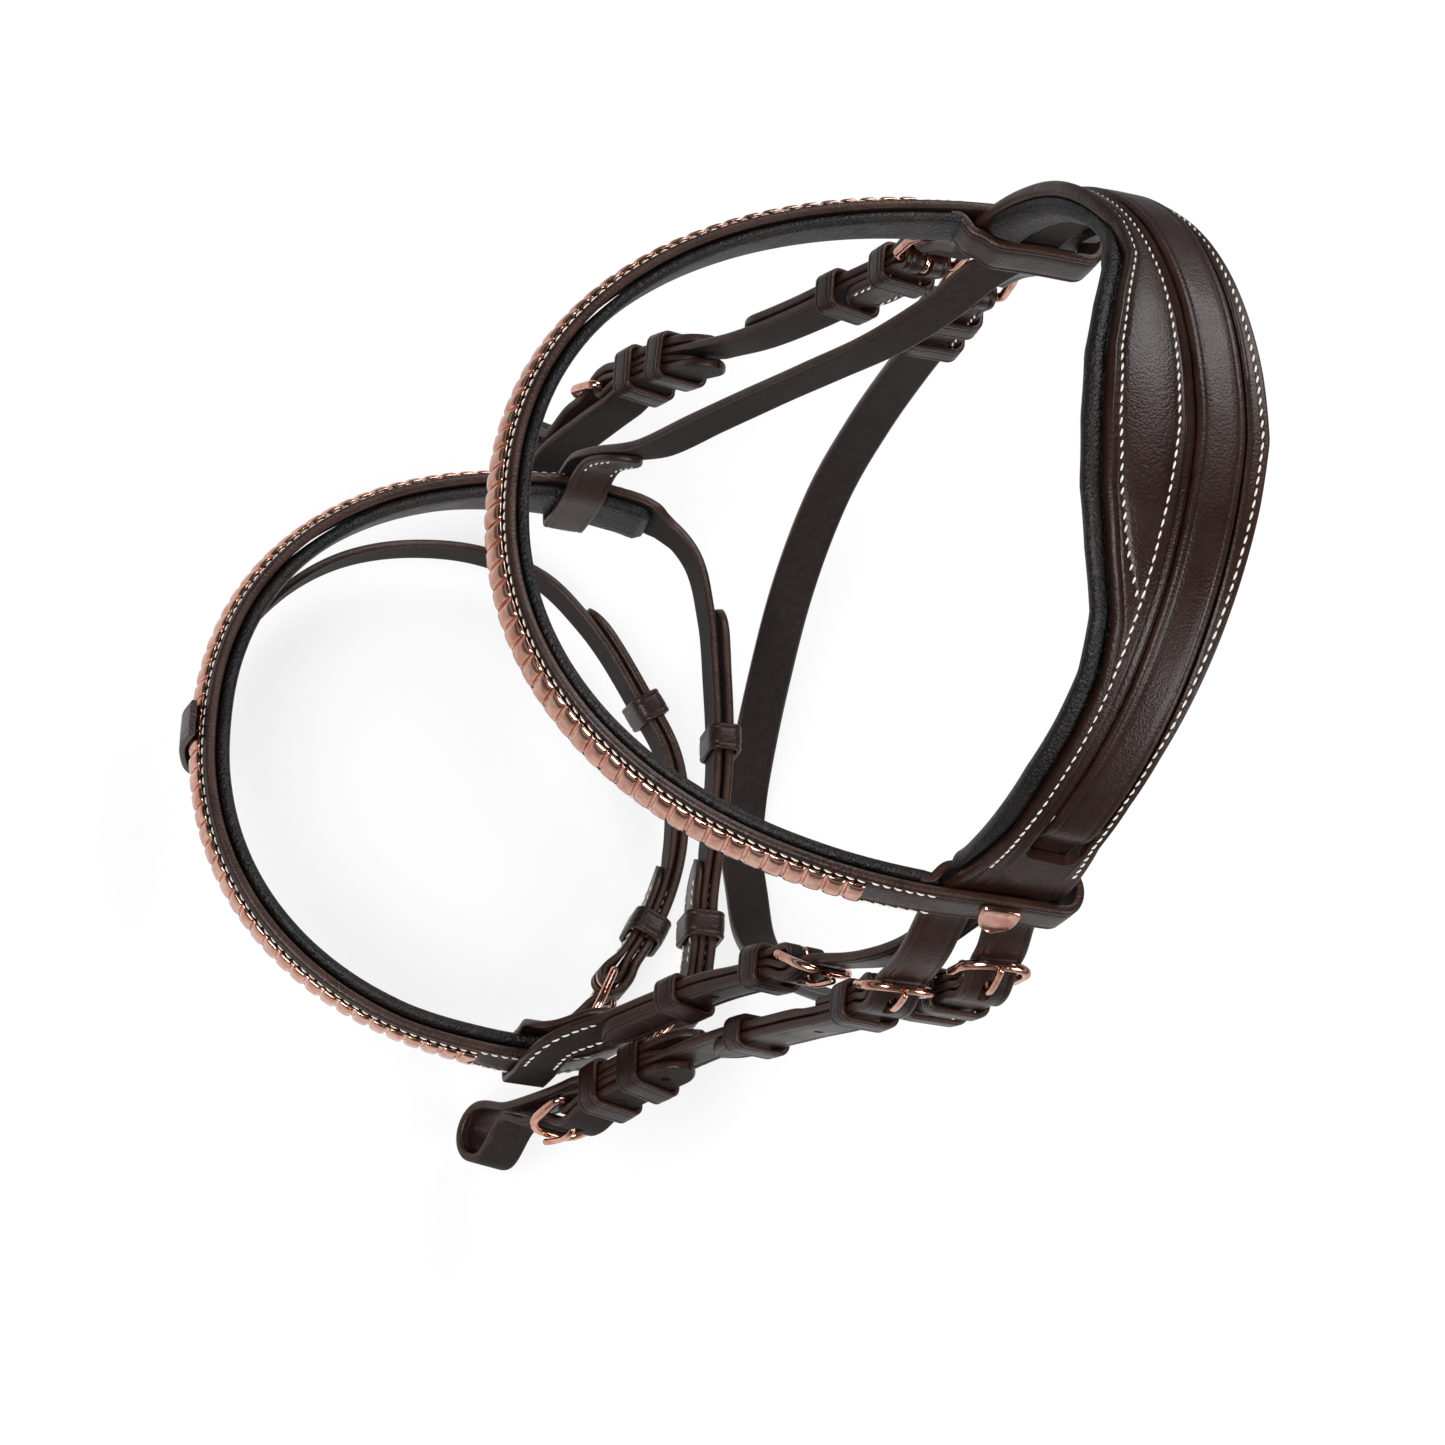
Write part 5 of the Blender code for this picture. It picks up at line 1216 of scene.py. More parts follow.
def slip_slots(slip):
    """Stations of the two slots through which the sliphead passes under the headpiece."""
    ends = slip.nearest(arch_point(0)), slip.nearest(arch_point(math.pi))
    return ends, ((ends[0] + SLOT_SET_UP, ends[0] + SLOT_SET_UP + SLOT_LONG),
                  (ends[1] - SLOT_SET_UP - SLOT_LONG, ends[1] - SLOT_SET_UP))


def headpiece_leather(route, slip, cheeks, throat):
    """The headpiece's leather with its four billets.

    The cross-section is a flat underside, an outer face whose height is crown_heights at
    shifts gathered where it bends most, and edges rounded as quarter ellipses. Billets are
    added, and holes and slots cut, by closed shapes.
    """
    low_cut = route.nearest(arch_point(0)) + SLOT_SET_UP + SLOT_LONG / 2
    ends = np.array((low_cut, route.length - low_cut))
    stations = np.sort(np.concatenate([stations_over(0, route.length, STEP), ends - LAYER_GAP,
                                       ends + LAYER_GAP]))
    angle = arch_angle_at(route, stations)
    cut_here = (stations > ends[0]) & (stations < ends[1])
    front, rear, _, _, centre, _ = crown_shapes(angle)
    first, second, third = crown_rows(angle)
    left, right = centre - SLOT_HALF, centre + SLOT_HALF
    bounds = np.stack([-front + 0.0010, -front + 0.0036, first, second, left - 0.0018,
                       left - WALL_STEP, left + WALL_STEP, right - WALL_STEP,
                       right + WALL_STEP, third, rear - 0.0010], 1)
    bounds = np.maximum.accumulate(bounds, axis=1)
    index = np.concatenate([k + np.arange(n) / n for k, n in enumerate(CROWN_COUNTS)]
                           + [[len(CROWN_COUNTS)]])
    lower = np.minimum(index.astype(int), len(CROWN_COUNTS) - 1)
    top_a = bounds[:, lower] * (1 - (index - lower)) + bounds[:, lower + 1] * (index - lower)
    top_a = top_a + np.arange(len(index)) * 1e-7
    top_n = crown_heights(top_a, angle, cut_here)
    turn = np.radians(np.array((0.0, 25.0, 50.0, 72.0)))[None, :]
    edges = []
    for edge, at, way in ((rear[:, None], slice(-1, None), turn),
                          (-front[:, None], slice(0, 1), turn[:, ::-1])):
        edges.append((edge + (top_a[:, at] - edge) * (1 - np.cos(way)),
                      EDGE_LOW + (top_n[:, at] - EDGE_LOW) * np.sin(way)))
    under = np.linspace(-1, 1, 9)[None, :]
    span, middle = (rear + front)[:, None] / 2 - EDGE_LOW, (rear - front)[:, None] / 2
    under_a = middle + span * under
    a = np.hstack([under_a, edges[0][0], top_a[:, ::-1], edges[1][0]])
    n = np.hstack([np.zeros_like(under_a), edges[0][1], top_n[:, ::-1], edges[1][1]])
    body = section_sweep("finished_headpiece_leather", route, stations, np.stack([a, n], -1),
                         leathers(), sharp=60)
    overlap = BROWBAND_WIDE / 3
    rows = [(cheeks[side], overlap, heel, -1, tail, CHEEK_WIDE)
            for side, (_, heel, tail) in SIDES.items()]
    rows += [(throat, overlap, THROAT_HEEL, -1, THROAT_TAIL, THROAT_WIDE),
             (throat, throat.length - overlap, throat.length - OFF_THROAT_HEEL, 1, THROAT_TAIL,
              THROAT_WIDE)]
    billets, holes = [], []
    for line, begin, heel, nose, tail, wide in rows:
        start = lay(begin, HEADPIECE_THICK / 2, wide)
        lays = billet(start, heel, nose, tail, wide, BILLET_HELD)
        billets.append(strap("billet", line, lays))
        holes += tongue_holes(line, heel, nose, tail)
    cut(body, billets, "UNION")
    (near, off), reach = slip_slots(slip)[1], SLOT_HALF - LAYER_GAP
    for begin, end in ((near[0] + SLOT_SHORT, near[1]), (off[0], off[1] - SLOT_SHORT)):
        holes.append(soft_slot(slip, begin, end, reach, -PAD_THICK - CUT_THROUGH,
                               HEADPIECE_THICK + BEAD_HIGH + CUT_THROUGH))
    return cut(body, holes)


def soft_slot(route, first, last, half, low, high):
    """A cutter for a slot whose corners are quarter circles."""
    corner = SLOT_CORNER
    turn = np.radians(np.linspace(0, 90, 5))
    stations, shifts = [], []
    for station, shift, start in ((last - corner, half - corner, 0),
                                  (first + corner, half - corner, 90),
                                  (first + corner, corner - half, 180),
                                  (last - corner, corner - half, 270)):
        angle = turn + math.radians(start)
        stations.append(station + corner * np.cos(angle))
        shifts.append(shift + corner * np.sin(angle))
    return ring_block(route, np.concatenate(stations), np.concatenate(shifts), low, high)


def headpiece_padding(route, slip):
    """The padding under the headpiece: a flat-backed pad with a full roll along its front that
    stands up beside the leather. Its outline has its corners cut down to a smooth curve, and
    the part under each slot is cut away."""
    begin = route.nearest(arch_point(0)) + BROWBAND_WIDE / 2 + SLIP_GAP * 3
    stations = stations_over(begin, route.length - begin, STEP * 1.2)
    angle = arch_angle_at(route, stations)
    inner, _, front, rear, _, rise = crown_shapes(angle)
    thick, top = PAD_THICK + LAYER_GAP, -LAYER_GAP
    near = near_share(angle)
    edge = inner + SLIP_GAP * near - FAR_TUCK * (1 - near)
    lip = near * FRONT_ROLL * rise * 0.40 - (1 - near) * LAYER_GAP
    outer = near * (np.maximum(front, edge + FRONT_ROLL * 0.3) + 0.0004) \
        + (1 - near) * (inner - 0.0008)
    outline = ((-outer, -thick * 0.5), (-outer + thick * 0.4, -thick),
               (rear - thick * 0.4, -thick), (rear, -thick * 0.5), (rear - REAR_ROLL, top),
               (-edge, top), (-edge, lip * 0.7 + top / 2), (-(edge + outer) / 2, lip),
               (-outer, lip * 0.45 + top))
    section = np.stack([np.stack(np.broadcast_arrays(*pair), -1) for pair in outline], 1)
    pad = section_sweep("finished_headpiece_padding", route, stations, rounded(section, 2),
                        (finish("black soft leather"),), sharp=70)
    ends, slots = slip_slots(slip)
    tools = []
    for first, last, reach in ((ends[0] - BROWBAND_WIDE, slots[0][0], CROWN_HALF_WIDE),
                               (slots[0][0] - SLIP_GAP, slots[0][1], SLOT_HALF - LAYER_GAP),
                               (slots[1][0], slots[1][1] + SLIP_GAP, SLOT_HALF - LAYER_GAP),
                               (slots[1][1], ends[1] + BROWBAND_WIDE, CROWN_HALF_WIDE)):
        left = -min(reach, SLOT_HALF)
        along = stations_over(first, last, 0.004)
        notch = np.array(((left, -PAD_THICK * 2), (reach, -PAD_THICK * 2), (reach, PAD_THICK),
                          (left, PAD_THICK)))
        tools.append(section_sweep("notch", slip, along,
                                   np.broadcast_to(notch, (len(along), 4, 2))))
    return cut(pad, tools)


def hanger_loop(cross, way, start, wide=HANGER_WIDE):
    """Lays from a start, over the noseband, half round its lower edge and back up behind it."""
    half = NOSEBAND_WIDE / 2 + HANGER_LOOP_CLEAR
    outer = NOSEBAND_THICK + HANGER_LOOP_CLEAR + CHAPE_THICK / 2
    inner = -NOSE_PAD_THICK - LAYER_GAP - HANGER_LOOP_CLEAR - CHAPE_THICK / 2
    radius = (outer - inner) / 2
    high, low = cross - way * half, cross + way * half
    angle = np.linspace(math.pi / 2, -math.pi / 2, FOLD_STEPS + 1)
    turned = bend(low, (outer + inner) / 2, way * radius * 0.34, radius, CHAPE_THICK, wide,
                  angle)
    over = ease(start, lay(high - way * wide * 0.35, outer, wide, CHAPE_THICK),
                HANGER_OVER_STEPS)
    back = lay(high - way * wide * 0.1, inner, wide, CHAPE_THICK)
    near_high = start[0, HEIGHT] - start[0, THICK] / 2 - LAYER_GAP - CHAPE_THICK / 2
    joined = lay(high - way * wide * 1.6, near_high, wide, CHAPE_THICK)
    end = moved(joined, station=high - way * HANGER_LOOP_TURN)
    return np.vstack([over, turned, ease(back, joined, 8), tip(end, -way)])


def face_height(lays, stations, side):
    """Height of a strap's outer or inner face at stations, read between its lays."""
    rows = lays[np.argsort(lays[:, STATION])]
    return np.interp(stations, rows[:, STATION], rows[:, HEIGHT] + side * rows[:, THICK] / 2)


def hanger_start(cross, way):
    """The place above the noseband where a hanger's loop begins."""
    return lay(cross - way * NOSEBAND_WIDE * 1.5, PLAIN_HIGH, HANGER_WIDE)


def hanger_stitches(route, cross, way):
    """Stitch rows on both faces of a hanger above its loop round the noseband."""
    start = hanger_start(cross, way)
    lays = hanger_loop(cross, way, start)
    edge = cross - way * (NOSEBAND_WIDE / 2 + HANGER_LOOP_CLEAR)
    above = np.vstack([moved(start, station=cross - way * 0.09), lays[:HANGER_OVER_STEPS + 1]])
    behind = lays[HANGER_OVER_STEPS + 1 + FOLD_STEPS + 1:]
    rows = []
    for part, side, first in ((above, 1, 0.0), (behind, -1, HANGER_WIDE)):
        stations = stitch_stations(edge - way * first, edge - way * (HANGER_LOOP_TURN - 0.008))
        heights = face_height(part, stations, side)
        rows += [(route, stations, shift, heights, side)
                 for shift in (HANGER_WIDE / 2 - STITCH_INSET, STITCH_INSET - HANGER_WIDE / 2)]
    return rows


def sliphead_straps(route, crossings):
    """The sliphead with its near billet and off hanger loop, and the near hanger below it."""
    (near_end, off_end), (near, off) = slip_slots(route)
    heel = crossings[0] + HANGER_HEEL
    wide = HANGER_WIDE
    riding = CHANNEL_FLOOR + SLIP_GAP + STRAP_THICK / 2
    inside = -LAYER_GAP - STRAP_THICK / 2 - SLIP_GAP / 2
    start = lay(near_end - BROWBAND_WIDE, inside, wide)
    near_part = billet(start, heel, 1, HANGER_TAIL, wide)[::-1]
    trim = SLOT_LONG * 0.12
    climb = ease(lay(near[0] + trim + SLOT_SHORT, inside, wide),
                 lay(near[1] - trim / 2, riding, wide))
    dive = ease(lay(off[0] + trim / 2, riding, wide),
                lay(off[1] - trim - SLOT_SHORT, inside, wide))
    off_start = lay(crossings[1] - HANGER_HEEL, PLAIN_HIGH, wide)
    leave = lay(off_end + BROWBAND_WIDE, inside, wide)
    lays = np.vstack([near_part, climb, dive, ease(leave, off_start),
                      hanger_loop(crossings[1], 1, hanger_start(crossings[1], 1))])
    sliphead = cut(strap("finished_sliphead_strap", route, lays),
                   tongue_holes(route, heel, 1, HANGER_TAIL))
    plain = lay(heel - HANGER_TURN - TIP_LONG, PLAIN_HIGH, wide)
    lays = np.vstack([fold(heel, 1, HANGER_TURN, wide)[::-1], plain,
                      hanger_loop(crossings[0], -1, hanger_start(crossings[0], -1))])
    hanger = cut(strap("finished_near_hanger_strap", route, lays),
                 [tongue_slot(route, heel, 1)])
    return sliphead, hanger


def bit_loop(bit, wide):
    """Lays of a bit strap: up the inside, half round the bit's space, through the buckle and up
    the outside."""
    deep = BIT_LOOP_DEEP
    low = -LAYER_GAP - STRAP_THICK / 2
    lump = BAR_HIGH - FOLD_RADIUS - CHAPE_THICK / 2 - SLIP_GAP - STRAP_THICK / 2
    bottom = bit + FRAME_LONG + BIT_LOOP_LONG
    inside = lump - deep * 0.16
    outside = inside + deep
    rise = ease(lay(bit - CHAPE_TAPER * 1.4, low, wide),
                lay(bit - FOLD_RADIUS / 2, lump, wide), 8)
    fall = ease(lay(bottom - BIT_RING_LONG - 0.002, lump, wide),
                lay(bottom - deep * 0.55, inside, wide), 10)
    angle = np.linspace(-math.pi / 2, math.pi / 2, 22)[1:-1]
    turned = bend(bottom - deep * 0.55, (inside + outside) / 2, deep / 2, deep / 2, STRAP_THICK,
                  wide, angle)
    waist = lay(bottom - BIT_RING_LONG, lump + STRAP_THICK + SLIP_GAP, wide)
    swell = ease(lay(bottom - deep * 0.60, outside, wide), waist, 10)
    return np.vstack([tip(lay(bit - BIT_LAP, low, wide), -1)[::-1], rise, fall,
                      turned, swell, billet(waist, bit, 1, BIT_TAIL, wide)])


def doubled_strap(name, route, first, first_turn, last, last_turn, wide):
    """A strap folded round a buckle's heel bar at both ends, slotted for both tongues."""
    plain = [lay(station, PLAIN_HIGH, wide)
             for station in (first + first_turn + TIP_LONG / 2, last - last_turn - TIP_LONG / 2)]
    lays = np.vstack([fold(first, -1, first_turn, wide)[::-1], *plain,
                      fold(last, 1, last_turn, wide)])
    return cut(strap(name, route, lays),
               [tongue_slot(route, first, -1), tongue_slot(route, last, 1)])


def cheek_straps(side, route):
    """One cheek strap, folded round a buckle at both ends, and its bit strap."""
    prefix, heel, _ = SIDES[side]
    bit = heel + CHEEK_LONG
    cheek = doubled_strap(f"finished_{prefix}_cheek_strap", route, heel, CHEEK_TURN, bit,
                          BIT_TURN, CHEEK_WIDE)
    lays = bit_loop(bit, CHEEK_WIDE)
    loop = cut(strap(f"finished_{prefix}_bit_strap", route, lays),
               tongue_holes(route, bit, 1, BIT_TAIL))
    return cheek, loop


def ring_strap(name, route, start_lays, heel, tail, turn, wide):
    """A strap from its billet tip, once round its ring and folded back at its own buckle."""
    heel_again = heel + route.length
    plain = lay(heel_again - turn - TIP_LONG / 2, PLAIN_HIGH, wide)
    lays = np.vstack([billet(start_lays[:1], heel, 1, tail, wide)[::-1], start_lays[1:], plain,
                      fold(heel_again, 1, turn, wide)])
    return cut(strap(name, route, lays),
               tongue_holes(route, heel, 1, tail) + [tongue_slot(route, heel, 1)])


def noseband_strap(route, off_end):
    """The noseband and chin strap in one: wide round the nose, narrow under the chin. Each end
    narrows over the length of a tip, by shares of the full width."""
    high = NOSEBAND_THICK / 2
    near_end = -NOSEBAND_END
    shoulders = ((TIP_LONG / 3, 0.80), (TIP_LONG / 7, 0.94), (0.0, 1.0))
    rows = [(near_end - TIP_LONG * 0.55, 0.71)]
    rows += [(near_end - beyond, share) for beyond, share in shoulders]
    rows += [(off_end + beyond, share) for beyond, share in reversed(shoulders)]
    rows += [(off_end + TIP_LONG * 0.6, 0.71)]
    lays = np.vstack([
        lay(near_end - TIP_LONG * 0.8, high, CHIN_WIDE),
        *(lay(place, high, NOSEBAND_WIDE * share, NOSEBAND_THICK) for place, share in rows),
        lay(off_end + TIP_LONG, high + STRAP_THICK / 4, CHIN_WIDE)])
    return ring_strap("finished_noseband_strap", route, lays, -CHIN_HEEL, CHIN_TAIL, CHIN_TURN,
                      CHIN_WIDE)


def flash_strap(route):
    """The flash strap, a narrow ring below the noseband."""
    rows = ((FLASH_WIDE * 4 - FLASH_HEEL, BAR_HIGH + UNDER_NOSE),
            (-FLASH_HEEL / 4, STRAP_THICK / 2), (FLASH_HEEL / 4, STRAP_THICK / 2),
            (FLASH_HEEL, PLAIN_HIGH))
    lays = np.vstack([lay(place, high, FLASH_WIDE) for place, high in rows])
    return ring_strap("finished_flash_strap", route, lays, -FLASH_HEEL, FLASH_TAIL, FLASH_TURN,
                      FLASH_WIDE)


def flash_loop(route, nose_route):
    """A hook of leather from the noseband's face, down round the flash strap and up behind.

    Its middle line has its corners cut to a smooth bend, and the strap's profile is carried
    along it square to the line.
    """
    where = nose_route.at(nose_route.nearest(route.point(0)))
    point, _, outward, across = where
    reach = route.point(0) - point
    face = NOSEBAND_THICK + CLINCHER_HIGH + LAYER_GAP * 2
    behind = float(reach @ outward) - SLIP_GAP * 4
    front = behind + STRAP_THICK + SLIP_GAP * 6
    low = float(reach @ across) - FLASH_WIDE / 2 - SLIP_GAP * 2
    high = -NOSEBAND_WIDE / 2 - SLIP_GAP - NOSE_PAD_THICK / 4
    half = FLASH_LOOP_THICK / 2
    line = np.array(((CLINCHER_WIDE * 0.6, face + half), (-CLINCHER_WIDE * 0.65, face + half),
                     (low - half, front + half), (low - half, behind - half),
                     (high, behind - half)))
    for _ in range(3):
        pair = np.stack([line[:-1] * 0.78 + line[1:] * 0.22, line[:-1] * 0.22 + line[1:] * 0.78],
                        axis=1).reshape(-1, 2)
        line = np.vstack([line[:1], pair[1:-1], line[-1:]])
    way = unit(np.gradient(line, axis=0))
    normal = np.stack([way[:, 1], -way[:, 0]], -1)
    return leather_loop("finished_flash_loop", where, line, normal, FLASH_LOOP_WIDE,
                        FLASH_LOOP_THICK, 0.0002, flesh=False)


def browband_strap(route, start):
    """The browband's leather, looped round the headpiece's end at each side."""
    wide, thick = BROWBAND_WIDE, BROWBAND_THICK
    inside = HEADPIECE_THICK + STRAP_THICK + LAYER_GAP + SLIP_GAP * 4.4
    high = thick / 2
    radius = (inside + thick) / 2
    rear = HEADPIECE_END + SLIP_GAP
    angle = np.linspace(math.pi / 2, -math.pi / 2, FOLD_STEPS + 1)
    parts = []
    for end, way in ((start, 1), (route.length - start, -1)):
        turned = bend(end - way * rear, high - radius, -way * radius * 0.7, radius, thick, wide,
                      angle)
        low = lay(end + way * (rear - 0.010), high - 2 * radius, wide, thick)
        edge = lay(end + way * (rear - 0.0015), -HEADPIECE_THICK - thick / 2 - SLIP_GAP * 4,
                   wide, thick)
        joined = lay(end + way * (rear + 0.0035), -thick / 2 - LAYER_GAP, wide, thick)
        last = moved(joined, station=end + way * (BROW_PAD_START + 0.0015))
        parts.append(np.vstack([lay(end - way * rear, high, wide, thick), turned,
                                ease(low, edge, 8), ease(edge, joined, 6), last]))
    return strap("finished_browband_strap", route, np.vstack([parts[0][::-1], parts[1]]),
                 leathers())


def band_padding(name, route, first, last, wide, thick):
    """The soft roll behind a band, a little taller than its leather: an outline with its
    corners cut to a smooth curve, carried along the band."""
    tall, top = wide / 2, -SLIP_GAP
    outline = np.array(((-tall, top - thick * 0.1), (-tall * 0.9, top), (tall * 0.86, top),
                        (tall * 1.05, top - thick * 0.30), (tall * 1.06, top - thick * 0.78),
                        (tall * 0.8, top - thick), (-tall * 0.84, top - thick),
                        (-tall * 1.03, top - thick * 0.7)))
    stations = stations_over(first, last, STEP * 1.2)
    fall = np.clip(np.minimum(stations - first, last - stations) / 0.004, 0.0, 1.0)
    fall = (1 - (1 - fall) ** 2)[:, None] * 0.45 + 0.55
    section = np.broadcast_to(rounded(outline, 3), (len(stations), 64, 2)).copy()
    section[..., 0] *= fall * 0.5 + 0.5
    section[..., 1] = top + (section[..., 1] - top) * fall
    return section_sweep(name, route, stations, section, (finish("black soft leather"),),
                         sharp=80)


def clincher_row(name, route, first, last, base):
    """A row of polished clinchers on a narrow backing.

    Each is a pillow: over shares of its half length and half width, its height is the product
    of two square roots of one less a high power, and falls a little with the square of the
    share across, so that it is gently domed with soft edges.
    """
    low = base + LAYER_GAP
    share = np.array(CLINCHER_SHARES)
    side = len(share)
    swell = np.sqrt(np.maximum(1 - np.abs(share) ** CLINCHER_POWER, 0))
    domed = swell * (1 - CLINCHER_DOME * share ** 2)
    begin = first + np.arange(int((last - first) / CLINCHER_PITCH)) * CLINCHER_PITCH
    station = begin[:, None, None] + CLINCHER_LONG / 2 * (1 + share)[None, :, None]
    shift = CLINCHER_WIDE / 2 * share[None, None, :]
    foot = low + CLINCHER_BACK * 0.6
    height = foot + (low + CLINCHER_HIGH - foot) * swell[None, :, None] * domed
    points = route.place(*(v.ravel() for v in np.broadcast_arrays(station, shift, height)))
    grid = np.arange(side * side).reshape(side, side)
    rim = np.concatenate([grid[0], grid[1:-1, -1], grid[-1, ::-1], grid[-2:0:-1, 0]])
    row = like_shapes(name, points, side * side, quads(side, side, False, False),
                      rim[None, ::-1], finish(METAL))
    middle = low + CLINCHER_BACK / 2
    lays = np.vstack([lay(s, middle, CLINCHER_WIDE * BACKING_SHARE, CLINCHER_BACK)
                      for s in (first, begin[-1] + CLINCHER_LONG)])
    backing = strap("backing", route, lays, (finish(METAL),) * 2, crease=0.0)
    return join(name, [row, backing])


def shield_badge(route, station):
    """A small plain shield, made of rings of its outline: each ring has its own share of the
    badge's height and size, out to a bevelled edge and in again to a dished face."""
    point, along, outward, across = route.at(station)
    outline = rounded(np.array(((-0.40, 0.5), (0.40, 0.5), (0.5, 0.42), (0.5, 0.0),
                                (0.34, -0.34), (0.0, -0.52), (-0.34, -0.34), (-0.5, 0.0),
                                (-0.5, 0.42))), 2)
    steps = np.array(((0.0, 1.0), (0.70, 1.0), (0.95, 0.95), (1.0, 0.86), (0.85, 0.78),
                      (0.82, 0.40), (0.82, 0.10)))
    rings = outline[None] * steps[:, 1][:, None, None]
    heights = BROWBAND_THICK + LAYER_GAP + BADGE_THICK * steps[:, :1, None] \
        + BADGE_TILT * (0.5 - rings[..., 1:]) * steps[:, :1, None]
    points = point + outward * heights + along * BADGE_WIDE * rings[..., :1] \
        + across * BADGE_TALL * rings[..., 1:]
    return grid_piece("finished_near_browband_badge", points, (finish(METAL),),
                      sharp=60)


def buckle_frame(prefix, route, heel, nose, wide):
    """A buckle's frame: round wire along a straight heel bar and a rounded nose, each corner a
    quarter circle, lifted steadily towards the nose."""
    half = wide / 2 + FRAME_SIDE_CLEAR + BAR_RADIUS
    ahead, side = [], []
    for x, y, radius, start, end, steps in (
            (HEEL_CORNER, half - HEEL_CORNER, HEEL_CORNER, 180, 90, 8),
            (FRAME_LONG - NOSE_CORNER, half - NOSE_CORNER, NOSE_CORNER, 90, 0, 14),
            (FRAME_LONG - NOSE_CORNER, NOSE_CORNER - half, NOSE_CORNER, 0, -90, 14),
            (HEEL_CORNER, HEEL_CORNER - half, HEEL_CORNER, -90, -180, 8)):
        angle = np.radians(np.linspace(start, end, steps + 1))
        ahead.append(x + radius * np.cos(angle))
        side.append(y + radius * np.sin(angle))
    ahead, side = np.concatenate(ahead), np.concatenate(side)
    stations = heel + nose * ahead
    centre = route.place(stations, side, BAR_HIGH + NOSE_LIFT * ahead / FRAME_LONG)
    return wire(f"finished_{prefix}_buckle_frame", centre, route.at(stations)[2], BAR_RADIUS,
                finish(METAL), closed=True)


def buckle_tongue(prefix, route, heel, nose):
    """A tongue: an eye round the heel bar, up through the billet and out over the nose bar, on
    a smooth line with a rounded point."""
    ring = BAR_RADIUS + BAR_CLEAR + TONGUE_RADIUS
    turn = np.radians(np.linspace(140, 360, 16))
    eye = np.stack([ring * np.cos(turn), ring * np.sin(turn)], -1)
    rise = np.array(((ring, 0.0), (ring * 1.06, OVER_BAR * 0.42), (ring * 1.45, OVER_BAR * 0.88),
                     (FRAME_LONG * 0.37, OVER_BAR * 1.22), (FRAME_LONG * 0.60, OVER_BAR * 1.32),
                     (FRAME_LONG, TONGUE_REST),
                     (FRAME_LONG + TONGUE_OVERHANG, TONGUE_REST - BAR_RADIUS / 3)))
    flat = np.vstack([eye[:-1], smooth_line(rise, 6)])
    stations = heel + nose * flat[:, 0]
    centre = route.place(stations, np.zeros(len(flat)), BAR_HIGH + flat[:, 1])
    return wire(f"finished_{prefix}_buckle_tongue", centre, route.at(stations)[3],
                rounded_end(TONGUE_RADIUS, len(flat)), finish(METAL), sides=12)


def keeper_loop(name, route, station, low, high, wide):
    """A leather loop round the layers between two heights: a rectangle whose corners are
    quarter circles, with the strap's profile carried round it, wide along the strap."""
    wall, corner = KEEPER_WALL, KEEPER_CORNER
    half = wide / 2 + KEEPER_CLEAR + wall / 2
    bottom, top = low - KEEPER_CLEAR - wall / 2, high + KEEPER_CLEAR + wall / 2
    turn = np.radians(np.linspace(0, 90, 8))
    places, facing = [], []
    for x, y, start in ((half - corner, top - corner, 0), (corner - half, top - corner, 90),
                        (corner - half, bottom + corner, 180),
                        (half - corner, bottom + corner, 270)):
        angle = turn + math.radians(start)
        facing.append(np.stack([np.cos(angle), np.sin(angle)], -1))
        places.append(facing[-1] * corner + (x, y))
    return leather_loop(name, route.at(station), np.vstack(places), np.vstack(facing),
                        KEEPER_LONG, wall, 0.00016, closed=True)


_routes = {}


def routes():
    """Every route of the bridle by name, worked out once, and where the hangers cross."""
    if not _routes:
        slip = slip_route()
        _routes.update(headpiece=headpiece_route(), slip=slip, throat=throat_route(),
                       brow=brow_route(), nose=noseband_route(), flash=flash_route(),
                       cheeks={side: cheek_route(side) for side in (NEAR, OFF)},
                       crossings=[slip.nearest(side_of_nose(side)) for side in (NEAR, OFF)])
    return _routes


def place_padding(piece):
    """Puts padding in the place of its node."""
    place(piece, "black_soft_leather")


def buckles():
    """Every buckle: its name, route, heel, the way that its nose points and the strap's width."""
    r = routes()
    throat, rows = r["throat"], []
    for side, (prefix, heel, _) in SIDES.items():
        cheek = r["cheeks"][side]
        rows += [(prefix + "_cheek", cheek, heel, -1, CHEEK_WIDE),
                 (prefix + "_bit", cheek, heel + CHEEK_LONG, 1, CHEEK_WIDE)]
    return rows + [
        ("near_throat", throat, THROAT_HEEL, -1, THROAT_WIDE),
        ("off_throat", throat, throat.length - OFF_THROAT_HEEL, 1, THROAT_WIDE),
        ("near_hanger", r["slip"], r["crossings"][0] + HANGER_HEEL, 1, HANGER_WIDE),
        ("chin", r["nose"], -CHIN_HEEL, 1, CHIN_WIDE),
        ("flash", r["flash"], -FLASH_HEEL, 1, FLASH_WIDE)]


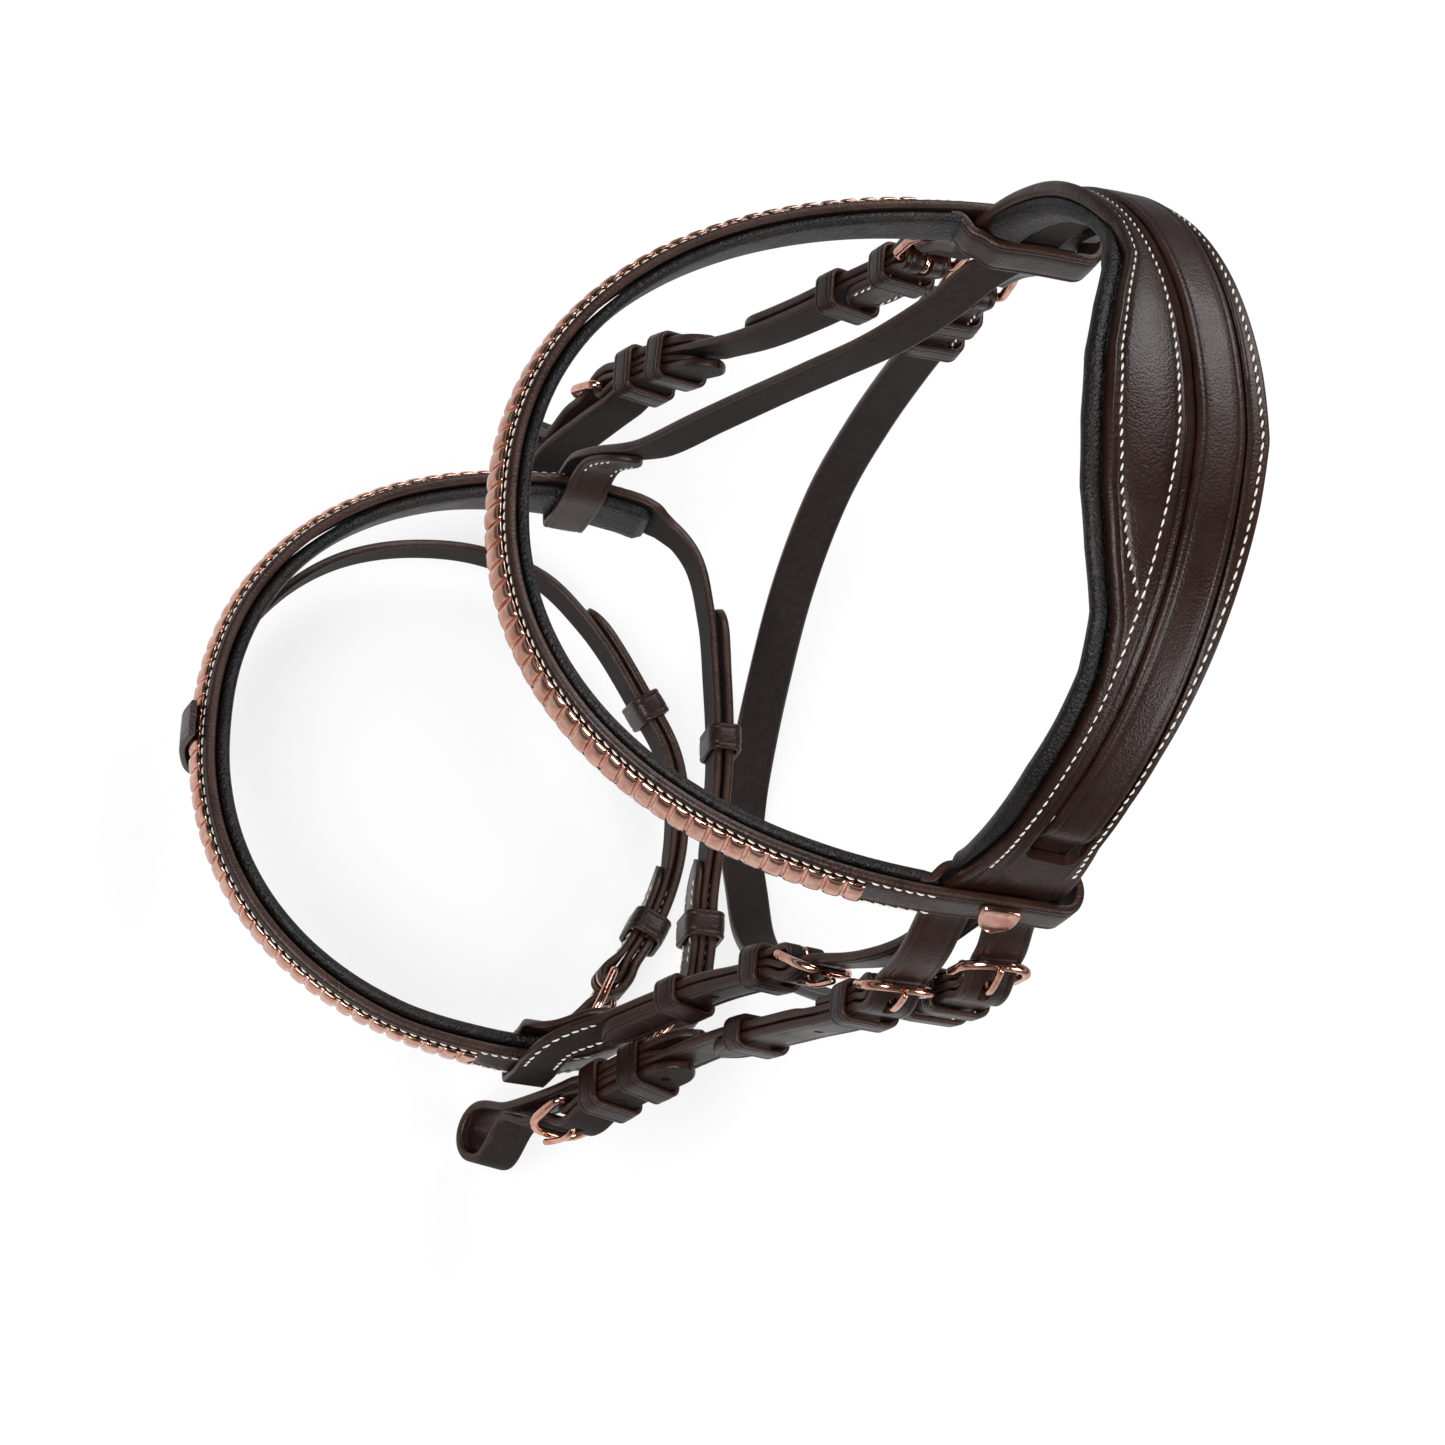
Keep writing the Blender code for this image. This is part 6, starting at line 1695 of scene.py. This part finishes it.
def keepers():
    """Every keeper: its name, route, station, the lowest height inside it and the width."""
    r = routes()
    plain, under = PLAIN_HIGH - STRAP_THICK / 2, -LAYER_GAP - STRAP_THICK
    throat, rows = r["throat"], []
    for side, (prefix, heel, tail) in SIDES.items():
        cheek, bit, slide = r["cheeks"][side], heel + CHEEK_LONG, heel + tail * CHEEK_SLIDES[side]
        low = plain if slide > heel + CHEEK_TURN + KEEPER_LONG else 0.0
        rows += [(prefix + "_cheek_fixed", cheek, heel + KEEPER_BACK, 0.0, CHEEK_WIDE),
                 (prefix + "_cheek_sliding", cheek, slide, low, CHEEK_WIDE),
                 (prefix + "_bit_fixed", cheek, bit - KEEPER_BACK, under, CHEEK_WIDE),
                 (prefix + "_bit_sliding", cheek, bit - KEEPER_BACK * 2.2, under, CHEEK_WIDE)]
    for prefix, heel, nose in (("near_throat", THROAT_HEEL, -1),
                               ("off_throat", throat.length - OFF_THROAT_HEEL, 1)):
        rows += [(f"{prefix}_{kind}", throat, heel - nose * KEEPER_BACK * share, 0.0,
                  THROAT_WIDE) for kind, share in (("fixed", 1.4), ("sliding", 2.6))]
    slip, nose, flash = r["slip"], r["nose"], r["flash"]
    heel = r["crossings"][0] + HANGER_HEEL
    return rows + [
        ("near_hanger_fixed", slip, heel - KEEPER_BACK, 0.0, HANGER_WIDE),
        ("near_hanger_sliding", slip, heel - HANGER_TAIL * HANGER_SLIDE, plain, HANGER_WIDE),
        ("chin_fixed", nose, -CHIN_HEEL - KEEPER_BACK * 1.6, 0.0, CHIN_WIDE),
        ("chin_sliding", nose, -CHIN_HEEL - CHIN_TAIL * CHIN_SLIDE, plain, CHIN_WIDE),
        ("flash_fixed", flash, -FLASH_HEEL - KEEPER_BACK * 1.4, 0.0, FLASH_WIDE),
        ("flash_sliding", flash, -FLASH_HEEL - FLASH_TAIL * FLASH_SLIDE, plain, FLASH_WIDE)]


def edge_rows(route, first, last, wide, height, side=1, inset=STITCH_INSET):
    """Two stitch rows, one along each edge of a strap."""
    stations = stitch_stations(first, last)
    return [(route, stations, shift, height, side)
            for shift in (wide / 2 - inset, inset - wide / 2)]


def chape_rows(route, heel, nose, turn, wide):
    """The stitches that close a chape, seen on its outer and on its inner face."""
    first = heel - nose * (CHAPE_TAPER + 0.003)
    last = heel - nose * (turn - TIP_LONG * 0.75)
    return edge_rows(route, first, last, wide, DOUBLED) \
        + edge_rows(route, first, last, wide, 0.0, -1)


def band_rows(route, stops, wide, thick, inset):
    """Stitch rows along the edges of a band at an inset, and closer to the clinchers between
    the two middle stops."""
    first, begin, end, last = stops
    beside = (wide - CLINCHER_WIDE) / 2 - STITCH_BESIDE
    return edge_rows(route, first, begin, wide, thick, inset=inset) \
        + edge_rows(route, end, last, wide, thick, inset=inset) \
        + edge_rows(route, begin, end, wide, thick, inset=beside)


class BridleLooks(bpy.types.PropertyGroup):
    """Colours and small sizes of the bridle's finishes."""

    havana_colour: bpy.props.FloatVectorProperty(
        name="Havana leather", description="Colour of the straps",
        default=(0.0175, 0.0064, 0.0044), **COLOUR)
    padding_colour: bpy.props.FloatVectorProperty(
        name="Padding leather", description="Colour of the soft rolls",
        default=(0.0034, 0.0029, 0.0030), **COLOUR)
    metal_colour: bpy.props.FloatVectorProperty(
        name="Rose gold", description="Colour of the buckles and clinchers",
        default=(0.84, 0.49, 0.385), **COLOUR)
    thread_colour: bpy.props.FloatVectorProperty(
        name="Thread", description="Colour of the stitches", default=(0.76, 0.73, 0.67),
        **COLOUR)
    # How pale the strap edges are painted: partly rubbed wear, partly a painted highlight on the
    # rounded edges
    edge_wear_and_highlight: bpy.props.FloatProperty(
        name="Edge wear", description="How far the strap edges have rubbed pale", default=0.38,
        min=0, max=1, subtype="FACTOR")
    havana_roughness: bpy.props.FloatProperty(
        name="Leather roughness", description="Roughness of the waxed leather", default=0.36,
        min=0.1, max=1, subtype="FACTOR")
    metal_roughness: bpy.props.FloatProperty(
        name="Metal roughness", description="Roughness of the polished metal", default=0.12,
        min=0.06, max=1, subtype="FACTOR")
    grain_strength: bpy.props.FloatProperty(
        name="Grain", description="Strength of the leather grain", default=0.55, min=0, max=1,
        subtype="FACTOR")
    stitch_long: bpy.props.FloatProperty(
        name="Stitch length", description="Length of one stitch", default=0.0025, min=0.001,
        max=0.006, **LENGTH)
    stitch_thick: bpy.props.FloatProperty(
        name="Thread thickness", description="Thickness of the thread", default=0.00075,
        min=0.0003, max=0.002, **LENGTH)
    stitch_pitch: bpy.props.FloatProperty(
        name="Stitch pitch", description="Distance from one stitch to the next",
        default=0.0033, min=0.0015, max=0.01, **LENGTH)


class StageLooks(bpy.types.PropertyGroup):
    """Light and floor of the studio."""

    lamp_power: bpy.props.FloatProperty(
        name="Lamp power", description="Power of the main lamp", default=28.0, min=0,
        subtype="POWER", unit="POWER")
    lamp_size: bpy.props.FloatProperty(
        name="Lamp size", description="Side of each lamp", default=0.9, min=0.05, **LENGTH)
    room_light: bpy.props.FloatProperty(
        name="Room light", description="Strength of the even light all round", default=0.20,
        min=0, max=2)
    floor_high: bpy.props.FloatProperty(
        name="Floor height", description="Height of the floor", default=-0.4082, max=0,
        **LENGTH)


class DressHeadpiece(bpy.types.Operator):
    """Makes the headpiece's leather with its billets, its padding and its stitches"""

    bl_idname = "bridle.dress_headpiece"
    bl_label = "Headpiece"

    def execute(self, context):
        r = routes()
        route, slip = r["headpiece"], r["slip"]
        place(headpiece_leather(route, slip, r["cheeks"], r["throat"]))
        place_padding(headpiece_padding(route, slip))
        drop = route.nearest(arch_point(0))
        begin = drop + BROWBAND_WIDE / 2 + REAR_ROW_START
        lower = begin - FRONT_ROW_LONGER
        stations = stitch_stations(lower, route.length - lower)
        angle = arch_angle_at(route, stations)
        low_cut = drop + SLOT_SET_UP + SLOT_LONG / 2
        cut_here = (stations > low_cut) & (stations < route.length - low_cut)
        shifts = crown_rows(angle)
        heights = crown_heights(np.stack(shifts, 1), angle, cut_here)
        apart = shifts[1] - shifts[0] > ROWS_APART
        met = angle[~apart & (angle < math.pi / 2)].max()
        keeps = (apart & (angle > met), stations > 0,
                 (stations > begin) & (stations < route.length - begin))
        stitch_rows("headpiece_stitches", [
            (route, stations[keep], shifts[k][keep], heights[keep, k], 1)
            for k, keep in enumerate(keeps)])
        return {"FINISHED"}


class DressSliphead(bpy.types.Operator):
    """Makes the sliphead, the near hanger and their stitches"""

    bl_idname = "bridle.dress_sliphead"
    bl_label = "Sliphead and hanger"

    def execute(self, context):
        r = routes()
        route, crossings = r["slip"], r["crossings"]
        for piece in sliphead_straps(route, crossings):
            place(piece)
        rows = chape_rows(route, crossings[0] + HANGER_HEEL, 1, HANGER_TURN, HANGER_WIDE)
        for cross, way in zip(crossings, (-1, 1)):
            rows += hanger_stitches(route, cross, way)
        stitch_rows("sliphead_stitches", rows)
        return {"FINISHED"}


class DressBrowband(bpy.types.Operator):
    """Makes the browband's leather, roll, clinchers, badge and stitches"""

    bl_idname = "bridle.dress_browband"
    bl_label = "Browband"

    def execute(self, context):
        route = routes()["brow"]
        start = route.nearest(route.line[0] * (1, 0, 1))
        far = route.length - start
        first = start + BROW_PAD_START - 0.004
        begin, end = start + BROW_CLINCHER_START, far - BROW_CLINCHER_END
        place(browband_strap(route, start))
        place_padding(band_padding("finished_browband_padding", route, first,
                                   route.length - first, BROWBAND_WIDE, BROW_PAD_THICK))
        place(clincher_row("finished_browband_clinchers", route, begin, end, BROWBAND_THICK),
              "rose_gold_metal")
        place(shield_badge(route, start), "rose_gold_metal")
        stitch_rows("browband_stitches", band_rows(
            route, (first, begin, end, route.length - first), BROWBAND_WIDE, BROWBAND_THICK,
            BROW_STITCH_INSET))
        return {"FINISHED"}


class DressCheeks(bpy.types.Operator):
    """Makes both cheek straps and both bit straps, with their stitches"""

    bl_idname = "bridle.dress_cheeks"
    bl_label = "Cheek and bit straps"

    def execute(self, context):
        for side, route in routes()["cheeks"].items():
            prefix, heel, _ = SIDES[side]
            for piece in cheek_straps(side, route):
                place(piece)
            rows = chape_rows(route, heel, -1, CHEEK_TURN, CHEEK_WIDE)
            rows += chape_rows(route, heel + CHEEK_LONG, 1, BIT_TURN, CHEEK_WIDE)
            stitch_rows(f"{prefix}_cheek_stitches", rows)
        return {"FINISHED"}


class DressThroatlash(bpy.types.Operator):
    """Makes the throatlash and its stitches"""

    bl_idname = "bridle.dress_throatlash"
    bl_label = "Throatlash"

    def execute(self, context):
        route = routes()["throat"]
        near, off = THROAT_HEEL, route.length - OFF_THROAT_HEEL
        place(doubled_strap("finished_throatlash_strap", route, near, THROAT_TURN, off,
                            THROAT_TURN, THROAT_WIDE))
        rows = chape_rows(route, near, -1, THROAT_TURN, THROAT_WIDE)
        rows += chape_rows(route, off, 1, THROAT_TURN, THROAT_WIDE)
        stitch_rows("throatlash_stitches", rows)
        return {"FINISHED"}


class DressNoseband(bpy.types.Operator):
    """Makes the noseband with its chin strap, roll, clinchers and stitches"""

    bl_idname = "bridle.dress_noseband"
    bl_label = "Noseband"

    def execute(self, context):
        route = routes()["nose"]
        off_side = route.nearest(side_of_nose(OFF))
        off_end, end = off_side + OFF_NOSEBAND_END, off_side - NOSE_CLINCHER_END
        place(noseband_strap(route, off_end))
        place_padding(band_padding("finished_noseband_padding", route, -NOSEBAND_END, off_end,
                                   NOSEBAND_WIDE, NOSE_PAD_THICK))
        place(clincher_row("finished_noseband_clinchers", route, NOSE_CLINCHER_START, end,
                           NOSEBAND_THICK), "rose_gold_metal")
        rows = band_rows(route, (-NOSEBAND_END + 0.002, NOSE_CLINCHER_START, end,
                                 off_end - 0.002), NOSEBAND_WIDE, NOSEBAND_THICK,
                         NOSE_STITCH_INSET)
        rows += chape_rows(route, route.length - CHIN_HEEL, 1, CHIN_TURN, CHIN_WIDE)
        stitch_rows("noseband_stitches", rows)
        return {"FINISHED"}


class DressFlash(bpy.types.Operator):
    """Makes the flash strap, its loop on the noseband and their stitches"""

    bl_idname = "bridle.dress_flash"
    bl_label = "Flash strap"

    def execute(self, context):
        r = routes()
        route = r["flash"]
        place(flash_strap(route))
        place(flash_loop(route, r["nose"]))
        stitch_rows("flash_stitches",
                    chape_rows(route, route.length - FLASH_HEEL, 1, FLASH_TURN, FLASH_WIDE))
        return {"FINISHED"}


class DressBuckles(bpy.types.Operator):
    """Makes every buckle frame and the tongue that swings on it"""

    bl_idname = "bridle.dress_buckles"
    bl_label = "Buckles"

    def execute(self, context):
        for prefix, route, heel, nose, wide in buckles():
            place(buckle_frame(prefix, route, heel, nose, wide), "rose_gold_metal")
            place(buckle_tongue(prefix, route, heel, nose), "rose_gold_metal",
                  f"{prefix}_buckle_tongue")
        return {"FINISHED"}


class DressKeepers(bpy.types.Operator):
    """Makes every fixed and sliding keeper"""

    bl_idname = "bridle.dress_keepers"
    bl_label = "Keepers"

    def execute(self, context):
        high = ON_CHAPE + STRAP_THICK / 2
        for prefix, route, station, low, wide in keepers():
            piece = keeper_loop(f"finished_{prefix}_keeper", route, station, low, high, wide)
            place(piece, body=f"{prefix}_keeper" if "sliding" in prefix else "bridle")
        return {"FINISHED"}


class DressStage(bpy.types.Operator):
    """Sets the floor, the even white room, the lamps and the camera"""

    bl_idname = "bridle.dress_stage"
    bl_label = "Studio"

    def execute(self, context):
        looks = context.scene.stage_looks
        studio_world(looks.room_light)
        studio_floor(looks.floor_high)
        studio_lamps(looks.lamp_power, looks.lamp_size)
        studio_camera()
        return {"FINISHED"}


class BridlePanel(bpy.types.Panel):
    """The bridle's looks, piece by piece"""

    bl_idname = "BRIDLE_PT_looks"
    bl_label = "Bridle looks"
    bl_space_type = "VIEW_3D"
    bl_region_type = "UI"
    bl_category = "Bridle"

    def draw(self, context):
        for group, settings in ((BridleLooks, context.scene.bridle_looks),
                                (StageLooks, context.scene.stage_looks)):
            box = self.layout.box()
            for name in group.__annotations__:
                box.prop(settings, name)
        column = self.layout.column()
        for operator in PIECES:
            column.operator(operator.bl_idname)


def seen_shares(tree):
    """1 for light that shows the surroundings: to the camera or through glass, in gloss, and in
    any of these."""
    rays = node(tree, "ShaderNodeLightPath").outputs
    plain = worked(tree, "MAXIMUM", rays["Is Camera Ray"], rays["Is Transmission Ray"])
    return plain, rays["Is Glossy Ray"], worked(tree, "MAXIMUM", plain, rays["Is Glossy Ray"])


def white_seen(tree, where, shader, share):
    """A shader mixed by a share with a plain white that only the camera, gloss and glass see.
    Gloss sees the white alone, and it falls off away from the middle."""
    _, glossy, seen = seen_shares(tree)
    away = node(tree, "ShaderNodeVectorMath", {0: where}, operation="LENGTH").outputs["Value"]
    dim = worked(tree, "MULTIPLY", glossy, spread(tree, away, 0.30, 0.90, 0.0, 0.88))
    white = node(tree, "ShaderNodeEmission",
                 {"Color": (1, 1, 1, 1), "Strength": worked(tree, "SUBTRACT", 1.0, dim)})
    part = worked(tree, "MULTIPLY", seen, worked(tree, "MAXIMUM", share, glossy))
    return node(tree, "ShaderNodeMixShader",
                {0: part, 1: shader, 2: white.outputs[0]}).outputs[0]


def studio_world(strength):
    """A room of one even light, seen as plain white by the camera and through glass. Gloss sees
    it pale near the floor and dark overhead."""
    world = bpy.data.worlds.new("white room")
    world.use_nodes = True
    tree = world.node_tree
    plain, _, seen = seen_shares(tree)
    where = node(tree, "ShaderNodeTexCoord").outputs["Generated"]
    high = node(tree, "ShaderNodeSeparateXYZ", {0: where}).outputs["Z"]
    shown = worked(tree, "MAXIMUM", plain, spread(tree, high, -0.10, 0.25, 0.75, 0.04))
    even = worked(tree, "MULTIPLY", worked(tree, "SUBTRACT", 1.0, seen), strength)
    level = worked(tree, "ADD", worked(tree, "MULTIPLY", seen, shown), even)
    wired(tree, tree.nodes["Background"], {"Strength": level, "Color": (1, 1, 1, 1)})
    bpy.context.scene.world = world


def studio_floor(high):
    """A broad pale floor that keeps a faint shadow: a flat grid."""
    side = np.linspace(-FLOOR_REACH, FLOOR_REACH, FLOOR_LINES)
    x, y = np.meshgrid(side, side, indexing="ij")
    points = np.stack([x, y, np.full(x.shape, high)], -1).reshape(-1, 3)
    made, tree, shader, where = new_material("pale floor")
    wired(tree, shader, {"Base Color": (0.86, 0.86, 0.86, 1), "Roughness": 0.8})
    shown = white_seen(tree, where, shader.outputs[0], 0.72)
    tree.links.new(shown, tree.nodes["Material Output"].inputs[0])
    faces = quads(FLOOR_LINES, FLOOR_LINES, False, False)[:, ::-1].tolist()
    new_piece("studio_floor", points, faces, (made,))


def studio_lamps(power, size):
    """Three soft square lamps round the bridle."""
    middle = Vector((0.0, -0.08, -0.20))
    for name, where, share in (("main lamp", (0.7, -0.9, 1.1), 1.0),
                               ("fill lamp", (1.0, 0.9, 0.5), 0.45),
                               ("back lamp", (-1.0, 0.3, 0.8), 0.55)):
        data = bpy.data.lights.new(name, "AREA")
        data.energy = power * share
        data.size = size
        lamp = bpy.data.objects.new(name, data)
        lamp.location = where
        lamp.rotation_euler = (middle - lamp.location).to_track_quat("-Z", "Y").to_euler()
        bpy.context.scene.collection.objects.link(lamp)


def studio_camera():
    """The camera, at the place and turn found for the view."""
    data = bpy.data.cameras.new("camera")
    data.sensor_width = 36.0
    data.lens = 139.19
    data.clip_end = 30.0
    camera = bpy.data.objects.new("camera", data)
    right, up, back = (-0.0562, 0.9531, 0.2973), (-0.9356, -0.1542, 0.3177), \
        (0.3487, -0.2603, 0.9004)
    camera.matrix_world = Matrix.Translation((0.6229, -0.5013, 1.3367)) \
        @ Matrix((right, up, back)).transposed().to_4x4()
    bpy.context.scene.collection.objects.link(camera)
    bpy.context.scene.camera = camera
    bpy.context.scene.view_settings.view_transform = "Standard"


PIECES = (DressHeadpiece, DressSliphead, DressBrowband, DressCheeks, DressThroatlash,
          DressNoseband, DressFlash, DressBuckles, DressKeepers, DressStage)
CLASSES = (BridleLooks, StageLooks, *PIECES, BridlePanel)


def register():
    """Registers the classes and gives the scene both groups of settings."""
    for item in CLASSES:
        bpy.utils.register_class(item)
    bpy.types.Scene.bridle_looks = bpy.props.PointerProperty(type=BridleLooks)
    bpy.types.Scene.stage_looks = bpy.props.PointerProperty(type=StageLooks)


def unregister():
    """Takes the settings and the classes away again."""
    del bpy.types.Scene.bridle_looks
    del bpy.types.Scene.stage_looks
    for item in reversed(CLASSES):
        bpy.utils.unregister_class(item)


def main():
    """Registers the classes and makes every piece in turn."""
    register()
    for operator in PIECES:
        group, name = operator.bl_idname.split(".")
        getattr(getattr(bpy.ops, group), name)()


if __name__ == "__main__":
    main()
